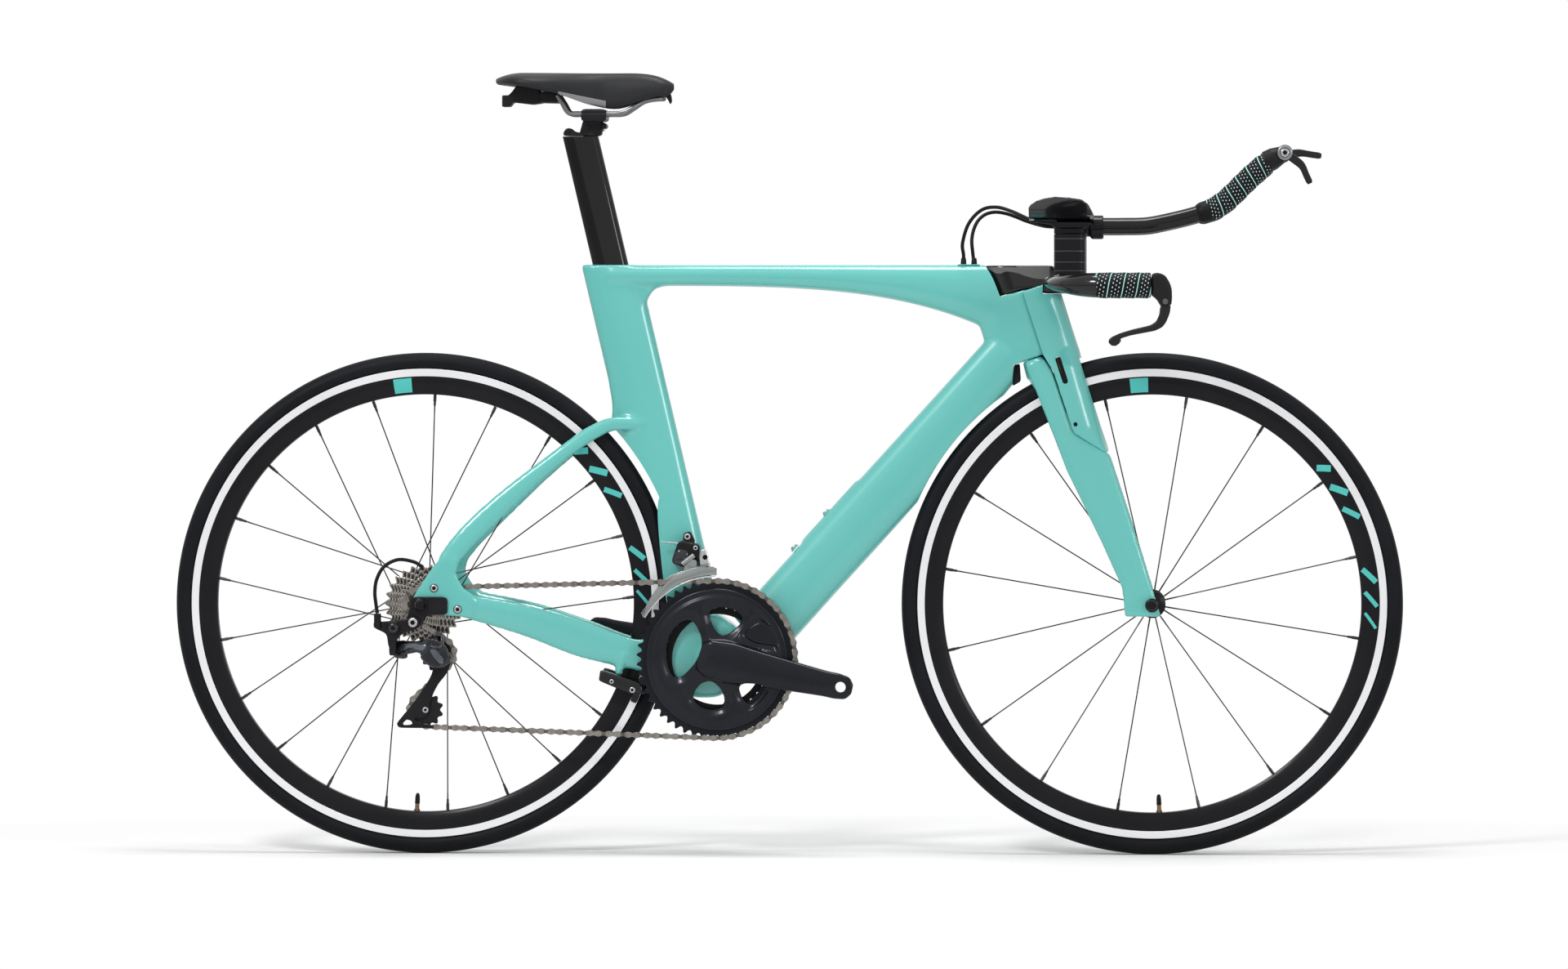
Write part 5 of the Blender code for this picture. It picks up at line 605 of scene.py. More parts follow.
def cover_shape(rows, wall=0.0, back=0.0, count=60):
    """Half superellipses along the steering axis: the front follows the cosine and the side the sine,
    both to the power 0.75, and the open side can run straight back."""
    keys = [-row[0] for row in rows]
    at = np.linspace(keys[0], keys[-1], count)
    along, seam, trim, half = (np.interp(at, keys, column)[:, None] for column in np.asarray(rows).T)
    angle = np.linspace(-np.pi / 2, np.pi / 2, 41)
    c, s = np.abs(np.cos(angle)) ** 0.75, np.sign(np.sin(angle)) * np.abs(np.sin(angle)) ** 0.75
    forward = seam + (COVER_FRONT - trim - wall - seam) * c
    side = (half - wall) * s
    if back:
        forward = np.concatenate([seam - back, forward, seam - back], 1)
        side = np.concatenate([wall - half, side, half - wall], 1)
    return skin(steer(np.broadcast_to(along, forward.shape), forward, side))


cover = melted(piece("fork_cover_shell", cover_shape(COVER), lacquer), 0.0016, 6)
carve(cover, [slab([(0.3413, 0.751), (0.4413, 0.751), (0.4413, 0.833), (0.3413, 0.833)], -0.06, 0.06)])
carve(cover, [drum(FRONT_AXLE, FRONT_ROOM, 0.017)])
carve(cover, [cover_shape([(HEAD_HIGH + 0.0115, COVER_SEAM, 0.0, 0.0256), *COVER[1:-1],
                           (0.22, 0.035, 0.0042, 0.0356)], COVER_WALL, 0.012)])
SLOT_ALONG, SLOT_OUT = 0.335, 0.0247
PEEP_ALONG, PEEP_OUT = 0.2606, 0.02


def through(along, forward, sides):
    """An outline given along and in front of the steering axis, carried through the sides named."""
    return skin([steer(along, forward, side + 0 * along) for side in sides])


def peep_hole(high, wide, sides):
    """An oval plug in the seam between cover and blade."""
    turn = full_turn(24)
    return through(PEEP_ALONG + high * np.sin(turn), PEEP_OUT + wide * np.cos(turn), sides)


turn = full_turn(40)
slot = np.stack([SLOT_ALONG + 0.015 * np.sign(np.sin(turn)) * (np.abs(np.sin(turn)) > 0.05)
                 + 0.0038 * np.sin(turn), SLOT_OUT + 0.0038 * np.cos(turn)])
carve(cover, [through(*slot, (-0.06, 0.06))])
carve(cover, [peep_hole(0.003, 0.0028, (-0.06, 0.06))], 60)
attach(cover, "steering")
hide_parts("fork_cover")

# Cable adjusters: behind each slot a rubber floor, and on it the bronze barrel that sets the cable.
# An oval rubber plug closes the hole in the cover's seam.
slot_rubber = finish("slot_rubber", (0.006, 0.006, 0.006), (0.01, 0.01, 0.01), 0.6)
barrel_bronze = finish("barrel_bronze", (0.04, 0.028, 0.022), (0.026, 0.018, 0.014), 0.35, metallic=0.9)
for sign, word in SIDES:
    near = (slot - slot.mean(1, keepdims=True)) * 0.965 + slot.mean(1, keepdims=True)
    piece("slot_floor_" + word, through(*near, sign * np.array((0.0286, 0.029, 0.0296))), slot_rubber,
          "steering")
    step = np.array((-0.01, -0.0098, -0.004, -0.0038, 0.004, 0.0042, 0.0095, 0.01))
    thick = np.array((0.0008, 0.0011, 0.0011, 0.0015, 0.0015, 0.0011, 0.0011, 0.0006))
    piece("cable_barrel_" + word, pipe(steer(SLOT_ALONG + 0.006 + step, SLOT_OUT - 0.0013 + 0 * step,
                                             sign * 0.0299 + 0 * step), thick, sides=20), barrel_bronze,
          "steering")
    piece("seam_plug_" + word, peep_hole(0.0029, 0.0027, (sign * 0.032, sign * 0.033)), slot_rubber,
          "steering")

# Tyres: a cotton carcass with a smooth black rubber tread, 25 mm wide, hooked over the rim's edges.
# The crown is plain, the tread's edge shows as a faint line, and fine mould ribs run round the flanks.
TYRE_MIDDLE, TYRE_HALF, TYRE_WALL, TYRE_SWEEP = 0.3235, 0.0125, 0.0024, math.radians(135)
RIB_PITCH, RIBBED_FROM = 0.0011, (0.0096, 0.0102)


def ring_place():
    """A group: object coordinates about an axle along Y, as radius, angle in turns and side."""
    group, given, result = node_group("ring_place", (("Middle", "Vector", (0, 0, 0)),),
                                      [(label, "Float") for label in ("Radius", "Turns", "Side")])
    make, calc, _ = makers(group)
    shift = make("VectorMath", make("TexCoord").outputs["Object"], given["Middle"], operation="SUBTRACT")
    x, side, z = make("SeparateXYZ", shift.outputs[0]).outputs
    flat = make("CombineXYZ", x, None, z).outputs[0]
    group.links.new(make("VectorMath", flat, operation="LENGTH").outputs["Value"], result["Radius"])
    group.links.new(calc("DIVIDE", calc("ARCTAN2", z, x), 2 * math.pi), result["Turns"])
    group.links.new(side, result["Side"])
    return group


RING_PLACE = ring_place()


def ringed(material, middle):
    """The ring coordinates about an axle, placed in a material."""
    node = material.node_tree.nodes.new("ShaderNodeGroup")
    node.node_tree = RING_PLACE
    node.inputs["Middle"].default_value = middle
    return node.outputs


def turned(profile, middle, steps=220):
    """A closed profile of radius and side, carried round an axle that runs along Y."""
    radius, side = np.asarray(profile, float).T
    turn = np.arange(steps)[:, None] * 2 * np.pi / steps
    ring = np.stack([radius * np.cos(turn), np.broadcast_to(side, (steps, len(side))),
                     radius * np.sin(turn)], -1)
    return skin(ring + middle, turn=True)


def tyre_profile():
    """The outer arc from bead to bead, a hair flat at the crown, and back along the inner arc."""
    out, back = np.linspace(-TYRE_SWEEP, TYRE_SWEEP, 49), np.linspace(TYRE_SWEEP, -TYRE_SWEEP, 25)
    reach = TYRE_HALF * (1 - 0.01 * np.cos(out) ** 2 * (np.abs(out) > 0.75)
                         - 0.022 * np.exp(-((np.abs(out) - 0.86) / 0.035) ** 2))
    inner = TYRE_HALF - TYRE_WALL
    return np.concatenate([np.stack([TYRE_MIDDLE + reach * np.cos(out), reach * np.sin(out)], -1),
                           np.stack([TYRE_MIDDLE + inner * np.cos(back), inner * np.sin(back)], -1)])


def tyre_rubber(name, middle):
    """Black rubber with fine mould ribs round the flanks."""
    material = finish(name, (0.005, 0.0054, 0.007), (0.0095, 0.01, 0.0125), 0.5, spread=0.16, fine=700,
                      bump=0.12, depth=0.0003)
    make, calc, _, drift, feed = wired(material)
    place = ringed(material, middle)
    ribs = calc("SINE", calc("MULTIPLY", place["Radius"], 2 * math.pi / RIB_PITCH))
    flank = make("MapRange", calc("ABSOLUTE", place["Side"]), *RIBBED_FROM).outputs[0]
    feed("Height", calc("MULTIPLY_ADD", calc("MULTIPLY", ribs, flank), 0.25, drift["Height"]))
    return material


WHEELS = (("front", FRONT_AXLE, "front_wheel"), ("rear", REAR_AXLE, "rear_wheel"))
for word, axle, body in WHEELS:
    piece(word + "_tyre_rubber", turned(tyre_profile(), axle, 260),
          tyre_rubber(word + "_tyre_rubber", axle), body, [word + "_tyre"])

# Rims: welded alloy channels with machined brake tracks, black anodised below them.
# Plain turquoise bars are printed on the black flanks.
RIM_OUT, RIM_IN, TRACK_LOW = 0.31436, 0.28006, 0.3046
BAR_RADIUS, TRACK_PITCH = 0.293, 0.00055


def rim_profile():
    """Half of the channel's outside and of its well, and both again mirrored."""
    half = [(RIM_OUT - 0.0003, 0.0113), (RIM_OUT - 0.0006, 0.0113), (0.3098, 0.0113),
            (TRACK_LOW + 0.0004, 0.0113), (TRACK_LOW, 0.011), (TRACK_LOW - 0.0012, 0.011), (0.3, 0.0111),
            (0.295, 0.0109), (0.2905, 0.0102), (0.2862, 0.0091), (0.2828, 0.0079), (0.2806, 0.0067),
            (RIM_IN, 0.005), (RIM_IN, 0.0022)]
    well = [(RIM_OUT, 0.0111), (RIM_OUT, 0.0094), (RIM_OUT - 0.0006, 0.0091), (0.308, 0.0091),
            (0.3035, 0.0084), (0.3, 0.005), (0.2992, 0.002)]
    outer = half + [(r, -s) for r, s in reversed(half)]
    inner = [(r, -s) for r, s in well] + [(r, s) for r, s in reversed(well)]
    return np.asarray(outer + inner)


def rim_finish(name, middle, bars):
    """Black anodising with printed bars, and bare metal with fine turned rings on the track."""
    material = finish(name, (0.0055, 0.0057, 0.0075), (0.009, 0.0092, 0.0115), 0.34, spread=0.08,
                      fine=1200, bump=0.04, coat=0.08, coat_roughness=0.12)
    make, calc, mix, drift, feed = wired(material)
    place = ringed(material, middle)
    radius, turns, side = place["Radius"], place["Turns"], place["Side"]
    bare = calc("MULTIPLY", calc("GREATER_THAN", radius, TRACK_LOW),
                calc("GREATER_THAN", calc("ABSOLUTE", side), 0.0105))
    printed = None
    for turn, deep, turn_on, deep_on, half in bars:
        step = np.array((math.radians(turn_on - turn) * BAR_RADIUS, deep_on - deep))
        length = float(np.linalg.norm(step))
        a, b = step / length
        s = calc("MULTIPLY_ADD", turns, 2 * math.pi * BAR_RADIUS, -math.radians(turn) * BAR_RADIUS)
        q = calc("SUBTRACT", radius, deep)
        along = calc("MULTIPLY_ADD", s, a, calc("MULTIPLY", q, b))
        across = calc("MULTIPLY_ADD", q, a, calc("MULTIPLY", s, -b))
        mark = calc("MULTIPLY", calc("COMPARE", along, length / 2, length / 2),
                    calc("COMPARE", across, 0.0, half))
        printed = mark if printed is None else calc("MAXIMUM", printed, mark)
    inked = mix(printed, drift["Colour"], (0.085, 0.5, 0.46, 1))
    feed("Base Color", mix(bare, inked, (0.8, 0.8, 0.82, 1)))
    feed("Metallic", calc("MULTIPLY", bare, 0.75))
    rings = calc("SINE", calc("MULTIPLY", radius, 2 * math.pi / TRACK_PITCH))
    feed("Height", calc("MULTIPLY_ADD", calc("MULTIPLY", rings, bare), 0.4, drift["Height"]))
    return material


# Slanted stripes on the flank, each with its start angle and radius, end angle and radius, and half width.
BARS = [(39.6, 0.2855, 37.2, 0.3, 0.0044), (33.4, 0.285, 29.6, 0.301, 0.0044),
        (26.6, 0.285, 22.8, 0.301, 0.0036), (9.4, 0.285, 5.6, 0.301, 0.0036),
        (3.2, 0.285, -0.6, 0.301, 0.0028), (-2.4, 0.285, -6.2, 0.301, 0.002)]
for (word, axle, body), ahead, tag in zip(WHEELS, (0.0, 5.85), (93.4, 95.8)):
    bars = [(a + ahead, r, b + ahead, e, half) for a, r, b, e, half in BARS]
    bars.append((tag, 0.2835, tag, 0.3028, 0.012))
    piece(word + "_rim_channel", turned(rim_profile(), axle, 260),
          rim_finish(word + "_rim_alloy", axle, bars), body, [word + "_rim"], crease=28)

# Hubs and spokes: turned alloy shells on hollow axles, black steel spokes screwed into nipples at the rim.
# Sixteen radial spokes in front; behind, seven radial ones on the left and fourteen crossed on the right.
SPOKE_END = 0.27976
spoke_black = finish("spoke_steel", (0.028, 0.027, 0.027), (0.05, 0.048, 0.046), 0.3, metallic=0.85,
                     fine=1500, bump=0.05)
hub_black = finish("hub_alloy", (0.012, 0.012, 0.013), (0.02, 0.02, 0.022), 0.3, metallic=0.75,
                   bump=0.05)


def polar(middle, radius, angle, side):
    """A point at a radius and an angle about a wheel's axle."""
    return np.asarray(middle) + np.array((radius * math.cos(angle), side, radius * math.sin(angle)))


def spoke_shapes(start, end):
    """A round wire, thinned over its middle, with its stepped nipple at the rim."""
    start, end = np.asarray(start), np.asarray(end)
    way = end - start
    share = np.array((0.0, 0.05, 0.09, 0.9, 0.945, 1.0))
    wire = pipe(start + way * share[:, None], np.array((1.0, 1.0, 0.82, 0.82, 1.0, 1.0)) * 0.00105,
                (0, 1, 0.01), 8)
    length = np.linalg.norm(way)
    share = 1 - np.array((0.015, 0.0145, 0.009, 0.0088, 0.0)) / length
    nipple = pipe(start + way * share[:, None], np.array((0.0011, 0.0016, 0.0017, 0.0021, 0.0021)),
                  (0, 1, 0.01), 8)
    return [wire, nipple]


wires = []
for k in range(16):
    angle, hand = math.radians(-9.5 - 22.5 * k), 1 if k % 2 else -1
    wires += spoke_shapes(polar(FRONT_AXLE, 0.0145, angle, hand * 0.034),
                          polar(FRONT_AXLE, SPOKE_END, angle, hand * 0.0015))
front_hub = [(0.0075, -0.05), (0.0088, -0.0498), (0.0088, -0.0415), (0.0105, -0.04), (0.011, -0.0375),
             (0.017, -0.0362), (0.018, -0.0355), (0.018, -0.0325), (0.017, -0.0318), (0.0125, -0.0295),
             (0.0112, -0.025), (0.0108, -0.012)]
front_hub += [(r, -s) for r, s in reversed(front_hub)] + [(0.003, 0.05), (0.003, -0.05)]
piece("front_hub_and_spokes", [turned(front_hub, FRONT_AXLE, 64)], hub_black, "front_wheel",
      ["front_hub_spokes"])
piece("front_spokes", wires, spoke_black, "front_wheel")
wires = []
REACH = 0.0305
lean = math.acos(REACH / SPOKE_END)
for k in range(7):
    radial = math.radians(-15.4 - 360 / 7 * k)
    wires += spoke_shapes(polar(REAR_AXLE, 0.015, radial, 0.038),
                          polar(REAR_AXLE, SPOKE_END, radial, 0.0015))
    for hand, step, side in ((1, 1, -0.0178), (-1, 2, -0.0158)):
        angle = radial - math.radians(360 / 21) * step
        wires += spoke_shapes(polar(REAR_AXLE, REACH, angle + hand * lean, side),
                              polar(REAR_AXLE, SPOKE_END, angle, -0.002))
rear_hub = [(0.0075, -0.065), (0.0075, -0.0195), (0.02, -0.019), (0.03, -0.0186), (0.0318, -0.018),
            (0.032, -0.0165), (0.0316, -0.0155), (0.026, -0.0148), (0.018, -0.011), (0.015, -0.006),
            (0.013, 0.006), (0.0125, 0.025), (0.014, 0.033), (0.0182, 0.0362), (0.019, 0.037),
            (0.019, 0.0394), (0.0182, 0.0402), (0.012, 0.0416), (0.0098, 0.045), (0.0092, 0.06),
            (0.0075, 0.062), (0.0075, 0.065), (0.003, 0.065), (0.003, -0.065)]
piece("rear_hub_shell", [turned(rear_hub, REAR_AXLE, 64)], hub_black, "rear_wheel", ["rear_hub_spokes"])
piece("rear_spokes", wires, spoke_black, "rear_wheel")

# Valves: brass stems that come through the rims, each with a lock nut and a black plastic cap.
# Both stand at the bottom of their wheel and point at the axle.
stem_brass = finish("valve_brass", (0.22, 0.14, 0.07), (0.16, 0.1, 0.05), 0.32, metallic=0.9)
cap_black = finish("valve_cap", (0.008, 0.008, 0.009), (0.012, 0.012, 0.013), 0.4)
for (word, axle, body), angle in zip(WHEELS, (-88.0, -92.5)):
    start = polar(axle, SPOKE_END, math.radians(angle), 0)
    way = unit(axle - start)
    rows = np.array([(0.0, 0.004), (0.0016, 0.0042), (0.0022, 0.0042), (0.0024, 0.003), (0.0096, 0.0029)])
    piece(word + "_valve_stem", pipe(start + way * rows[:, :1], rows[:, 1], (0, 1, 0), 24), stem_brass,
          body, [word + "_valve"], crease=30)
    rows = np.array([(0.0098, 0.0032), (0.0104, 0.0034), (0.019, 0.0031), (0.0225, 0.0024), (0.024, 0.001)])
    piece(word + "_valve_cap", pipe(start + way * rows[:, :1], rows[:, 1], (0, 1, 0), 24), cap_black, body)

# Quick releases: steel skewers through the hollow axles, with a round nut on the right and a cam and
# lever on the left. The lever lies along the blade or stay when the wheel is clamped.
skewer_black = finish("skewer_alloy", (0.01, 0.01, 0.011), (0.016, 0.016, 0.017), 0.3, metallic=0.6,
                      bump=0.06)
for (word, axle, body), right_face, left_face, way in zip(
        WHEELS, (0.0581, 0.0776), (0.0581, 0.0723), ((-0.45, 0, 0.89), (0.7, 0, 0.71))):
    home = "steering" if word == "front" else "frame_body"
    side = np.array((0.0003, 0.0009, 0.0016, 0.0044, 0.005, 0.0092, 0.0106, 0.011))
    nut = np.array((0.0088, 0.0092, 0.0092, 0.0092, 0.0078, 0.0066, 0.0058, 0.003))
    cam = np.array((0.0078, 0.0085, 0.0085, 0.0085, 0.0078, 0.0078, 0.0085, 0.0078))
    piece(word + "_skewer_and_nut", [
        rod(axle, (-right_face - 0.01, left_face + 0.008), 0.0024, 24),
        rod(axle, -(right_face + side), nut, 40), rod(axle, left_face + side, cam, 40)], skewer_black, home,
        [word + "_skewer"], crease=30)
    way = unit(np.array(way))
    cross = np.array((-way[2], 0, way[0]))
    reach, half, thick = stations([(0.0, 0.004, 0.005), (0.01, 0.0038, 0.0046), (0.03, 0.0044, 0.0042),
                                   (0.052, 0.0055, 0.0042), (0.059, 0.0036, 0.0034)], 40)
    pivot = axle + SIDEWAYS * (left_face + 0.0139)
    line = pivot + way * reach[:, None]
    piece(word + "_release_lever",
          [skin(sections(line - cross * half[:, None], line + cross * half[:, None], thick, sides=28)),
           pipe(pivot + cross * np.array((-0.006, -0.0056, 0.0056, 0.006))[:, None],
                np.array((0.0022, 0.0026, 0.0026, 0.0022)), (0, 1, 0), 20)], skewer_black, word + "_qr",
          [word + "_qr_lever"], crease=40)

# Crankset: forged alloy arms in dark grey, a spindle between them, and two rings on four bolts.
# The right arm runs out of the spider; the outer ring's dished face covers the bolts from outside.
CRANK_TILT, CRANK_REACH = math.radians(-12.0), 0.17
RING_SIDE, INNER_RING_SIDE, BOLT_ANGLES = -0.0465, -0.0387, (60.5, 122.5, -60.5, -122.5)
crank_grey = finish("crank_anodised", (0.0085, 0.0092, 0.013), (0.014, 0.0148, 0.0195), 0.28, metallic=0.6,
                    fine=600, bump=0.04, coat=0.22, coat_roughness=0.14)
ring_grey = finish("ring_anodised", (0.01, 0.0108, 0.014), (0.016, 0.0168, 0.0205), 0.32, metallic=0.65,
                   fine=800, bump=0.06)
ring_black = finish("inner_ring_anodised", (0.006, 0.006, 0.007), (0.01, 0.01, 0.011), 0.42, metallic=0.5)
# An arm's stations: the way from the spindle, half height and thickness.
ARM = [(-0.024, 0.017, 0.012), (-0.016, 0.023, 0.014), (0.0, 0.0265, 0.015), (0.06, 0.0235, 0.0145),
       (0.12, 0.019, 0.0135), (0.15, 0.0172, 0.013), (0.17, 0.0165, 0.013), (0.1815, 0.0125, 0.0125),
       (0.186, 0.006, 0.012)]


def arm_shape(sign, way, count=70):
    """A tapering arm whose outer face swells in the middle and rounds over to its edges."""
    reach, half, thick = stations(ARM, count)[:, :, None]
    outer = 0.075 - 0.01 * (1 - np.clip(reach / 0.15, 0, 1))
    across = np.cross(way, SIDEWAYS)
    h = np.array((-1.0, -1.0, -0.96, -0.88, -0.74, -0.5, -0.2, 0.2, 0.5, 0.74, 0.88, 0.96, 1.0, 1.0, 0.8,
                  -0.8))
    d = np.array((0.96, 0.45, 0.26, 0.13, 0.05, 0.012, 0, 0, 0.012, 0.05, 0.13, 0.26, 0.45, 0.96, 1.0, 1.0))
    side = sign * (outer - thick * d)
    return skin(BRACKET + way * reach[..., None] + across * (half * h)[..., None]
                + SIDEWAYS * side[..., None])


def way_at(angle):
    """A way in the bike's plane at an angle above forward."""
    return np.array((math.cos(angle), 0.0, math.sin(angle)))


# Outlines of the spider's openings and of the pocket in front, in millimetres from the spindle.
OPENINGS = [[(-67.5, 19.8), (-60.5, 39.0), (-45.7, 52.7), (-30.2, 51.5), (-20.5, 31.4), (-19.5, 15.9),
             (-29.0, -5.4), (-47.7, -24.8), (-60.3, -21.9), (-66.5, -3.5)],
            [(-11.0, 64.3), (3.6, 70.6), (20.1, 68.4), (34.0, 59.5), (32.5, 48.2), (15.3, 33.3),
             (3.6, 33.3), (-6.0, 44.9)],
            [(-31.2, -44.2), (-21.5, -31.5), (-7.0, -27.7), (5.6, -38.4), (11.5, -53.8), (7.0, -64.5),
             (-7.0, -67.4), (-21.0, -64.0), (-31.2, -53.8)],
            [(28.8, -36.4), (37.6, -30.6), (58.9, -32.0), (64.6, -36.4), (56.9, -50.9), (43.4, -61.0),
             (33.7, -51.0)]]
POCKET = [(51.0, 22.0), (36.5, 32.0), (42.0, 42.0), (57.0, 50.0), (70.0, 47.0), (80.0, 34.0), (84.0, 18.0)]


def toothed_edge(middle, teeth, radius, low=0.0044, high=0.0035):
    """A chain wheel's outline: rounded valleys for the rollers between narrow rounded teeth."""
    turn = np.linspace(0, 1, 12, endpoint=False)
    wave = np.interp(turn, [0, 0.12, 0.25, 0.38, 0.5, 0.62, 0.75, 0.88, 1.0],
                     [-low, -low * 0.92, -low * 0.35, high * 0.72, high, high * 0.72, -low * 0.35,
                      -low * 0.92, -low])
    angle = (np.arange(teeth)[:, None] + turn) * 2 * np.pi / teeth
    reach = radius + np.broadcast_to(wave, (teeth, 12))
    return np.stack([reach * np.cos(angle), reach * np.sin(angle)], -1).reshape(-1, 2) + middle[[0, 2]]


def ring_plate(middle, outline, hole, side, thick, rim=0.0004):
    """A flat ring with a toothed edge and a hole in it, its teeth thinned at both faces."""
    count, centre = len(outline), middle[[0, 2]]
    turn = np.arange(count) * 2 * np.pi / count
    circle = np.stack([np.cos(turn), np.sin(turn)], -1)
    inner = centre + np.broadcast_to(hole, count)[:, None] * circle
    pull = (outline - centre) * (1 - rim * 4) + centre
    half = thick / 2
    rings = [(inner, -half), (pull, -half), (outline, -half * 0.45), (outline, half * 0.45), (pull, half),
             (inner, half)]
    return skin(np.stack([at_side(flat, side + up) for flat, up in rings], 1), turn=True)


right_way, left_way = way_at(CRANK_TILT), -way_at(CRANK_TILT)
DISH = [(0.0, -0.06), (0.02, -0.0598), (0.033, -0.058), (0.048, -0.0552), (0.062, -0.054), (0.083, -0.0536),
        (0.085, -0.052), (0.0868, -0.0513), (0.0905, -0.051), (0.0915, -0.0514), (0.0935, -0.0512),
        (0.095, -0.0498), (0.0958, -0.048), (0.083, -0.048), (0.0, -0.048)]
dish = turned(DISH[1:-1] + [(0.0002, -0.048), (0.0002, -0.06)], BRACKET, 200)
right = melted(piece("crank_arm_right_forging", [arm_shape(-1, right_way), dish], crank_grey), 0.0012, 0)
carve(right, [slab(rounded(about(BRACKET, *(np.array(hole) / 1000)), 6, 0.4), -0.07, -0.04)
              for hole in OPENINGS])
carve(right, [slab(rounded(about(BRACKET, *(np.array(POCKET) / 1000)), 6, 0.35), -0.064, -0.0505)])
melted(right, 0.0011, 4)


def legs_rounded(made, fall=0.0042, width=0.0075):
    """Sink the dish's outer face by a bell of the distance to the nearest edge of an opening or of the
    pocket, so that the legs between them stand up crowned."""
    spots = np.array([v.co[:] for v in made.data.vertices])
    flat = spots[:, [0, 2]] - BRACKET[[0, 2]]
    near = np.full(len(flat), 1.0)
    for hole in OPENINGS + [POCKET]:
        edge = rounded(np.array(hole) / 1000, 6, 0.4)
        step = np.roll(edge, -1, 0) - edge
        t = np.clip(((flat[:, None] - edge) * step).sum(-1) / (step ** 2).sum(-1), 0, 1)
        near = np.minimum(near, np.linalg.norm(flat[:, None] - edge - t[..., None] * step, axis=-1).min(1))
    away = np.linalg.norm(flat, axis=1)
    arm_way = np.array((math.cos(CRANK_TILT), math.sin(CRANK_TILT)))
    on_arm = np.abs(flat @ (-arm_way[1], arm_way[0])) < 0.026
    beyond = np.clip((flat @ arm_way - 0.03) / 0.02, 0, 1) * on_arm
    share = np.clip((-spots[:, 1] - 0.0505) / 0.003, 0, 1) * np.clip((0.0835 - away) / 0.004, 0, 1)
    share *= 1 - beyond
    spots[:, 1] += fall * np.exp(-(near / width) ** 2) * share
    made.data.vertices.foreach_set("co", spots.ravel())


legs_rounded(right)
carve(right, [drum(BRACKET + right_way * CRANK_REACH, 0.007, 0.1, 48)], 50)
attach(right, "crankset")
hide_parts("crank_arm_right")
shapes = [rod(BRACKET, (-0.05, 0.064), 0.012, 48), rod(BRACKET, (-0.05, -0.0474), 0.0215, 64)]
for angle in BOLT_ANGLES:
    bolt = BRACKET + way_at(CRANK_TILT + math.radians(angle)) * 0.0545
    shapes.append(rod(bolt, (-0.049, -0.0403), 0.0065, 24))
piece("crank_spindle", shapes, crank_grey, "crankset")
left = piece("crank_arm_left_forging", [arm_shape(1, left_way), rod(BRACKET, (0.0475, 0.064), 0.02, 64)],
             crank_grey)
melted(left, 0.0011, 3)
carve(left, [drum(BRACKET + left_way * CRANK_REACH, 0.007, 0.1, 48),
             rod(BRACKET, (0.04, 0.0643), 0.0123, 48)], 50)
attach(left, "crankset")
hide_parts("crank_arm_left")

outer_edge = toothed_edge(BRACKET, 52, 0.10515, 0.0038, 0.0026)
web = [(0.07, -0.0478), (0.0975, -0.0478), (0.098, -0.047), (0.07, -0.0456)]
piece("chainring_outer_plate", [ring_plate(BRACKET, outer_edge, 0.086, RING_SIDE, 0.0018),
                                turned(web, BRACKET, 200)], ring_grey, "crankset", ["chainring_outer"],
      crease=30)
inner_edge = toothed_edge(BRACKET, 36, 0.07285, 0.0038, 0.0026)
turn = np.arange(len(inner_edge)) * 2 * np.pi / len(inner_edge)
hole = np.full(len(turn), 0.0605)
for angle in BOLT_ANGLES:
    away = (turn - CRANK_TILT - math.radians(angle) + np.pi) % (2 * np.pi) - np.pi
    hole -= 0.0125 * np.exp(-(away / 0.13) ** 4)
piece("chainring_inner_plate", [ring_plate(BRACKET, inner_edge, hole, INNER_RING_SIDE, 0.0024)], ring_black,
      "crankset", ["chainring_inner"], crease=30)

# Bottom bracket: two alloy cups pressed into the shell, each with a sealed bearing round the spindle.
# Only the cups' rims and the bearings' faces stand out of the shell.
dark_cup = finish("bracket_cup_alloy", (0.01, 0.01, 0.011), (0.016, 0.016, 0.017), 0.36, metallic=0.5)
for hand, word in SIDES:
    face = 0.04355
    profile = [(0.0205, face - 0.0118), (0.0205, face), (0.0218, face), (0.0222, face + 0.0004),
               (0.0222, face + 0.0021), (0.0218, face + 0.0025), (0.018, face + 0.0025),
               (0.0178, face + 0.002), (0.015, face + 0.002), (0.0148, face + 0.0025),
               (0.0124, face + 0.0025), (0.0124, face - 0.0118)]
    piece("bracket_cup_" + word, turned([(r, hand * s) for r, s in profile], BRACKET, 96), dark_cup,
          "frame_body", ["bb_cup_" + word], crease=30)

# Cassette: eleven stamped steel sprockets on black spacers, closed by a lock ring.
# The smallest is outermost, and the larger ones are open rings round the spacers.
COG_TEETH = (11, 12, 13, 14, 15, 16, 17, 19, 21, 23, 25)
COG_SPACING, SMALL_COG_SIDE, LINK_PITCH = 0.00369, 0.06, 0.0127
cog_steel_painted_shade = finish("cog_steel_painted_shade", (0.56, 0.53, 0.49), (0.24, 0.22, 0.2), 0.24, spread=0.2, metallic=0.9,
                   broad=160, fine=1500, bump=0.1)
make, calc, mix, drift, feed = wired(cog_steel_painted_shade)
# Painted shade: the cogs' drive-side faces are near black from the hole out to just under the teeth, for
# the shade between the sprockets.
height = make("SeparateXYZ", make("UVMap", uv_map="along").outputs["UV"]).outputs["Y"]
edge = make("MapRange", height, 0.125, 0.168, 0.1, 1.0).outputs[0]
feed("Base Color", mix(edge, (0.006, 0.005, 0.004, 1), drift["Colour"]))
core_black = finish("spacer_plastic", (0.008, 0.0075, 0.007), (0.014, 0.013, 0.012), 0.5)


def pitch_radius(teeth):
    """Where the pins of half-inch links lie on a wheel."""
    return LINK_PITCH / (2 * math.sin(math.pi / teeth))


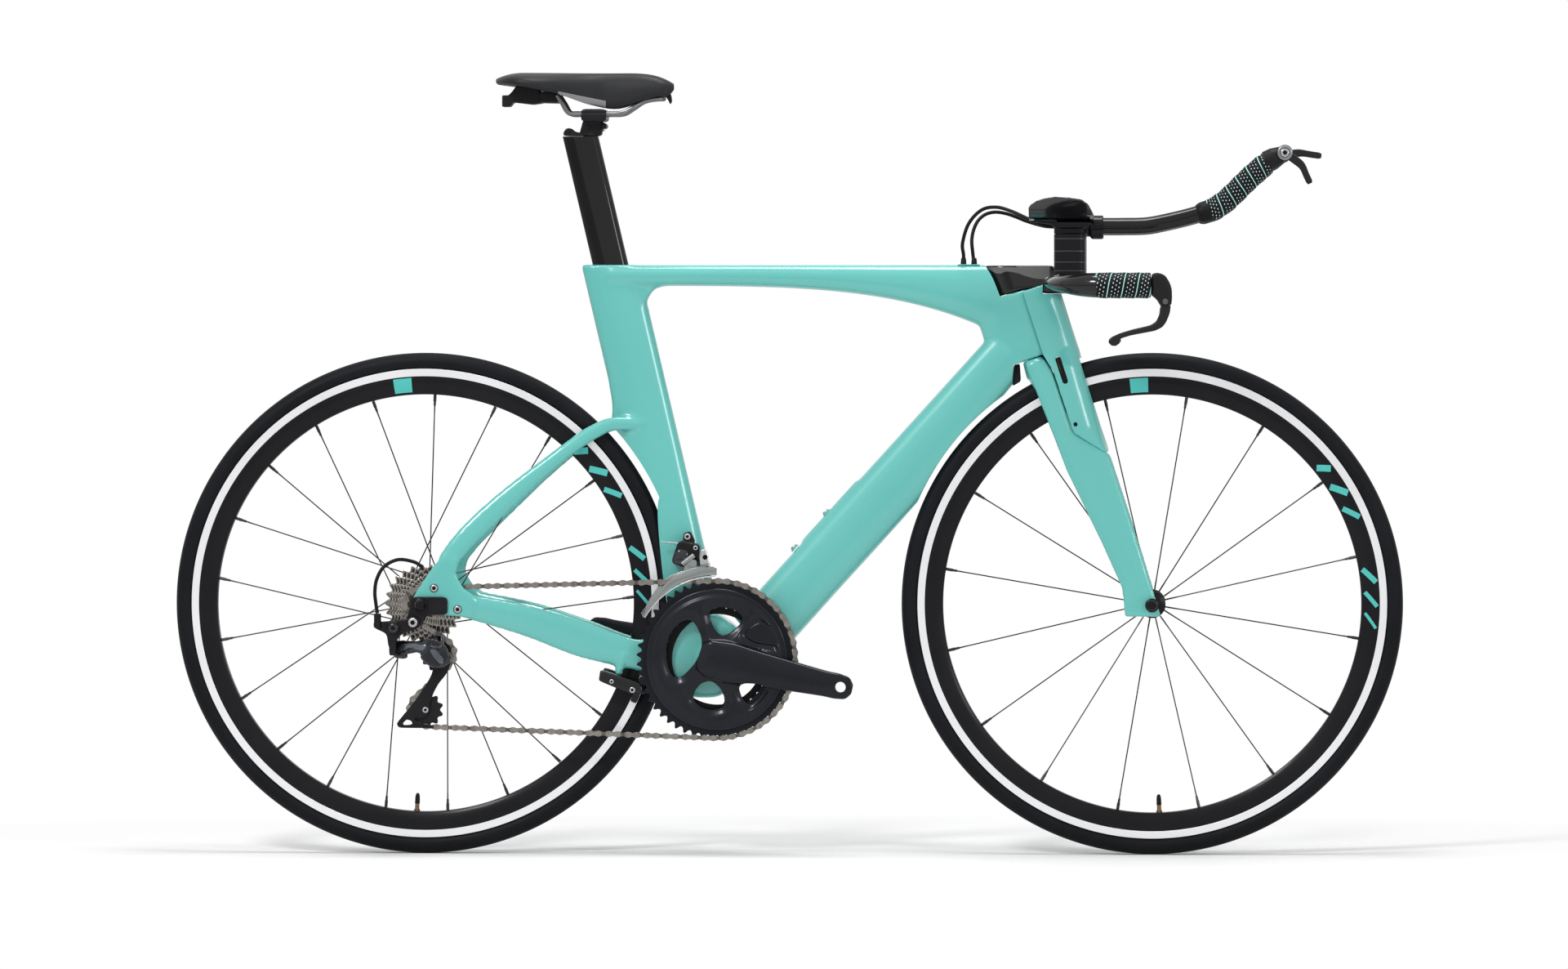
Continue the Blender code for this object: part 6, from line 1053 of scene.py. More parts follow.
shapes = []
for k, teeth in enumerate(COG_TEETH):
    edge = toothed_edge(REAR_AXLE, teeth, pitch_radius(teeth), 0.0036, 0.0024)
    hole = 0.0105 if k < 3 else max(pitch_radius(teeth) - 0.0125, 0.015)
    shapes.append(ring_plate(REAR_AXLE, edge, hole, -SMALL_COG_SIDE + k * COG_SPACING, 0.0018, 0.004))
core = []
for k in range(11):
    side = -SMALL_COG_SIDE + k * COG_SPACING
    reach = 0.0158 if k < 3 else max(pitch_radius(COG_TEETH[k]) - 0.0115, 0.0165)
    core += [(reach, side - 0.0007), (reach, side + 0.0007), (0.015, side + 0.0008),
             (0.015, side + COG_SPACING - 0.001)]
core = core[:-1] + [(0.009, core[-2][1] + 0.0004), (0.009, -0.0622), (0.015, -0.0622), (0.0152, -0.0614)]
piece("cassette_spacers", turned(core, REAR_AXLE, 72), core_black, "cassette_body", crease=28)
shapes.append(turned([(0.015, -0.0622), (0.0146, -0.0631), (0.01, -0.0634), (0.0096, -0.0628),
                      (0.0096, -0.0612), (0.015, -0.0612)], REAR_AXLE, 72))
piece("cassette_cogs", shapes, cog_steel_painted_shade, "cassette_body", ["cassette"], crease=28)

# Chain: half-inch bush roller links, nickel plated, in one loop over ring, cog and the two pulleys.
# Inner and outer links take turns; the belt path is made of arcs on the pitch circles and tangents.
guide, tension = (np.array((REAR_AXLE[0] + x, -SMALL_COG_SIDE, REAR_AXLE[2] + z))
                  for x, z in ((0.0218, -0.066), (0.0054, -0.1404)))
chain_steel = finish("chain_steel", (0.3, 0.28, 0.255), (0.15, 0.136, 0.122), 0.28, spread=0.2,
                     metallic=0.9, broad=150, fine=1800, bump=0.1)
# Painted shade: the inner plates take the outer plates' steel at half the brightness, and the rollers a far
# darker copy, for the shade between the plates.
chain_inner_painted_shade = finish("chain_inner_steel_shaded", (0.145, 0.133, 0.12), (0.07, 0.063, 0.057), 0.34, spread=0.2,
                    metallic=0.9, broad=150, fine=1800, bump=0.1)
roller_steel_painted_shade = finish("roller_steel_painted_shade", (0.03, 0.026, 0.024), (0.016, 0.014, 0.013), 0.3, metallic=0.8)


def belt():
    """Closely spaced points of the loop in order, with the side offset at each."""
    wheels = ((BRACKET, pitch_radius(52), 1, RING_SIDE), (REAR_AXLE, pitch_radius(11), 1, -SMALL_COG_SIDE),
              (guide, pitch_radius(11), -1, -SMALL_COG_SIDE),
              (tension, pitch_radius(11), 1, -SMALL_COG_SIDE))
    legs = []
    for k, (centre, radius, sense, side) in enumerate(wheels):
        follow = wheels[(k + 1) % 4]
        gap = (follow[0] - centre)[[0, 2]]
        lean = math.acos((radius * sense - follow[1] * follow[2]) / np.linalg.norm(gap))
        legs.append(math.atan2(gap[1], gap[0]) - lean)
    path = []
    for k, (centre, radius, sense, side) in enumerate(wheels):
        turned_over = 0 if sense > 0 else math.pi
        arrive, leave = legs[k - 1] + turned_over, legs[k] + turned_over
        sweep = (leave - arrive) * sense % (2 * math.pi) * sense
        angle = arrive + sweep * np.linspace(0, 1, max(int(abs(sweep) * radius / 0.0005), 8))
        arc = np.stack([centre[0] + radius * np.cos(angle), np.full(len(angle), side),
                        centre[2] + radius * np.sin(angle)], -1)
        path.append(arc)
    joined = []
    for k, arc in enumerate(path):
        follow = path[(k + 1) % 4]
        gap = follow[0] - arc[-1]
        share = np.linspace(0, 1, max(int(np.linalg.norm(gap) / 0.0005), 2))[1:-1, None]
        run = arc[-1] + gap * share * (1, 0, 1)
        run[:, 1] = arc[-1, 1] + (follow[0, 1] - arc[-1, 1]) * np.clip((share[:, 0] - 0.11) / 0.78, 0, 1)
        joined += [arc, run]
    return np.concatenate(joined)


loop = belt()
closed = np.concatenate([loop, loop[:1]])
run = distances(closed)
link_count = 2 * round(run[-1] / LINK_PITCH / 2)
at = np.arange(link_count + 1) * run[-1] / link_count
pins = np.stack([np.interp(at, run, closed[:, k]) for k in range(3)], -1)


def link_plate(start, end, out, inside, half, waist):
    """A waisted plate round two pins: half circles at its ends and a hollow between them."""
    way = unit(end - start)
    above = unit(np.cross(way, SIDEWAYS))
    turn = np.radians([-100, -60, -20, 20, 60, 100])
    middle = (start + end) / 2
    shape = [(end, half * np.cos(t), half * np.sin(t)) for t in turn] + [(middle, 0, waist)]
    shape += [(start, -half * np.cos(t), -half * np.sin(t)) for t in turn] + [(middle, 0, -waist)]
    flat = np.stack([point + way * a + above * b for point, a, b in shape])
    return skin([flat + SIDEWAYS * out, flat + SIDEWAYS * inside])


outer_plates, inner_plates, rivets, rollers = [], [], [], []
for k in range(link_count):
    start, end = pins[k], pins[k + 1]
    for hand in (-1, 1):
        near_side, far_side = (0.0018, 0.0024) if k % 2 else (0.0011, 0.0017)
        half, waist = (0.0041, 0.0025) if k % 2 else (0.0038, 0.0022)
        (outer_plates if k % 2 else inner_plates).append(
            link_plate(start, end, hand * far_side, hand * near_side, half, waist))
    rivets.append(rod(start, (-0.0027, 0.0027), 0.0016, 8))
    rollers.append(rod(start, (-0.0011, 0.0011), 0.0036, 10))
piece("chain_outer_plates", outer_plates, chain_steel, "frame_body", ["chain"], crease=30)
piece("chain_inner_plates", inner_plates, chain_inner_painted_shade, "frame_body", crease=30)
piece("chain_rivets", rivets, chain_steel, "frame_body", crease=30)
piece("chain_rollers", rollers, roller_steel_painted_shade, "frame_body", crease=30)

# Rear derailleur: forged and painted alloy, hung from a bolted hanger plate.
# Its knuckle holds a slanting link, the link a second knuckle, and that one the sprung cage.
HANGER_OUTER, HANGER_INNER = 0.0776, 0.0726
gloss_grey = finish("derailleur_paint", (0.0105, 0.0125, 0.0165), (0.0165, 0.019, 0.024), 0.24,
                    metallic=0.5, fine=700, bump=0.03, coat=0.8, coat_roughness=0.06)
dark_alloy = finish("derailleur_alloy", (0.012, 0.012, 0.013), (0.02, 0.02, 0.022), 0.36, metallic=0.5,
                    bump=0.06)
screw_steel = finish("screw_steel", (0.45, 0.45, 0.46), (0.36, 0.36, 0.37), 0.28, metallic=1.0, fine=1500,
                     bump=0.06)
socket_painted_shade = finish("screw_socket_shade", (0.004, 0.004, 0.005), (0.006, 0.006, 0.007), 0.5)
hanger_edge = about(REAR_AXLE, (-0.0122, 0.011), (0.036, 0.011), (0.036, -0.013), (0.006, -0.013),
                    (0.001, -0.026), (-0.008, -0.0325), (-0.018, -0.028), (-0.019, -0.018),
                    (-0.014, -0.006))
plate = slab(rounded(hanger_edge, 6, 0.2), -HANGER_OUTER, -HANGER_INNER, 0.0008)
hanger = melted(piece("hanger_plate", plate, dark_alloy), 0.0007, 2)
carve(hanger, [drum(REAR_AXLE, 0.003, 0.09, 32)])
recess = about(REAR_AXLE, (0.01, 0.0085), (0.033, 0.0085), (0.033, -0.0105), (0.01, -0.0105))
carve(hanger, [slab(rounded(recess, 6, 0.2), -0.08, -0.0766)])
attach(hanger, "frame_body")
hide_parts("derailleur_hanger")


def screw(middle, way, radius, body, name, depth=0.0016, hex_size=0.5, material=None):
    """A round-headed screw with a hexagon socket, standing on a face and pointing along a way."""
    way = np.asarray(way, float) / np.linalg.norm(way)
    beside = np.cross(way, (0.0, 1.0, 0.0) if abs(way[1]) < 0.9 else (1.0, 0.0, 0.0))
    beside /= np.linalg.norm(beside)
    other = np.cross(way, beside)
    turn = np.arange(24) * 2 * np.pi / 24
    circle = beside * np.cos(turn)[:, None] + other * np.sin(turn)[:, None]
    corner = np.cos(np.pi / 6) / np.cos((turn + np.pi / 6) % (np.pi / 3) - np.pi / 6)
    rings = [(1.0, 0.0, 1), (1.0, 0.55, 1), (0.9, 0.86, 1), (0.76, 1.0, 1), (hex_size * 1.08, 1.0, corner),
             (hex_size, 0.92, corner), (hex_size, 0.25, corner)]
    points = np.stack([middle + circle * (radius * share * np.broadcast_to(bend, (24,)))[:, None]
                       + way * depth * up for share, up, bend in rings])
    made = piece(name, skin(points), material or screw_steel, body, crease=30)
    # Painted shade: the socket's walls and floor take a near-black material for the shade inside the
    # recess.
    made.data.materials.append(socket_painted_shade)
    for face in made.data.polygons:
        out = np.array(face.center) - middle
        if np.linalg.norm(out - way * (out @ way)) < radius * hex_size * 1.01:
            face.material_index = 1
    return made


def bolt_shape(middle, rows, sides=48):
    """A stepped round body about an axis along Y: side and radius at each step."""
    side, radius = np.asarray(rows, float).T
    return rod(np.asarray(middle) * (1, 0, 1), side, radius, sides)


BOLT, B_PIVOT = REAR_AXLE + (-0.0093, 0, -0.0229), REAR_AXLE + (-0.0352, 0, -0.0302)
LINK_ROOT = REAR_AXLE + (-0.025, -0.062, -0.06)
SWING_TILT, SWING_REST, LINK_LENGTH = math.radians(28), math.radians(24.8), 0.05
LINK_AXIS = np.array((0, math.sin(SWING_TILT), math.cos(SWING_TILT)))
LINK_SIDE = np.array((0, math.cos(SWING_TILT), -math.sin(SWING_TILT)))
LINK_WAY = np.array((math.cos(SWING_REST), 0, 0)) - LINK_SIDE * math.sin(SWING_REST)
LINK_TIP = LINK_ROOT + LINK_WAY * LINK_LENGTH
CAGE_PIVOT = REAR_AXLE + (0.0308, 0, -0.07)
KNUCKLE = -0.0779
arm = slab(rounded(about(REAR_AXLE, (-0.001, -0.015), (-0.002, -0.031), (-0.02, -0.036), (-0.028, -0.042),
                         (-0.036, -0.056), (-0.042, -0.0565), (-0.0445, -0.038), (-0.062, -0.03),
                         (-0.062, -0.022), (-0.046, -0.0215), (-0.02, -0.019)), 5, 0.28),
           KNUCKLE - 0.0072, KNUCKLE, 0.0012)


def leaned(middle, along, size_way, size_across, size_axis, across):
    """A block whose sides run along a way, across it and along the link's axis, its edges stepped in."""
    along, across = np.asarray(along), np.asarray(across)
    rings = []
    for up, pull in ((-1, 0.85), (-0.85, 1), (0.85, 1), (1, 0.85)):
        corners = rounded([(-1, -1), (1, -1), (1, 1), (-1, 1)], 4, 0.25) * 0.5
        rings.append(middle + LINK_AXIS * up * size_axis / 2
                     + (along * corners[:, :1] * size_way + across * corners[:, 1:] * size_across) * pull)
    return skin(rings)


def clevis_shapes(centre, facing):
    """Two round ears with their cheeks about a pin on the link's axis, and the bridge behind them."""
    gap, across = 0.0073, np.cross(LINK_AXIS, facing)
    shapes = [rod(centre, (s * gap, s * (gap + 0.0035)), 0.0068, 32, LINK_AXIS) for s in (-1, 1)]
    shapes += [leaned(centre - facing * 0.0045 + LINK_AXIS * s * (gap + 0.00175), facing, 0.009, 0.011,
                      0.0034, across) for s in (-1, 1)]
    return shapes + [leaned(centre - facing * 0.0088, facing, 0.004, 0.012, 2 * (gap + 0.003), across)]


FORWARD = np.array((1.0, 0, 0))
post = about(LINK_ROOT, (-0.0163, -0.007), (-0.0073, -0.007), (-0.0073, 0.026), (-0.0163, 0.026))
socket = np.array([(-0.0564, KNUCKLE - 0.008, -0.03), (-0.0564, KNUCKLE - 0.008, -0.0112)])
knuckle = piece("derailleur_knuckle", [
    arm, bolt_shape(B_PIVOT, [(KNUCKLE, 0.009), (KNUCKLE - 0.011, 0.009), (KNUCKLE - 0.013, 0.0074)]),
    bolt_shape(BOLT, [(KNUCKLE, 0.0078), (KNUCKLE - 0.008, 0.0078), (KNUCKLE - 0.0088, 0.007)]),
    slab(rounded(post, 4, 0.2), -0.0846, -0.0596, 0.001), *clevis_shapes(LINK_ROOT, FORWARD),
    pipe(REAR_AXLE + socket, 0.0048, sides=32)], dark_alloy)
melted(knuckle, 0.0007, 3)
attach(knuckle, "frame_body")
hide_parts("rd_b_knuckle")
screw(B_PIVOT + (0, KNUCKLE - 0.0129, 0), (0, -1, 0), 0.0058, "frame_body", "b_pivot_bolt", 0.0012,
      material=gloss_grey)
screw(BOLT + (0, KNUCKLE - 0.0087, 0), (0, -1, 0), 0.0062, "frame_body", "hanger_bolt", 0.0022)
piece("barrel_adjuster",
      pipe(REAR_AXLE + np.array([(-0.0564, KNUCKLE - 0.008, -0.025), (-0.0564, KNUCKLE - 0.008, -0.011)])
           + (0, 0, 0.0001), 0.004, sides=24), dark_alloy, "frame_body")

across = np.cross(LINK_AXIS, LINK_WAY)
swing = [rod(end, (-0.007, 0.007), 0.0055, 32, LINK_AXIS) for end in (LINK_ROOT, LINK_TIP)]
swing.append(leaned((LINK_ROOT + LINK_TIP) / 2, LINK_WAY, LINK_LENGTH, 0.008, 0.0136, across))
link = melted(piece("derailleur_link", swing, dark_alloy), 0.0007, 3)
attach(link, "link")
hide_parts("rd_link")


def shield(points, rise, name, body, material):
    """A thin cover plate over a link: its outline in the bike's plane, sloping with the link."""
    flat = rounded(points, 6, 0.3)
    middle = flat.mean(0)
    rings = []
    for pull, up in ((0.9, 0.0016), (1.0, 0.0008), (1.0, 0.0), (0.86, -0.0012), (0.55, -0.002)):
        moved = middle + (flat - middle) * pull
        side = rise[0] + rise[1] * (moved[:, 0] - REAR_AXLE[0]) + up
        rings.append(at_side(moved, side))
    return piece(name, skin(rings), material, body, crease=30)


slope = LINK_WAY[1] / LINK_WAY[0]
# Painted highlight: lighter plates laid on the link and the cage knuckle stand in for the light streaks on
# the glossy paint.
link_highlight_face = finish("link_highlight_paint", (0.075, 0.088, 0.105), (0.11, 0.125, 0.145), 0.24, metallic=0.75, fine=700,
                   bump=0.03, coat=0.8, coat_roughness=0.05)
shield(about(REAR_AXLE, (-0.0397, -0.0685), (-0.0312, -0.0504), (-0.0193, -0.0476), (0.0047, -0.0487),
             (0.0095, -0.0437), (0.0151, -0.0487), (0.0196, -0.0583), (0.0033, -0.0654), (-0.016, -0.06),
             (-0.0244, -0.0702)),
       (LINK_ROOT[1] - 0.0078 + slope * 0.025, slope), "derailleur_link_shield", "link", gloss_grey)
shield(about(REAR_AXLE, (-0.0344, -0.0656), (-0.0287, -0.0526), (-0.005, -0.0509), (0.0097, -0.0526),
             (0.0035, -0.0616), (-0.0158, -0.056)),
       (LINK_ROOT[1] - 0.0098 + slope * 0.025, slope), "derailleur_link_highlight_facet", "link", link_highlight_face)

BOSS = 0.067
body_edge = about(REAR_AXLE, (0.01, -0.0434), (0.0235, -0.0457), (0.0362, -0.0559), (0.0399, -0.0694),
                  (0.0348, -0.0813), (0.0212, -0.0847), (0.008, -0.0784), (-0.0002, -0.0694),
                  (0.0037, -0.0638), (0.0094, -0.0581))
knuckle = piece("derailleur_cage_knuckle", [
    *clevis_shapes(LINK_TIP, -FORWARD),
    bolt_shape(CAGE_PIVOT, [(-BOSS - FIT, 0.0105), (-BOSS - 0.0165, 0.0105), (-BOSS - 0.019, 0.0088)]),
    slab(rounded(body_edge, 6, 0.3), -0.0865, -0.08, 0.0016),
    slab(rounded(about(LINK_TIP, (0.0062, -0.03), (0.0118, -0.03), (0.0118, 0.0), (0.0062, 0.0)), 4, 0.2),
         LINK_TIP[1] - 0.0062, LINK_TIP[1] + 0.006, 0.001)], gloss_grey)
melted(knuckle, 0.0007, 3)
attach(knuckle, "knuckle")
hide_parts("rd_p_knuckle")
ridge = rounded(about(REAR_AXLE, (0.0142, -0.054), (0.0185, -0.053), (0.025, -0.0618), (0.0315, -0.0711),
                      (0.0321, -0.0784), (0.0259, -0.0773), (0.0172, -0.067), (0.0138, -0.0605)), 6, 0.3)
crest = [ridge.mean(0) + (ridge - ridge.mean(0)) * pull for pull in (1.0, 0.97, 0.8)]
# Painted highlight: a lighter raised facet on the cage knuckle, for a light streak on it.
piece("cage_knuckle_highlight_facet",
      skin([at_side(row, side) for row, side in zip(crest, (-0.0862, -0.0872, -0.088))]), link_highlight_face,
      "knuckle", crease=30)

CAGE_OUTER = 0.063
outer_edge = about(REAR_AXLE, (0.0207, -0.0634), (0.0306, -0.0577), (0.0379, -0.0704), (0.0382, -0.0823),
                   (0.0328, -0.0936), (0.0232, -0.105), (0.017, -0.1163), (0.0136, -0.1248),
                   (0.0108, -0.1321), (0.0113, -0.1384), (0.0113, -0.1426), (0.0057, -0.1497),
                   (-0.0006, -0.1519), (-0.0057, -0.1511), (-0.0102, -0.1525), (-0.0006, -0.1587),
                   (0.017, -0.1621), (0.0158, -0.1647), (-0.0091, -0.1647), (-0.0303, -0.1644),
                   (-0.0334, -0.1587), (-0.0243, -0.1474), (-0.0124, -0.1333), (-0.0045, -0.1225),
                   (0.0034, -0.1106), (0.0102, -0.0999), (0.0147, -0.0908), (0.0153, -0.0818),
                   (0.0147, -0.0704))
inner_edge = about(REAR_AXLE, (0.027, -0.059), (0.029, -0.074), (0.023, -0.095), (0.014, -0.112),
                   (0.008, -0.129), (0.0105, -0.14), (0.006, -0.147), (-0.0005, -0.145), (-0.0015, -0.133),
                   (0.005, -0.113), (0.015, -0.088), (0.015, -0.066), (0.02, -0.058))
cage = piece("derailleur_cage", [
    slab(rounded(outer_edge, 5, 0.3), -CAGE_OUTER - 0.0016, -CAGE_OUTER, 0.0004),
    slab(rounded(inner_edge, 5, 0.3), -0.057, -0.0554, 0.0004)], dark_alloy)
hole = about(REAR_AXLE, (-0.0249, -0.1585), (-0.0198, -0.1533), (-0.014, -0.1548), (-0.0118, -0.1585),
             (-0.0147, -0.1603), (-0.0232, -0.1608))
carve(cage, [slab(rounded(hole, 5, 0.3), -0.068, -0.061)])
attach(cage, "cage")
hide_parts("rd_cage")
pin_shapes = [bolt_shape(guide, [(-0.0642, 0.0025), (-0.0558, 0.0025)]),
              bolt_shape(tension, [(-0.0642, 0.0025), (-0.0558, 0.0025)]),
              bolt_shape(CAGE_PIVOT, [(-CAGE_OUTER, 0.008), (-BOSS, 0.008)])]
piece("derailleur_cage_pins", pin_shapes, screw_steel, "cage")
for wheel, word in ((tension, "tension"), (guide, "guide")):
    screw(wheel + (0, -0.0046, 0), (0, -1, 0), 0.004, "cage", word + "_bolt", 0.0014)
pulley_plastic = finish("pulley_plastic", (0.011, 0.011, 0.012), (0.017, 0.017, 0.018), 0.45)
for name, centre, body in (("guide", guide, "upper_pulley"), ("tension", tension, "lower_pulley")):
    teeth = toothed_edge(centre, 11, pitch_radius(11), 0.0032, 0.0012)
    wheel = [ring_plate(centre, teeth, 0.0029, centre[1], 0.0018, 0.004),
             turned([(0.0062, -0.0023), (0.0062, 0.0023), (0.0029, 0.0023), (0.0029, -0.0023)], centre, 48)]
    piece(name + "_pulley_wheel", wheel, pulley_plastic, body, [name + "_pulley"], crease=28)

# Front derailleur: an alloy body bolted to the seat tube, and a pressed and plated cage on a pivot.
# The cage's outer plate is deep in front, and narrows to the rear where the two plates are joined.
cage_silver = finish("cage_plate", (0.27, 0.29, 0.285), (0.21, 0.225, 0.225), 0.24, metallic=1.0,
                     bump=0.04)
flange_bright = finish("cage_flange", (0.62, 0.62, 0.64), (0.5, 0.5, 0.51), 0.2, metallic=1.0,
                       bump=0.04)
FD_PIVOT = BRACKET + (-0.0384, -0.045, 0.1335)
FD_WAY = unit(np.array((0.79, 0, 0.613)))
fd_body = piece("front_derailleur_mount", [
    slab(rounded(about(BRACKET, (-0.062, 0.129), (-0.052, 0.159), (-0.023, 0.153), (-0.024, 0.139),
                       (-0.029, 0.122), (-0.042, 0.1215)), 6, 0.22), -0.04, -0.0135, 0.002),
    slab(rounded(about(BRACKET, (-0.047, 0.15), (-0.045, 0.169), (-0.036, 0.171), (-0.029, 0.156)), 6, 0.3),
         -0.0375, -0.022, 0.0012)], dark_alloy)
melted(fd_body, 0.0009, 3)
post = seat_tube_shape()
carve(fd_body, [(post[0] * (1, 1.02, 1) + (0.0003, 0, 0), post[1], post[2])])
carve(fd_body, [slab(about(BRACKET, (-0.0475, 0.1155), (-0.0225, 0.1155), (-0.0225, 0.1365),
                           (-0.0475, 0.1365)), -0.044, -0.0344)])
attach(fd_body, "frame_body")
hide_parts("front_derailleur_body")
shield(about(BRACKET, (-0.06, 0.13), (-0.053, 0.148), (-0.039, 0.145), (-0.037, 0.129), (-0.048, 0.124)),
       (-0.041, 0.0), "front_derailleur_shield", "frame_body", gloss_grey)
screw(BRACKET + (-0.04, -0.0374, 0.164), (0, -1, 0), 0.0042, "frame_body", "cable_screw")
screw(BRACKET + (-0.029, -0.0399, 0.149), (0, -1, 0), 0.0032, "frame_body", "mount_screw")
piece("cable_end", pipe(BRACKET + np.array([(-0.045, -0.033, 0.154), (-0.06, -0.0335, 0.1555),
                                            (-0.076, -0.034, 0.157)]), 0.0009, sides=10), screw_steel,
      "frame_body")


def arc_plate(side, thick, low, high, start, end, count=40):
    """A flat strip about the bracket between two angles: its inner and outer radii at even steps."""
    angle = np.radians(np.linspace(start, end, count))
    share = np.linspace(0, 1, count)
    inner, outer = (np.interp(share, np.linspace(0, 1, len(r)), r) for r in (low, high))
    flat = np.concatenate([np.stack([outer * np.cos(angle), outer * np.sin(angle)], -1),
                           np.stack([inner * np.cos(angle), inner * np.sin(angle)], -1)[::-1]])
    return slab(flat + BRACKET[[0, 2]], side - thick / 2, side + thick / 2, thick * 0.3)


outer_low, outer_high = (0.1128, 0.1136, 0.112, 0.1107), (0.1225, 0.1262, 0.1255, 0.1216, 0.1172, 0.1148)
lug = about(FD_PIVOT, (-0.006, -0.019), (-0.005, 0.0), (0.011, 0.0), (0.012, -0.019))
fd_cage = piece("front_derailleur_cage_plates", [
    arc_plate(-0.0513, 0.0012, outer_low, outer_high, 90, 150),
    arc_plate(-0.0427, 0.0012, outer_low, (0.124, 0.1282, 0.116), 92, 150),
    arc_plate(-0.047, 0.008, (0.1247, 0.1247), (0.1275, 0.1275), 95, 106, 12),
    arc_plate(-0.047, 0.008, (0.1187 - 0.004, 0.1147), (0.1267 - 0.008, 0.1187), 144.5, 149, 8),
    rod(FD_PIVOT, (-0.01, 0.01), 0.004, 24, FD_WAY),
    slab(rounded(lug, 4, 0.2), -0.047, -0.0424, 0.0008)], cage_silver, crease=30)
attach(fd_cage, "fd_cage")
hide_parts("front_derailleur_cage")
piece("front_derailleur_flange", arc_plate(-0.0521, 0.0005, (0.1106, 0.1106), (0.1124, 0.1118), 91, 149.5),
      flange_bright, "fd_cage", crease=30)
mount = about((0, 0, 0), (-0.12, 0.4085), (-0.1085, 0.4095), (-0.103, 0.386), (-0.102, 0.3725),
              (-0.1165, 0.3735), (-0.119, 0.386))
melted(piece("front_derailleur_bracket", slab(rounded(mount, 5, 0.2), -0.0258, -0.018, 0.0012),
             flange_bright, "frame_body"), 0.0007, 2)
for word, x, z, radius in (("upper", -0.1105, 0.3985, 0.0034), ("lower", -0.109, 0.38, 0.003)):
    screw(np.array((x, -0.0258, z)), (0, -1, 0), radius, "frame_body", "bracket_screw_" + word,
          material=dark_alloy)

# Rear brake: two alloy arms on bosses under the chain stays, with two screws each.
# Each carries a block of the pad's size beside the rim's track.
brake_black = finish("brake_alloy", (0.012, 0.012, 0.013), (0.019, 0.019, 0.02), 0.34, metallic=0.5,
                     bump=0.06, coat=0.3, coat_roughness=0.12)
PAD_RADIUS = 0.30936


def block_along(middle, along, length, width, height, bevel):
    """A block with stepped edges, its length along a direction in the bike's plane."""
    above = np.cross(along, SIDEWAYS)
    above = above * (1 if above[2] > 0 else -1)
    corners = [middle + along * a * length / 2 + above * b * height / 2
               for a, b in ((-1, -1), (1, -1), (1, 1), (-1, 1))]
    return slab(rounded([p[[0, 2]] for p in corners], 4, 0.14), middle[1] - width / 2,
                middle[1] + width / 2, bevel)


for sign, word in SIDES:
    edge = [(BRAKE_TOP - BRAKE_SLOPE * 0.0235)[[0, 2]], (BRAKE_TOP + BRAKE_SLOPE * 0.035)[[0, 2]],
            *about(BRACKET, (-0.097, -0.047), (-0.12, -0.045), (-0.159, -0.029))]
    touch = math.atan2(BRACKET[2] - 0.042 - REAR_AXLE[2], BRACKET[0] - 0.107 - REAR_AXLE[0])
    centre = polar(REAR_AXLE, PAD_RADIUS, touch, sign * 0.0195)
    tangent = np.array((-math.sin(touch), 0, math.cos(touch)))
    near_side, far_side = sorted((sign * 0.022, sign * 0.043))
    arm = melted(piece("rear_brake_caliper_" + word,
                       [slab(rounded(edge, 6, 0.14), near_side, far_side, 0.003),
                        block_along(centre, tangent, 0.036, 0.011, 0.009, 0.001)], brake_black), 0.001, 3)
    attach(arm, "rear_arm_" + word)
    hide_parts("rear_brake_arm_" + word)
    screw(BRAKE_TOP + BRAKE_SLOPE * 0.026 - BRAKE_WAY * 0.012 + SIDEWAYS * sign * 0.0429, (0, sign, 0),
          0.004, "rear_arm_" + word, "rear_pad_screw_" + word, 0.002)
    screw(BRAKE_TOP - BRAKE_SLOPE * 0.004 - BRAKE_WAY * 0.01 + SIDEWAYS * sign * 0.0429, (0, sign, 0),
          0.003, "rear_arm_" + word, "rear_link_screw_" + word, 0.0012)

# Front brake: two slim arms hidden behind the cover, each with a block beside the rim's track.
# Each arm turns on the fork by itself when its lever is pulled.
for sign, word in SIDES:
    middle = steer(0.3265, 0.0315, sign * 0.0192)
    angle = math.atan2(*(steer(0.3093, 0.03) - FRONT_AXLE)[[2, 0]])
    centre = polar(FRONT_AXLE, PAD_RADIUS, angle, sign * (0.0113 + 0.0027 + 0.0036))
    tangent = np.array((-math.sin(angle), 0, math.cos(angle)))
    arm = melted(piece("front_brake_caliper_" + word, [
        block_along(middle, STEER_UP, 0.049, 0.0052, 0.011, 0.0008),
        block_along(centre, tangent, 0.025, 0.0072, 0.008, 0.0008)], brake_black), 0.0008, 2)
    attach(arm, "front_arm_" + word)
    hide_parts("front_brake_arm_" + word)

# Base bar: a flat carbon wing on an elliptic stem column, clamped to the steerer from behind.
# Its ends turn forward into two round grips, which are wound with perforated black tape.
BAR_CENTRE = np.array((0.373, 0.0, 0.765))
GRIP_END, GRIP_SIDE, GRIP_RADIUS = 0.486, 0.19, 0.0164
bar_black = finish("bar_carbon", (0.0055, 0.0055, 0.0065), (0.009, 0.009, 0.01), 0.24, fine=700, bump=0.03,
                   coat=0.5, coat_roughness=0.04, specular=0.1)
make, calc, mix, drift, feed = wired(bar_black)
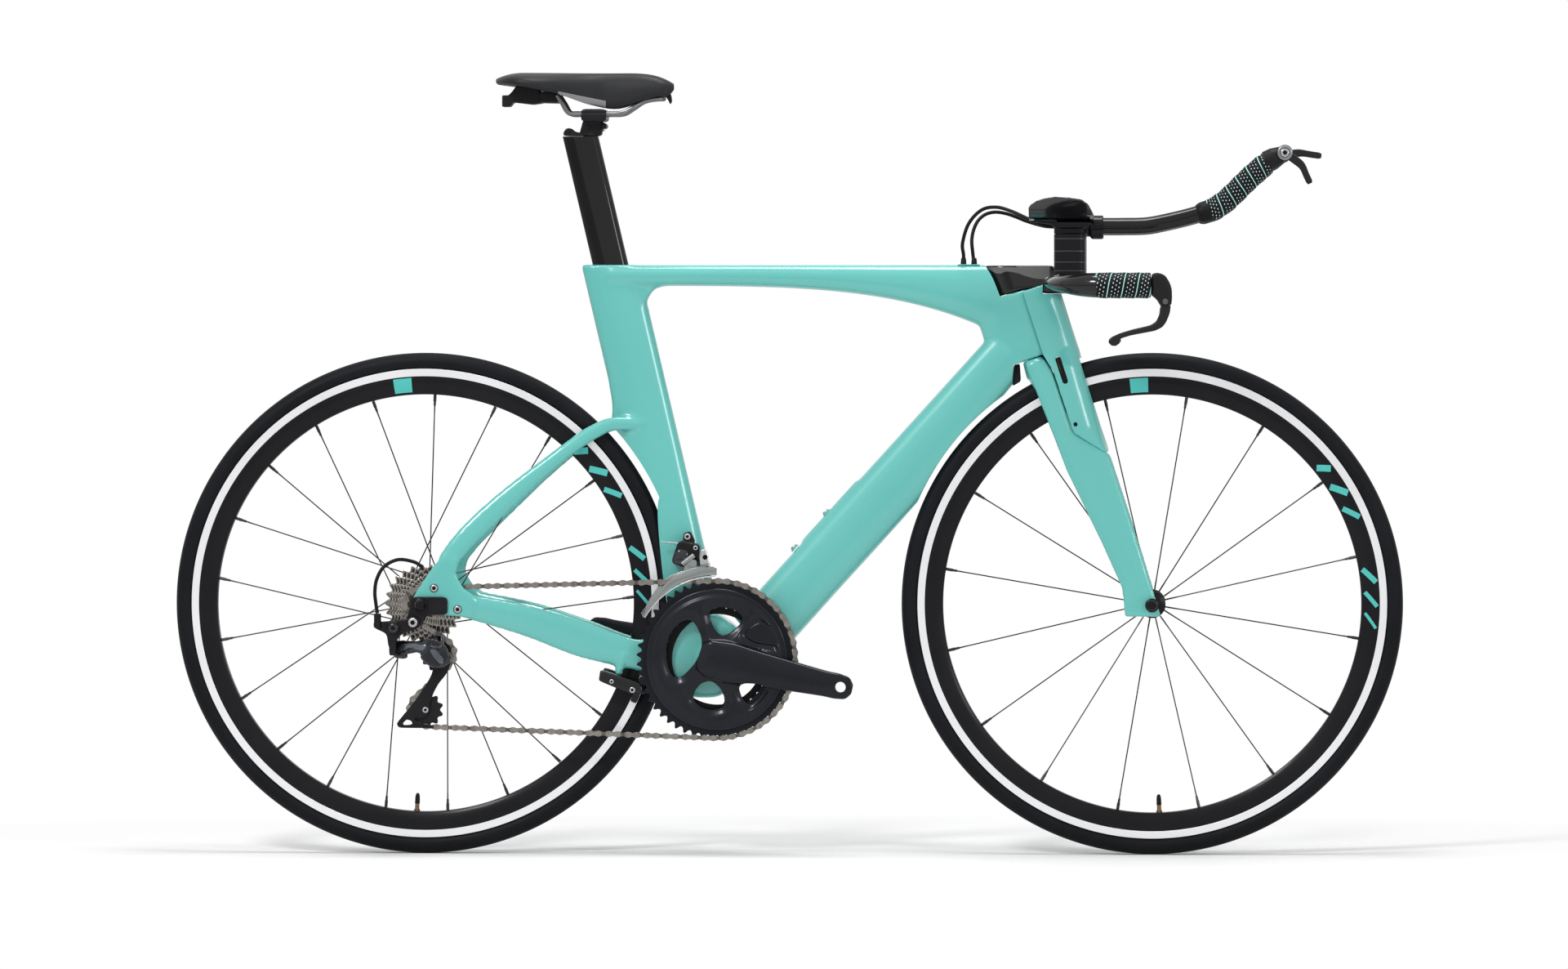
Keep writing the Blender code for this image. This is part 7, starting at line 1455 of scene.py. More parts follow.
# Painted reflection: a light grey band on the stem's upper flank, between its top and a curved lower edge,
# stands in for the light reflected there.
x, y, z = make("SeparateXYZ", make("TexCoord").outputs["Object"]).outputs
foot = make("FloatCurve", 1.0, make("MapRange", x, 0.2658, 0.3507, 0.0, 1.0).outputs[0])
line = foot.mapping.curves[0].points
line[0].location, line[1].location = (0.0, 0.93), (1.0, 0.36)
for share, rise in ((0.09, 0.6), (0.21, 0.43), (0.32, 0.57), (0.48, 0.46), (0.63, 0.23), (0.865, 0.02),
                    (0.954, 0.07)):
    line.new(share, rise)
foot.mapping.update()
above = calc("SUBTRACT", make("MapRange", z, 0.77, 0.788, 0.0, 1.0).outputs[0], foot.outputs[0])
painted_reflection_band = calc("MULTIPLY", make("MapRange", above, 0.0, 0.06).outputs[0], calc("COMPARE", x, 0.30825, 0.0423))
painted_reflection_band = calc("MULTIPLY", painted_reflection_band, calc("LESS_THAN", z, 0.7866))
feed("Base Color", mix(painted_reflection_band, drift["Colour"], (0.12, 0.12, 0.122, 1)))


def column_shape():
    """An elliptic column along the steering axis, from the head tube's top to the top tube's line."""
    turn = full_turn(64)
    foot = steer(HEAD_HIGH + FIT + 0 * turn, 0.0305 * np.cos(turn), 0.02 * np.sin(turn))
    rise = ((TOP_LINE - 0.001 - foot[:, 2]) / STEER_UP[2])[:, None]
    rows = [foot + STEER_UP * 0.0006, foot + STEER_UP * 0.0006, foot + STEER_UP * (rise - 0.0016),
            foot + STEER_UP * rise]
    return skin([row + (row.mean(0) - row) * pull for row, pull in zip(rows, (0.02, 0, 0, 0.035))])


# The bar's stations: the way forward, the way to the side, half chord and half height.
BAR = [(0.0, 0.0, 0.0285, 0.011), (0.0, 0.05, 0.0285, 0.011), (0.0, 0.105, 0.0285, 0.011),
       (0.004, 0.14, 0.0265, 0.0122), (0.016, 0.168, 0.0215, 0.0145), (0.036, 0.185, 0.0172, 0.016),
       (0.062, 0.19, 0.016, 0.016), (0.113, 0.19, 0.016, 0.016)]


def bar_line():
    """The wing's middle line from one grip's end to the other, with its half chord and half height."""
    half = eased(BAR, 110)
    rows = np.concatenate([half[:0:-1] * (1, -1, 1, 1), half])
    line = np.stack([rows[:, 0], rows[:, 1], -0.003 * np.clip(np.abs(rows[:, 1]) / GRIP_SIDE, 0, 1) ** 3],
                    -1)
    return BAR_CENTRE + line, rows[:, 2], rows[:, 3]


def wing_shape(line, chord, height, sides=48):
    """Ellipses square to a level line."""
    way = unit(np.gradient(line, axis=0) * (1, 1, 0))
    across = np.stack([way[:, 1], -way[:, 0], 0 * way[:, 0]], -1)
    turn = full_turn(sides)[None, :, None]
    return skin(line[:, None] + across[:, None] * chord[:, None, None] * np.cos(turn)
                + np.array((0, 0, 1.0)) * height[:, None, None] * np.sin(turn))


bar_path = bar_line()
neck = [(0.3975, 0.7514), (0.3985, 0.762), (0.39, 0.77), (0.36, 0.78), (0.355, 0.789), (0.286, 0.789),
        (0.296, 0.756), (0.33, 0.756), (0.344, 0.7514)]
bar = piece("base_bar_moulding", [column_shape(), wing_shape(*bar_path),
                                  slab(rounded(neck, 6, 0.15), -0.019, 0.019, 0.0025)], bar_black)
melted(bar, 0.0019, 4)
carve(bar, [pipe(steer(np.array((0.44, 0.4723)), 0), 0.0146, sides=64)])
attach(bar, "steering")
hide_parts("base_bar")

# Bar tape: cushioned synthetic leather, wound in overlapping turns and pierced with rows of small holes.
# Each turn's edge stands a little proud of the one before; a thin turquoise line follows the wrap.
HOLE_ROWS, HOLE_SIZE = (0.2, 0.415, 0.63), 0.00105


def tape_finish(name, pitch):
    """Black tape with holes laid out on the wrap's own coordinates (metres along, turns round)."""
    material = finish(name, (0.005, 0.005, 0.006), (0.01, 0.01, 0.011), 0.5, spread=0.12, fine=1500,
                      bump=0.35, depth=0.0004)
    make, calc, mix, drift, feed = wired(material)
    run, round_share, _ = make("SeparateXYZ", make("UVMap", uv_map="along").outputs["UV"]).outputs
    share = calc("FRACT", calc("MULTIPLY_ADD", round_share, -1.0, calc("DIVIDE", run, pitch)))
    holes = None
    for row in HOLE_ROWS:
        across = calc("MULTIPLY", calc("SUBTRACT", share, row), pitch / HOLE_SIZE)
        steps = calc("MULTIPLY_ADD", round_share, 18.0, (row - HOLE_ROWS[0]) / 0.43)
        along = calc("MULTIPLY", calc("SUBTRACT", calc("FRACT", steps), 0.5), 2.9)
        hole = calc("LESS_THAN", calc("ADD", calc("POWER", across, 2.0), calc("POWER", along, 2.0)), 0.35)
        holes = hole if holes is None else calc("MAXIMUM", holes, hole)
    inked = mix(calc("COMPARE", share, 0.91, 0.034), drift["Colour"], (0.36, 0.72, 0.66, 1))
    feed("Base Color", mix(holes, inked, (0.52, 0.68, 0.66, 1)))
    edge = make("MapRange", share, 0.0, 0.1).outputs[0]
    feed("Height", calc("MULTIPLY_ADD", drift["Height"], 0.4, calc("MULTIPLY_ADD", holes, -1.5, edge)))
    return material


def wrap_shape(line, radius, pitch, lift=0.0007, sides=48, ends=0.0012):
    """A tube along a line whose radius climbs over each turn of the wrap and drops at its edge."""
    line = np.asarray(line, float)
    run = distances(line)
    tangent = unit(np.gradient(line, axis=0))
    across = unit(np.cross(tangent, (0.0, 0.0, 1.0)))
    above = np.cross(across, tangent)
    turn = np.arange(sides)[None, :] / sides
    share = np.mod(run[:, None] / pitch - turn, 1.0)
    grow = radius + lift * (np.clip((1 - share) / 0.12, 0, 1) * share - 0.5)
    grow = grow - ends * (np.exp(-run / 0.0012) + np.exp((run - run[-1]) / 0.0012))[:, None]
    angle = turn * 2 * np.pi
    return skin(line[:, None] + grow[..., None] * (across[:, None] * np.cos(angle)[..., None]
                                                  + above[:, None] * np.sin(angle)[..., None]))


TAPE_TURN = 0.0185
grip_tape = tape_finish("grip_tape", TAPE_TURN)
for sign, word in SIDES:
    line, chord, height = bar_path
    near_end = line[(line[:, 1] * sign > 0.187)]
    if sign < 0:
        near_end = near_end[::-1]
    count = 130
    keys = np.linspace(0, len(near_end) - 1, count)
    wound = np.stack([np.interp(keys, np.arange(len(near_end)), near_end[:, k]) for k in range(3)], -1)
    piece("grip_tape_" + word, wrap_shape(wound, GRIP_RADIUS + 0.0002, TAPE_TURN), grip_tape, "steering",
          crease=50)

# Brake hoods and levers: slotted plastic bodies at the grips' ends, each with a short alloy lever.
# The lever hangs from a pin and its flat blade sweeps back under the grip.
hood_plastic = finish("hood_plastic", (0.011, 0.011, 0.012), (0.017, 0.017, 0.018), 0.4, bump=0.1)
lever_black = finish("lever_alloy", (0.012, 0.012, 0.013), (0.018, 0.018, 0.019), 0.3, metallic=0.45,
                     bump=0.04, coat=0.3, coat_roughness=0.15)
pin_steel = finish("lever_pin_steel", (0.16, 0.16, 0.17), (0.11, 0.11, 0.115), 0.3, metallic=0.9, fine=1200,
                   bump=0.05)
LEVER_PIVOT = np.array((GRIP_END + 0.0189, 0, BAR_CENTRE[2] - 0.0245))


def arched(middle, radius, start, end, count):
    """Points on an arc in the bike's plane, between two angles in degrees."""
    turn = np.radians(np.linspace(start, end, count))
    return np.stack([middle[0] + radius * np.cos(turn), middle[2] + radius * np.sin(turn)], -1)


LEVER = [(-0.0064, -0.0065), (-0.0072, -0.0168), (-0.0112, -0.0262), (-0.019, -0.0318), (-0.043, -0.0372),
         (-0.061, -0.0426), (-0.0739, -0.0486), (-0.0751, -0.0538), (-0.0705, -0.0584), (-0.0645, -0.0584),
         (-0.059, -0.0538), (-0.06, -0.05), (-0.057, -0.0482), (-0.0455, -0.0446), (-0.0266, -0.041),
         (-0.0129, -0.0384), (-0.004, -0.0338), (0.0012, -0.0271), (0.006, -0.0151), (0.0074, -0.004)]
HOOD = [(0.0003, 0.0146), (0.0077, 0.0166), (0.0146, 0.015), (0.0198, 0.0115), (0.0249, 0.0029),
        (0.0274, -0.0048), (0.0278, -0.016), (0.0268, -0.0268), (0.0126, -0.0268), (0.0095, -0.0203),
        (0.0043, -0.0151), (0.0003, -0.0126)]
for sign, word in SIDES:
    side = sign * GRIP_SIDE
    outline = rounded(about((GRIP_END, 0, BAR_CENTRE[2] - 0.003), *HOOD), 5, 0.3)
    hood = melted(piece("brake_hood_body_" + word, slab(outline, side - 0.011, side + 0.011, 0.0038),
                        hood_plastic), 0.0009, 3)
    room = np.array([(GRIP_END - 0.018, -0.0512), (GRIP_END + 0.042, -0.0512), (GRIP_END + 0.042, 0.0088),
                     (GRIP_END - 0.018, 0.0088)]) + (0, LEVER_PIVOT[2])
    carve(hood, [slab(room, side - 0.0041, side + 0.0041)])
    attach(hood, "steering")
    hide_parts("brake_hood_" + word)
    edge = np.concatenate([arched(LEVER_PIVOT, 0.0078, 0, 175, 20),
                           rounded(about(LEVER_PIVOT, *LEVER), 5, 0.3)[2:-2]])
    lever = melted(piece("brake_lever_blade_" + word, slab(edge, side - 0.0037, side + 0.0037, 0.0014),
                         lever_black), 0.0008, 3)
    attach(lever, "lever_" + word)
    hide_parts("brake_lever_" + word)
    turn = full_turn(28)
    head = np.array([(0.0036, 0.0), (0.0036, 0.0004), (0.003, 0.0008), (0.0024, 0.0008), (0.0022, 0.0003),
                     (0.0002, 0.0003)])
    shapes = []
    for hand in (-1, 1):
        rings = np.stack([LEVER_PIVOT + np.stack([r * np.cos(turn), 0 * turn + side + hand * (0.011 + up),
                                                  r * np.sin(turn)], -1) for r, up in head])
        shapes.append(skin(rings))
    piece("lever_pin_" + word, shapes, pin_steel, "steering", crease=30)

# Risers: stacked alloy spacers on the wing, under a head that holds the extension and the arm rest.
# A collar in front of the head grips the extension, with a slotted lug under it.
riser_black = finish("riser_alloy", (0.0035, 0.0035, 0.0058), (0.0065, 0.0065, 0.0095), 0.34, fine=800,
                     bump=0.05, coat=0.2, coat_roughness=0.12)
shim_bright = finish("shim_edge", (0.22, 0.22, 0.23), (0.16, 0.16, 0.165), 0.35, metallic=0.8)
RISER_SIDE, PAD_SIDE, EXTENSION_SIDE = 0.076, 0.09, 0.062
EXTENSION_HEIGHT, EXTENSION_REAR = TOP_LINE + 0.0511, BAR_CENTRE[0] - 0.013
HEAD_TOP, HEAD_FOOT = EXTENSION_HEIGHT + 0.0134, EXTENSION_HEIGHT - 0.0145
RISER_FOOT = BAR_CENTRE[2] + 0.0116
for sign, word in SIDES:
    turn = full_turn(64)
    c, s = (np.sign(f) * np.abs(f) ** 0.5 for f in (np.cos(turn), np.sin(turn)))
    centre = np.array((BAR_CENTRE[0] + 0.0052, sign * RISER_SIDE, 0))
    ring = np.stack([0.0212 * c, 0.015 * s, 0 * c], -1)
    levels, pulls = [RISER_FOOT, RISER_FOOT + 0.0006], [0.97, 1.0]
    seams = RISER_FOOT + np.array((0.005, 0.0164, 0.0311, 0.0475))
    for level in seams:
        levels += [level - 0.0007, level - 0.0004, level + 0.0004, level + 0.0007]
        pulls += [1.0, 0.985, 0.985, 1.0]
    levels.append(HEAD_FOOT + 0.0035)
    pulls.append(1.0)
    post = skin([centre + ring * pull + (0, 0, level) for level, pull in zip(levels, pulls)])
    piece("riser_spacers_" + word, post, riser_black, "steering", crease=30)
    piece("riser_shims_" + word,
          [skin([centre + ring * 0.998 + (0, 0, level + up) for up in (-0.00022, 0.00022)])
           for level in seams], shim_bright, "steering", crease=30)
    tube = [(0.32, sign * EXTENSION_SIDE, EXTENSION_HEIGHT),
            (0.46, sign * EXTENSION_SIDE, EXTENSION_HEIGHT)]
    near_side, far_side = sorted((sign * 0.0475, sign * 0.078))
    rest_near, rest_far = sorted((sign * 0.076, sign * 0.1035))
    top = skin([centre + ring * 0.998 + (0, 0, level) for level in (HEAD_FOOT + 0.004, 0.8395)])
    head = slab(rounded([(0.36, HEAD_FOOT), (0.3985, HEAD_FOOT), (0.3985, HEAD_TOP), (0.36, HEAD_TOP)], 5,
                        0.1), near_side, far_side, 0.0022)
    shelf = slab(rounded([(0.3275, 0.8464), (0.354, 0.8425), (0.358, 0.8385), (0.3995, 0.8385),
                          (0.4055, 0.842), (0.4055, 0.8464)], 5, 0.1), rest_near, rest_far, 0.001)
    lug = slab(rounded([(0.405, 0.8248), (0.4225, 0.8248), (0.4225, 0.838), (0.405, 0.838)], 5, 0.2),
               *sorted((sign * 0.056, sign * 0.068)), 0.0015)
    sleeve = pipe([(0.397, sign * EXTENSION_SIDE, EXTENSION_HEIGHT),
                   (0.406, sign * EXTENSION_SIDE, EXTENSION_HEIGHT)], 0.013, sides=64)
    collar = pipe([(x, sign * EXTENSION_SIDE, EXTENSION_HEIGHT) for x in (0.405, 0.4054, 0.4221, 0.4225)],
                  np.array((0.0138, 0.0142, 0.0142, 0.0138)), sides=64)
    riser = melted(piece("riser_clamp_" + word, [top, head, shelf, lug, sleeve, collar], riser_black),
                   0.001, 2)
    carve(riser, [pipe(tube, 0.0114, sides=64)])
    carve(riser, [slab([(0.404, 0.824), (0.4235, 0.824), (0.4235, 0.833), (0.404, 0.833)],
                       *sorted((sign * 0.0614, sign * 0.0626)))])
    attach(riser, "steering")
    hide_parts("riser_" + word)

# Frame fittings: bolts for the bottle cage and the dropouts, the cables' entry block on the top tube,
# and a rubber bumper behind the crown.
for word, spot in (("upper", (0.0509, 0.4576)), ("lower", (0.0082, 0.4104))):
    length = np.linalg.norm(DOWN_FOOT - DOWN_HEAD)
    share = ((np.array(spot) - DOWN_HEAD[[0, 2]]) @ DOWN_WAY[[0, 2]]) / length
    seat = DOWN_HEAD + (DOWN_FOOT - DOWN_HEAD) * share + DOWN_UP * 0.0021
    piece("bottle_boss_" + word, pipe(seat + DOWN_UP * np.array((-0.001, 0.001, 0.0014))[:, None],
                                      np.array((0.0062, 0.0062, 0.0058)), (0, 1, 0), 28), lacquer,
          "frame_body")
    screw(seat + DOWN_UP * 0.0014, DOWN_UP, 0.0046, "frame_body", "bottle_screw_" + word, 0.0026)
for word, spot in (("upper", (-0.47, 0.3584)), ("lower", (-0.4385, 0.3301))):
    for side, hand in SIDES:
        seat = np.array((spot[0], side * 0.0724, spot[1]))
        piece("dropout_insert_%s_%s" % (word, hand),
              bolt_shape(seat, [(side * 0.0722, 0.0056), (side * 0.073, 0.0056), (side * 0.0732, 0.0052)]),
              dark_alloy, "frame_body")
        screw(seat + SIDEWAYS * side * 0.0008, (0, side, 0), 0.0046, "frame_body",
              "dropout_screw_%s_%s" % (word, hand), 0.0008, 0.55)
gland = melted(piece("cable_entry_block",
                     slab(rounded([(0.227, 0.7893), (0.257, 0.7893), (0.257, 0.7906), (0.227, 0.7906)], 4,
                                  0.15), -0.0088, 0.0088, 0.0003), lacquer), 0.0006, 2)
CABLE_HOLES = (("right", 0.2351, -0.0045), ("left", 0.2491, 0.0045))
carve(gland, [pipe([(x, y, 0.78), (x, y, 0.8)], 0.0026, sides=24) for _, x, y in CABLE_HOLES])
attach(gland, "frame_body")
for word, x, y in CABLE_HOLES:
    turn = full_turn(28)[:, None]
    radius, up = np.array([(0.0025, 0.7907), (0.004, 0.7907), (0.00385, 0.7925), (0.0033, 0.7985),
                           (0.0029, 0.799), (0.00255, 0.7988)]).T
    piece("cable_boot_" + word,
          skin(np.stack([x + radius * np.cos(turn), y + radius * np.sin(turn), up + 0 * turn], -1),
               turn=True), pulley_plastic, "frame_body", crease=40)
bumper = slab(rounded([(0.3025, 0.6558), (0.3105, 0.6574), (0.312, 0.6338), (0.3005, 0.627)], 5, 0.2),
              -0.0078, 0.0078, 0.0015)
piece("crown_bumper", bumper, pulley_plastic, "frame_body")

# Extensions: bent carbon tubes clamped in the risers, taped from the bend to the shifters' pods.
# Each ends in a round pod that carries a lever for one derailleur.
EXTENSION_POINTS = [(0.0, 0.0), (0.045, 0.0), (0.09, 0.0), (0.12, 0.0008), (0.153, 0.007), (0.19, 0.0165),
                    (0.207, 0.0218), (0.221, 0.03), (0.236, 0.043), (0.252, 0.059), (0.271, 0.0762),
                    (0.29, 0.0905)]
TAPE_START = EXTENSION_REAR + 0.204
SHIFTER = np.array((EXTENSION_REAR + 0.304, 0, EXTENSION_HEIGHT + 0.0972))
extension_tape = tape_finish("extension_tape", TAPE_TURN)


def extension_line(side, count=180):
    """The middle line of an extension, from its rear end to the pod."""
    flat = np.asarray(EXTENSION_POINTS)
    rows = eased(flat, count, distances(flat))
    return at_side(rows + (EXTENSION_REAR, EXTENSION_HEIGHT), side)


sleeve_black = finish("tape_sleeve", (0.006, 0.006, 0.007), (0.01, 0.01, 0.011), 0.45, bump=0.08)
extension_gloss = finish("extension_carbon", (0.0055, 0.0055, 0.0065), (0.009, 0.009, 0.01), 0.2, fine=800,
                         bump=0.03, coat=0.38, coat_roughness=0.05, specular=0.05)
for sign, word in SIDES:
    side = sign * EXTENSION_SIDE
    line = extension_line(side)
    bare = line[line[:, 0] < TAPE_START - 0.008]
    piece("extension_tube_" + word, pipe(bare, 0.0111, sides=48), extension_gloss, "steering",
          ["extension_" + word])
    taped = line[(line[:, 0] > TAPE_START - 0.002) & (line[:, 0] < EXTENSION_REAR + 0.28)]
    piece("extension_tape_" + word, wrap_shape(taped, 0.0152, TAPE_TURN, 0.0011), extension_tape,
          "steering", crease=50)
    sleeve = line[(line[:, 0] > TAPE_START - 0.0165) & (line[:, 0] < TAPE_START + 0.004)]
    swell = 0.0145 - 0.0028 * np.clip(1 - np.arange(len(sleeve)) / 5, 0, 1) ** 2
    piece("tape_sleeve_" + word, pipe(sleeve, swell, sides=48), sleeve_black, "steering")
    tip = line[-1]
    centre = SHIFTER + SIDEWAYS * side
    pod = piece("shifter_pod_" + word,
                [rod(centre, (-0.0095, -0.009, 0.009, 0.0095), (0.0102, 0.0107, 0.0107, 0.0102), 64),
                 pipe(np.stack([tip + (tip - centre) * 0.75, tip, tip * 0.45 + centre * 0.55, centre]),
                      np.array((0.0142, 0.014, 0.0118, 0.0098)), sides=48)], hood_plastic)
    melted(pod, 0.0008, 2)
    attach(pod, "steering")


def shift_lever_shape(side, bend, tip):
    """A flat lever from its disc through an elbow to the tip, with rounded edges."""
    start, elbow, end = (SHIFTER[[0, 2]] + np.asarray(p) for p in ((0, 0), bend, tip))
    line = eased([start, start * 0.4 + elbow * 0.6, elbow * 0.92 + end * 0.08, elbow * 0.4 + end * 0.6,
                  end], 40)
    way = unit(np.gradient(line, axis=0))
    normal = np.stack([-way[:, 1], way[:, 0]], -1)
    half = np.interp(np.arange(40), [0, 16, 24, 36, 39], [0.0056, 0.0054, 0.0044, 0.0044, 0.003])[:, None]
    flat = np.concatenate([line + normal * half, (line - normal * half)[::-1]])
    return slab(flat, side - 0.0024, side + 0.0024, 0.001)


lever_ring = finish("lever_ring", (0.3, 0.31, 0.32), (0.2, 0.21, 0.22), 0.3, metallic=0.9, fine=1200,
                    bump=0.05)
RING = ((0.0098, 0.0025), (0.0098, 0.0034), (0.009, 0.0038), (0.007, 0.0038), (0.0066, 0.0034),
        (0.0066, 0.0025))
for sign, word, bend, tip in ((-1, "right", (0.0216, -0.0155), (0.0336, -0.041)),
                              (1, "left", (0.0216, 0.003), (0.052, -0.0014))):
    side = sign * (EXTENSION_SIDE + 0.0095 + FIT + 0.0025)
    disc = rod(SHIFTER, side + np.array((-0.0025, -0.002, 0.002, 0.0025)), (0.0095, 0.01, 0.01, 0.0095), 64)
    lever = piece("shift_lever_blade_" + word, [disc, shift_lever_shape(side, bend, tip)], lever_black)
    melted(lever, 0.0006, 2)
    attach(lever, "shifter_" + word)
    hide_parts("shift_lever_" + word)
    ring = [(radius, side + sign * up) for radius, up in RING]
    piece("lever_ring_" + word, turned(ring, SHIFTER, 64), lever_ring, "shifter_" + word, crease=30)
    screw(SHIFTER + SIDEWAYS * (side + sign * 0.0025), (0, sign, 0), 0.0058, "shifter_" + word,
          "lever_screw_" + word, 0.0014)

# Arm rests: glossy plastic cups screwed to the clamps, each lined with a soft foam pad.
# The pad is a closed block swollen by a cloth simulation, so it stands full between its edges.
PAD_REAR, PAD_LENGTH, CUP_RADIUS = BAR_CENTRE[0] - 0.049, 0.086, 0.06
PAD_BASE = EXTENSION_HEIGHT + 0.007
cup_gloss = finish("cup_plastic", (0.0065, 0.0065, 0.0085), (0.01, 0.01, 0.012), 0.2, fine=700, bump=0.03,
                   coat=0.7, coat_roughness=0.05, specular=0.3)
pad_foam = finish("pad_fabric", (0.011, 0.011, 0.012), (0.018, 0.018, 0.02), 0.75, fine=2200, bump=0.5,
                  depth=0.0004, specular=0.2)


def cup_shape(side, outer, inner, grow_at, x_pull=0.0, along=60, across=45, reach=60):
    """An arched shell round the forearm: an arc of the cup's radius, drawn in towards both ends."""
    share = np.linspace(0, 1, along)[:, None]
    grow = np.interp(share, grow_at[0], grow_at[1])
    angle = np.radians(reach) * grow * np.linspace(-1, 1, across)[None]
    x = PAD_REAR + PAD_LENGTH * (x_pull + share * (1 - 2 * x_pull)) + 0 * angle
    centre = PAD_BASE + CUP_RADIUS
    rings = []
    for radius in (outer, inner):
        rings.append(np.stack([x, side + radius * np.sin(angle), centre - radius * np.cos(angle)], -1))
    return skin(np.concatenate([rings[0], rings[1][:, ::-1]], 1))


# The share of the cup's length, and the share of its full arc there.
GROW = ((0.0, 0.03, 0.12, 0.25, 0.4, 0.6, 0.82, 0.92, 0.98, 1.0),
        (0.7, 0.78, 0.89, 0.96, 1.0, 0.985, 0.93, 0.8, 0.58, 0.4))


def puffed(made, pressure, cap, frames=20, voxel=0.0032):
    """Remesh a pad, blow it up as cloth under a little pressure, and keep each point near its start."""
    remesh = made.modifiers.new("melt", "REMESH")
    remesh.mode, remesh.voxel_size = "VOXEL", voxel
    settled(made)
    rest = np.array([v.co[:] for v in made.data.vertices])
    cloth = made.modifiers.new("swell", "CLOTH")
    cloth.settings.use_pressure = True
    cloth.settings.uniform_pressure_force = pressure
    cloth.settings.effector_weights.gravity = 0
    cloth.point_cache.frame_start, cloth.point_cache.frame_end = 1, frames
    for k in range(1, frames + 1):
        bpy.context.scene.frame_set(k)
    settled(made)
    bpy.context.scene.frame_set(1)
    moved = np.array([v.co[:] for v in made.data.vertices]) - rest
    length = np.linalg.norm(moved, axis=1, keepdims=True)
    kept = rest + moved * np.minimum(1, cap / np.maximum(length, 1e-9))
    made.data.vertices.foreach_set("co", kept.ravel())
    return made


for sign, word in SIDES:
    side = sign * PAD_SIDE
    cup = melted(piece("arm_rest_cup_" + word, cup_shape(side, 0.06, 0.0572, GROW), cup_gloss), 0.001, 2)
    room = [pipe([(0.3, sign * EXTENSION_SIDE, EXTENSION_HEIGHT),
                  (0.46, sign * EXTENSION_SIDE, EXTENSION_HEIGHT)], 0.0145, sides=48)]
    room.append(slab([(0.3597, HEAD_FOOT), (0.3988, HEAD_FOOT), (0.3988, HEAD_TOP + FIT),
                      (0.3597, HEAD_TOP + FIT)], *sorted((sign * 0.0472, sign * 0.0783))))
    for shape in room:
        carve(cup, [shape])
    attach(cup, "steering")
    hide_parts("arm_pad_" + word)
    narrower = GROW[0], np.array(GROW[1]) * 0.94
    pad = piece("arm_rest_pad_" + word, cup_shape(side, 0.0562, 0.049, narrower, 0.03), pad_foam)
    pad = puffed(pad, 4.0, 0.0022)
    smooth = pad.modifiers.new("even", "SMOOTH")
    smooth.iterations = 3
    rounder = pad.modifiers.new("finer", "SUBSURF")
    rounder.levels = rounder.render_levels = 1
    settled(pad)
    pad.data.shade_smooth()
    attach(pad, "steering")

# Seatpost: a glossy carbon post of aerofoil section, cut level at its top.
# An alloy head on it holds the rails between a cradle and a cap, with two screws.
POST_TOP = 0.7185
post_black = finish("post_carbon", (0.0045, 0.0045, 0.0055), (0.007, 0.007, 0.008), 0.24, fine=700,
                    bump=0.02, coat=0.4, coat_roughness=0.03, specular=0.06)
foot, _, level = SEAT_FOOT + SEAT_UP * POST_TOP
share = np.array((0.4, 0.4004, 0.55, 0.68, POST_TOP))
first, last = (SEAT_FOOT + SEAT_UP * share[:, None] + SEAT_FORWARD * d for d in (-0.0235, 0.0235))
for row in (first, last):
    row[-1] += SEAT_UP * ((level - row[-1, 2]) / SEAT_UP[2])
piece("seatpost_tube", skin(sections(first, last, 0.0235, sides=72)), post_black, "seat", ["seatpost"])
RAIL_HEIGHT, HEAD_X = level + 0.03, foot + 0.0195
RAIL_MIDDLE = (HEAD_X, 0, RAIL_HEIGHT)
RAIL_RADIUS, GROOVE_RADIUS = 0.0035, 0.0038
cradle = about(RAIL_MIDDLE, (-0.017, -0.0105), (0.017, -0.0105), (0.017, 0.0065), (-0.017, 0.0065))
neck = [(HEAD_X - 0.0215, level + FIT), (HEAD_X + 0.0095, level + FIT),
        (HEAD_X + 0.0115, RAIL_HEIGHT - 0.006), (HEAD_X - 0.015, RAIL_HEIGHT - 0.006)]
head = piece("saddle_clamp_head", [slab(rounded(cradle, 6, 0.25), -0.029, 0.029, 0.0022),
                                   slab(rounded(neck, 6, 0.2), -0.011, 0.011, 0.0025)], dark_alloy)
melted(head, 0.0009, 3)
# Half of the rails: the way forward, the way up, and the share of their full spread.
RAILS = [(-0.049, 0.025, 1.0), (-0.042, 0.014, 1.0), (-0.033, 0.001, 1.0), (-0.02, 0.0, 1.0),
         (0.02, 0.0, 1.0), (0.038, 0.001, 1.0), (0.052, 0.0085, 0.6), (0.066, 0.017, 0.34),
         (0.085, 0.0205, 0.27), (0.092, 0.0205, 0.07)]


def rail_line(count=120):
    """The rails as one bent wire, up the right side and back down the left."""
    half = np.array([(HEAD_X + x, -0.022 * spread, RAIL_HEIGHT + z) for x, z, spread in RAILS])
    both = np.concatenate([half, half[::-1] * (1, -1, 1)])
    return eased(both, count, distances(both))


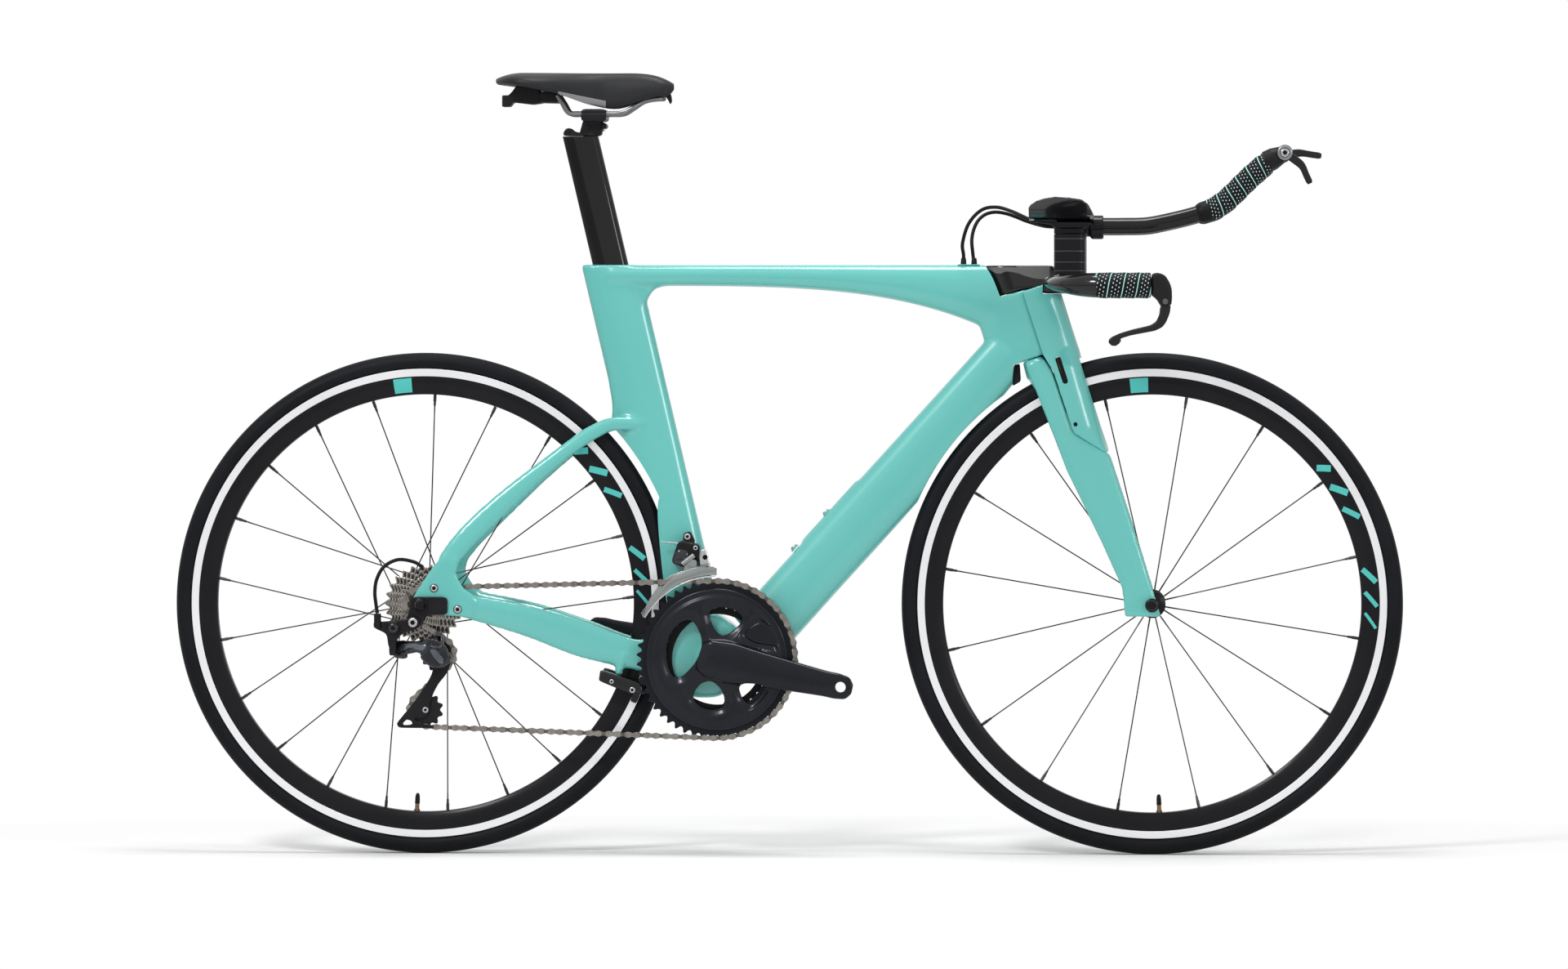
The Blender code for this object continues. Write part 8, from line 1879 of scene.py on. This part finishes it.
carve(head, [pipe(rail_line(60), GROOVE_RADIUS, (0, 0, 1), 24)])
seam = about(RAIL_MIDDLE, (-0.02, -0.0012), (0.02, -0.0012), (0.02, 0.0002), (-0.02, 0.0002))
carve(head, [slab(rounded(seam, 2, 0.02), -0.04, 0.04)])
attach(head, "seat")
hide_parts("saddle_clamp")
rail_grey = finish("rail_steel", (0.2, 0.2, 0.21), (0.15, 0.15, 0.155), 0.34, metallic=0.9, fine=1500,
                   bump=0.06)
piece("saddle_rail_wire", pipe(rail_line(), RAIL_RADIUS, (0, 0, 1), 24), rail_grey, "seat",
      ["saddle_rails"])
for word, x in (("rear", -0.0115), ("front", 0.0115)):
    piece("clamp_screw_" + word,
          pipe(np.array([(HEAD_X + x, 0, RAIL_HEIGHT - 0.023), (HEAD_X + x, 0, RAIL_HEIGHT - 0.01)]),
               0.0024, (1, 0, 0), 24), screw_steel, "seat")

# Post cap: a glossy moulded block on the post's top that cradles the head, with two round bolts.
# The bolts run across it, one at the back and one in front.
crown = [(-0.0225, 0.0004), (-0.0225, 0.006), (-0.017, 0.0115), (-0.011, 0.0105), (-0.006, 0.0062),
         (0.006, 0.0045), (0.015, 0.0068), (0.019, 0.006), (0.0215, 0.0004)]
shape = slab(rounded(about((foot, 0, level), *crown), 5, 0.25), -0.0112, 0.0112, 0.002)
cap = melted(piece("post_cap", shape, post_black), 0.0008, 3)
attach(cap, "seat")
for word, x, z in (("rear", -0.0165, 0.0068), ("front", 0.0325, 0.014)):
    piece("cradle_bolt_" + word,
          pipe(np.array([(foot + x, y, level + z) for y in (-0.015, -0.0146, 0.0146, 0.015)]),
               np.array((0.0032, 0.0038, 0.0038, 0.0032)), (1, 0, 0), 28), dark_alloy, "seat")

# Saddle: foam under a smooth synthetic cover on a plastic shell, with a shallow channel down the middle.
# The cover is one sheet 5 mm thick with a rolled edge, and the shell a thinner one under it.
SADDLE_TAIL, SADDLE_LENGTH, SADDLE_TOP = HEAD_X - 0.133, 0.239, RAIL_HEIGHT + 0.0555
SADDLE_HALF, NOSE_HALF = 0.067, 0.0185
SKIRT_KEYS = (0.0, 0.03, 0.09, 0.2, 0.34, 0.52, 0.7, 0.82, 0.92, 0.978, 1.0)
SKIRTS = (0.0045, 0.008, 0.0135, 0.019, 0.0255, 0.0395, 0.045, 0.035, 0.024, 0.0165, 0.007)
saddle_skin = finish("saddle_cover", (0.0095, 0.0098, 0.0115), (0.014, 0.0145, 0.0165), 0.5, spread=0.12,
                     fine=1100, bump=0.25, depth=0.0003, specular=0.22)
make, calc, mix, drift, feed = wired(saddle_skin)
x, y, z = make("SeparateXYZ", make("TexCoord").outputs["Object"]).outputs
lip = calc("LESS_THAN", z, calc("MULTIPLY_ADD", x, -0.196, 1.0213 - 0.196 * 0.3052))
lip = calc("MULTIPLY", lip, calc("COMPARE", x, -0.2746, 0.0306))
feed("Base Color", mix(lip, drift["Colour"], (0.24, 0.24, 0.25, 1)))
shell_grey = finish("saddle_shell", (0.1, 0.1, 0.11), (0.14, 0.14, 0.15), 0.4, bump=0.08)


def saddle_grid(depth, first=0.0, last=1.0, along=90, round_count=61, narrow=0.0, channel=0.0015):
    """Arched sections from tail to nose at a depth under the skin: half width from a cosine waist,
    skirt height from the stations, and the rise to the flanks one minus the cosine to the power 0.62."""
    share = np.sin(np.linspace(np.pi * (first - 0.5), np.pi * (last - 0.5), along)) / 2 + 0.5
    share = np.clip(share, 0.0012, 0.9988)[:, None]
    skirts = np.stack([np.asarray(SKIRTS)], -1)
    skirt = eased(skirts, 400, SKIRT_KEYS)[:, 0]
    skirt = np.interp(share[:, 0], np.linspace(0, 1, 400), skirt)[:, None]
    tail = np.minimum(1.0, np.sqrt(np.clip(1 - (1 - np.minimum(share / 0.2, 1)) ** 2.2, 0, 1)))
    nose = np.sqrt(np.clip(1 - np.clip((share - 0.93) / 0.07, 0, 1) ** 2 * 0.85, 0, 1))
    waist = 0.5 + 0.5 * np.cos(np.pi * np.clip((share - 0.2) / 0.42, 0, 1))
    half = (NOSE_HALF + (SADDLE_HALF - NOSE_HALF) * waist) * tail * nose
    half = np.maximum(half - depth, 0.0035)
    crest = SADDLE_TOP - 0.0085 * (1 - np.minimum(1, share / 0.16)) ** 2
    crest = crest - 0.015 * np.clip((share - 0.7) / 0.3, 0, 1) ** 3.2
    angle = np.linspace(-np.pi / 2 * (1 - narrow), np.pi / 2 * (1 - narrow), round_count)[None]
    rise = 1 - np.abs(np.cos(angle)) ** 0.62
    drop = (skirt - 0.6 * depth) * rise
    fade = np.clip(np.sin(np.pi * np.clip((share - 0.1) / 0.8, 0, 1)), 0, 1)
    dip = channel * np.exp(-(angle / 0.16) ** 2) * fade
    x = SADDLE_TAIL + SADDLE_LENGTH * share + (depth * 0.8) * np.cos(np.pi * share)
    return np.stack([np.broadcast_to(x, drop.shape), half * np.sin(angle), crest - depth - drop - dip], -1)


def saddle_sheet(upper, lower, **given):
    """A closed sheet between two depths: the upper grid, a rolled rim, and the lower grid."""
    top, bottom = saddle_grid(upper, **given), saddle_grid(lower, **given)
    rim_a, rim_b = (top[:, :1] + bottom[:, :1]) / 2, (top[:, -1:] + bottom[:, -1:]) / 2
    out = (lower - upper) * 0.35
    rim_a = rim_a + np.array((0, -out * 0.5, -out))
    rim_b = rim_b + np.array((0, out * 0.5, -out))
    return skin(np.concatenate([top, rim_b, bottom[:, ::-1], rim_a], 1))


cover = piece("saddle_cover_padded", saddle_sheet(0.0, 0.005), saddle_skin, "seat", ["saddle_cover"],
              crease=75)
piece("saddle_shell_base", saddle_sheet(0.0059, 0.0089, first=0.09, last=0.93, narrow=0.07, channel=0.0),
      shell_grey, "seat", ["saddle_shell"], crease=60)

# Tail bracket: a moulded plastic block clipped between the rails' ends under the saddle's tail.
# Its front part is wider, and is grooved for the rails.
bracket = piece("tail_bracket_block", [
    slab(rounded([(-0.3638, 1.031), (-0.3331, 1.0279), (-0.3295, 1.0065), (-0.3429, 1.0047),
                  (-0.3684, 1.0077), (-0.373, 1.0019), (-0.3837, 1.0016), (-0.3837, 1.0172),
                  (-0.3751, 1.0172), (-0.3705, 1.0218)], 5, 0.1), -0.015, 0.015, 0.0015),
    slab(rounded([(-0.3313, 1.0218), (-0.3086, 1.0212), (-0.3077, 1.0065), (-0.3313, 1.0071)], 5, 0.12),
         -0.022, 0.022, 0.0015)], hood_plastic)
melted(bracket, 0.001, 3)
carve(bracket, [pipe(rail_line(60), GROOVE_RADIUS, (0, 0, 1), 24)])
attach(bracket, "seat")
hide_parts("saddle_bracket")

# Nose hooks: two small plastic lips that hold the cover's edge under the nose.
# They stand a few millimetres to each side of the middle.
HOOK = [(-0.1663, 1.0198), (-0.1577, 1.0192), (-0.1562, 1.0094), (-0.1586, 1.0051), (-0.1611, 1.0106),
        (-0.1644, 1.0155)]
for sign, word in SIDES:
    side = sign * 0.006
    piece("nose_hook_" + word, slab(rounded(HOOK, 5, 0.25), side - 0.0012, side + 0.0012, 0.0004),
          hood_plastic, "seat")

# Studio: a pale floor that fades into the white backdrop and keeps the shadow, and three soft lamps.
# The world lights the bike grey and shows itself white to the camera and to glossy surfaces.
FLOOR_REACH, FLOOR_DROP, WHITE, GREY = 30.0, 0.0002, (1, 1, 1, 1), (0.42, 0.42, 0.42, 1)
floor_mesh = bpy.data.meshes.new("floor")
floor_mesh.from_pydata([(x * FLOOR_REACH, y * FLOOR_REACH, 0)
                        for x, y in ((-1, -1), (1, -1), (1, 1), (-1, 1))], [], [(0, 1, 2, 3)])
floor = bpy.data.objects.new("floor", floor_mesh)
floor.location.z = -FLOOR_DROP
bpy.context.scene.collection.objects.link(floor)
pale = bpy.data.materials.new("pale_floor")
floor_mesh.materials.append(pale)
world = bpy.data.worlds.new("studio")
bpy.context.scene.world = world


def emptied(holder):
    """The makers of a material or world whose nodes have been cleared away."""
    holder.use_nodes = True
    holder.node_tree.nodes.clear()
    return makers(holder.node_tree)


make, calc, mix = emptied(pale)
spread = make("VectorMath", make("TexCoord").outputs["Object"], (1.0, 2.4, 1.0), operation="MULTIPLY")
away = make("VectorMath", spread.outputs[0], operation="LENGTH").outputs["Value"]
far = make("MapRange", away, 0.9, 1.9).outputs["Result"]
diffuse = make("BsdfDiffuse", (0.93, 0.93, 0.93, 1)).outputs[0]
share = calc("MULTIPLY", far, make("LightPath").outputs["Is Camera Ray"])
mixed = make("MixShader", share, diffuse, make("Emission", WHITE).outputs[0]).outputs[0]
make("OutputMaterial", mixed)
make, calc, mix = emptied(world)
path = make("LightPath").outputs
seen = calc("MAXIMUM", calc("MAXIMUM", path["Is Camera Ray"], path["Is Glossy Ray"]),
            path["Is Transmission Ray"])
lit, shown = (make("Background", colour, 1.0).outputs[0] for colour in (GREY, WHITE))
make("OutputWorld", make("MixShader", seen, lit, shown).outputs[0])
for word, spot, size, power in (("key", (-1.8, -3.4, 3.4), 1.0, 95), ("fill", (3.0, -3.0, 1.4), 0.8, 22),
                                ("top", (0.2, -0.2, 3.8), 1.4, 70)):
    lamp = bpy.data.lights.new(word, "AREA")
    lamp.shape, lamp.size, lamp.energy = "DISK", size, power
    holder = bpy.data.objects.new(word, lamp)
    bpy.context.scene.collection.objects.link(holder)
    holder.location = spot
    holder.rotation_euler = (Vector((0, 0, 0.5)) - Vector(spot)).to_track_quat("-Z", "Y").to_euler()
bpy.context.scene.view_settings.view_transform = "Standard"
bpy.context.view_layer.update()
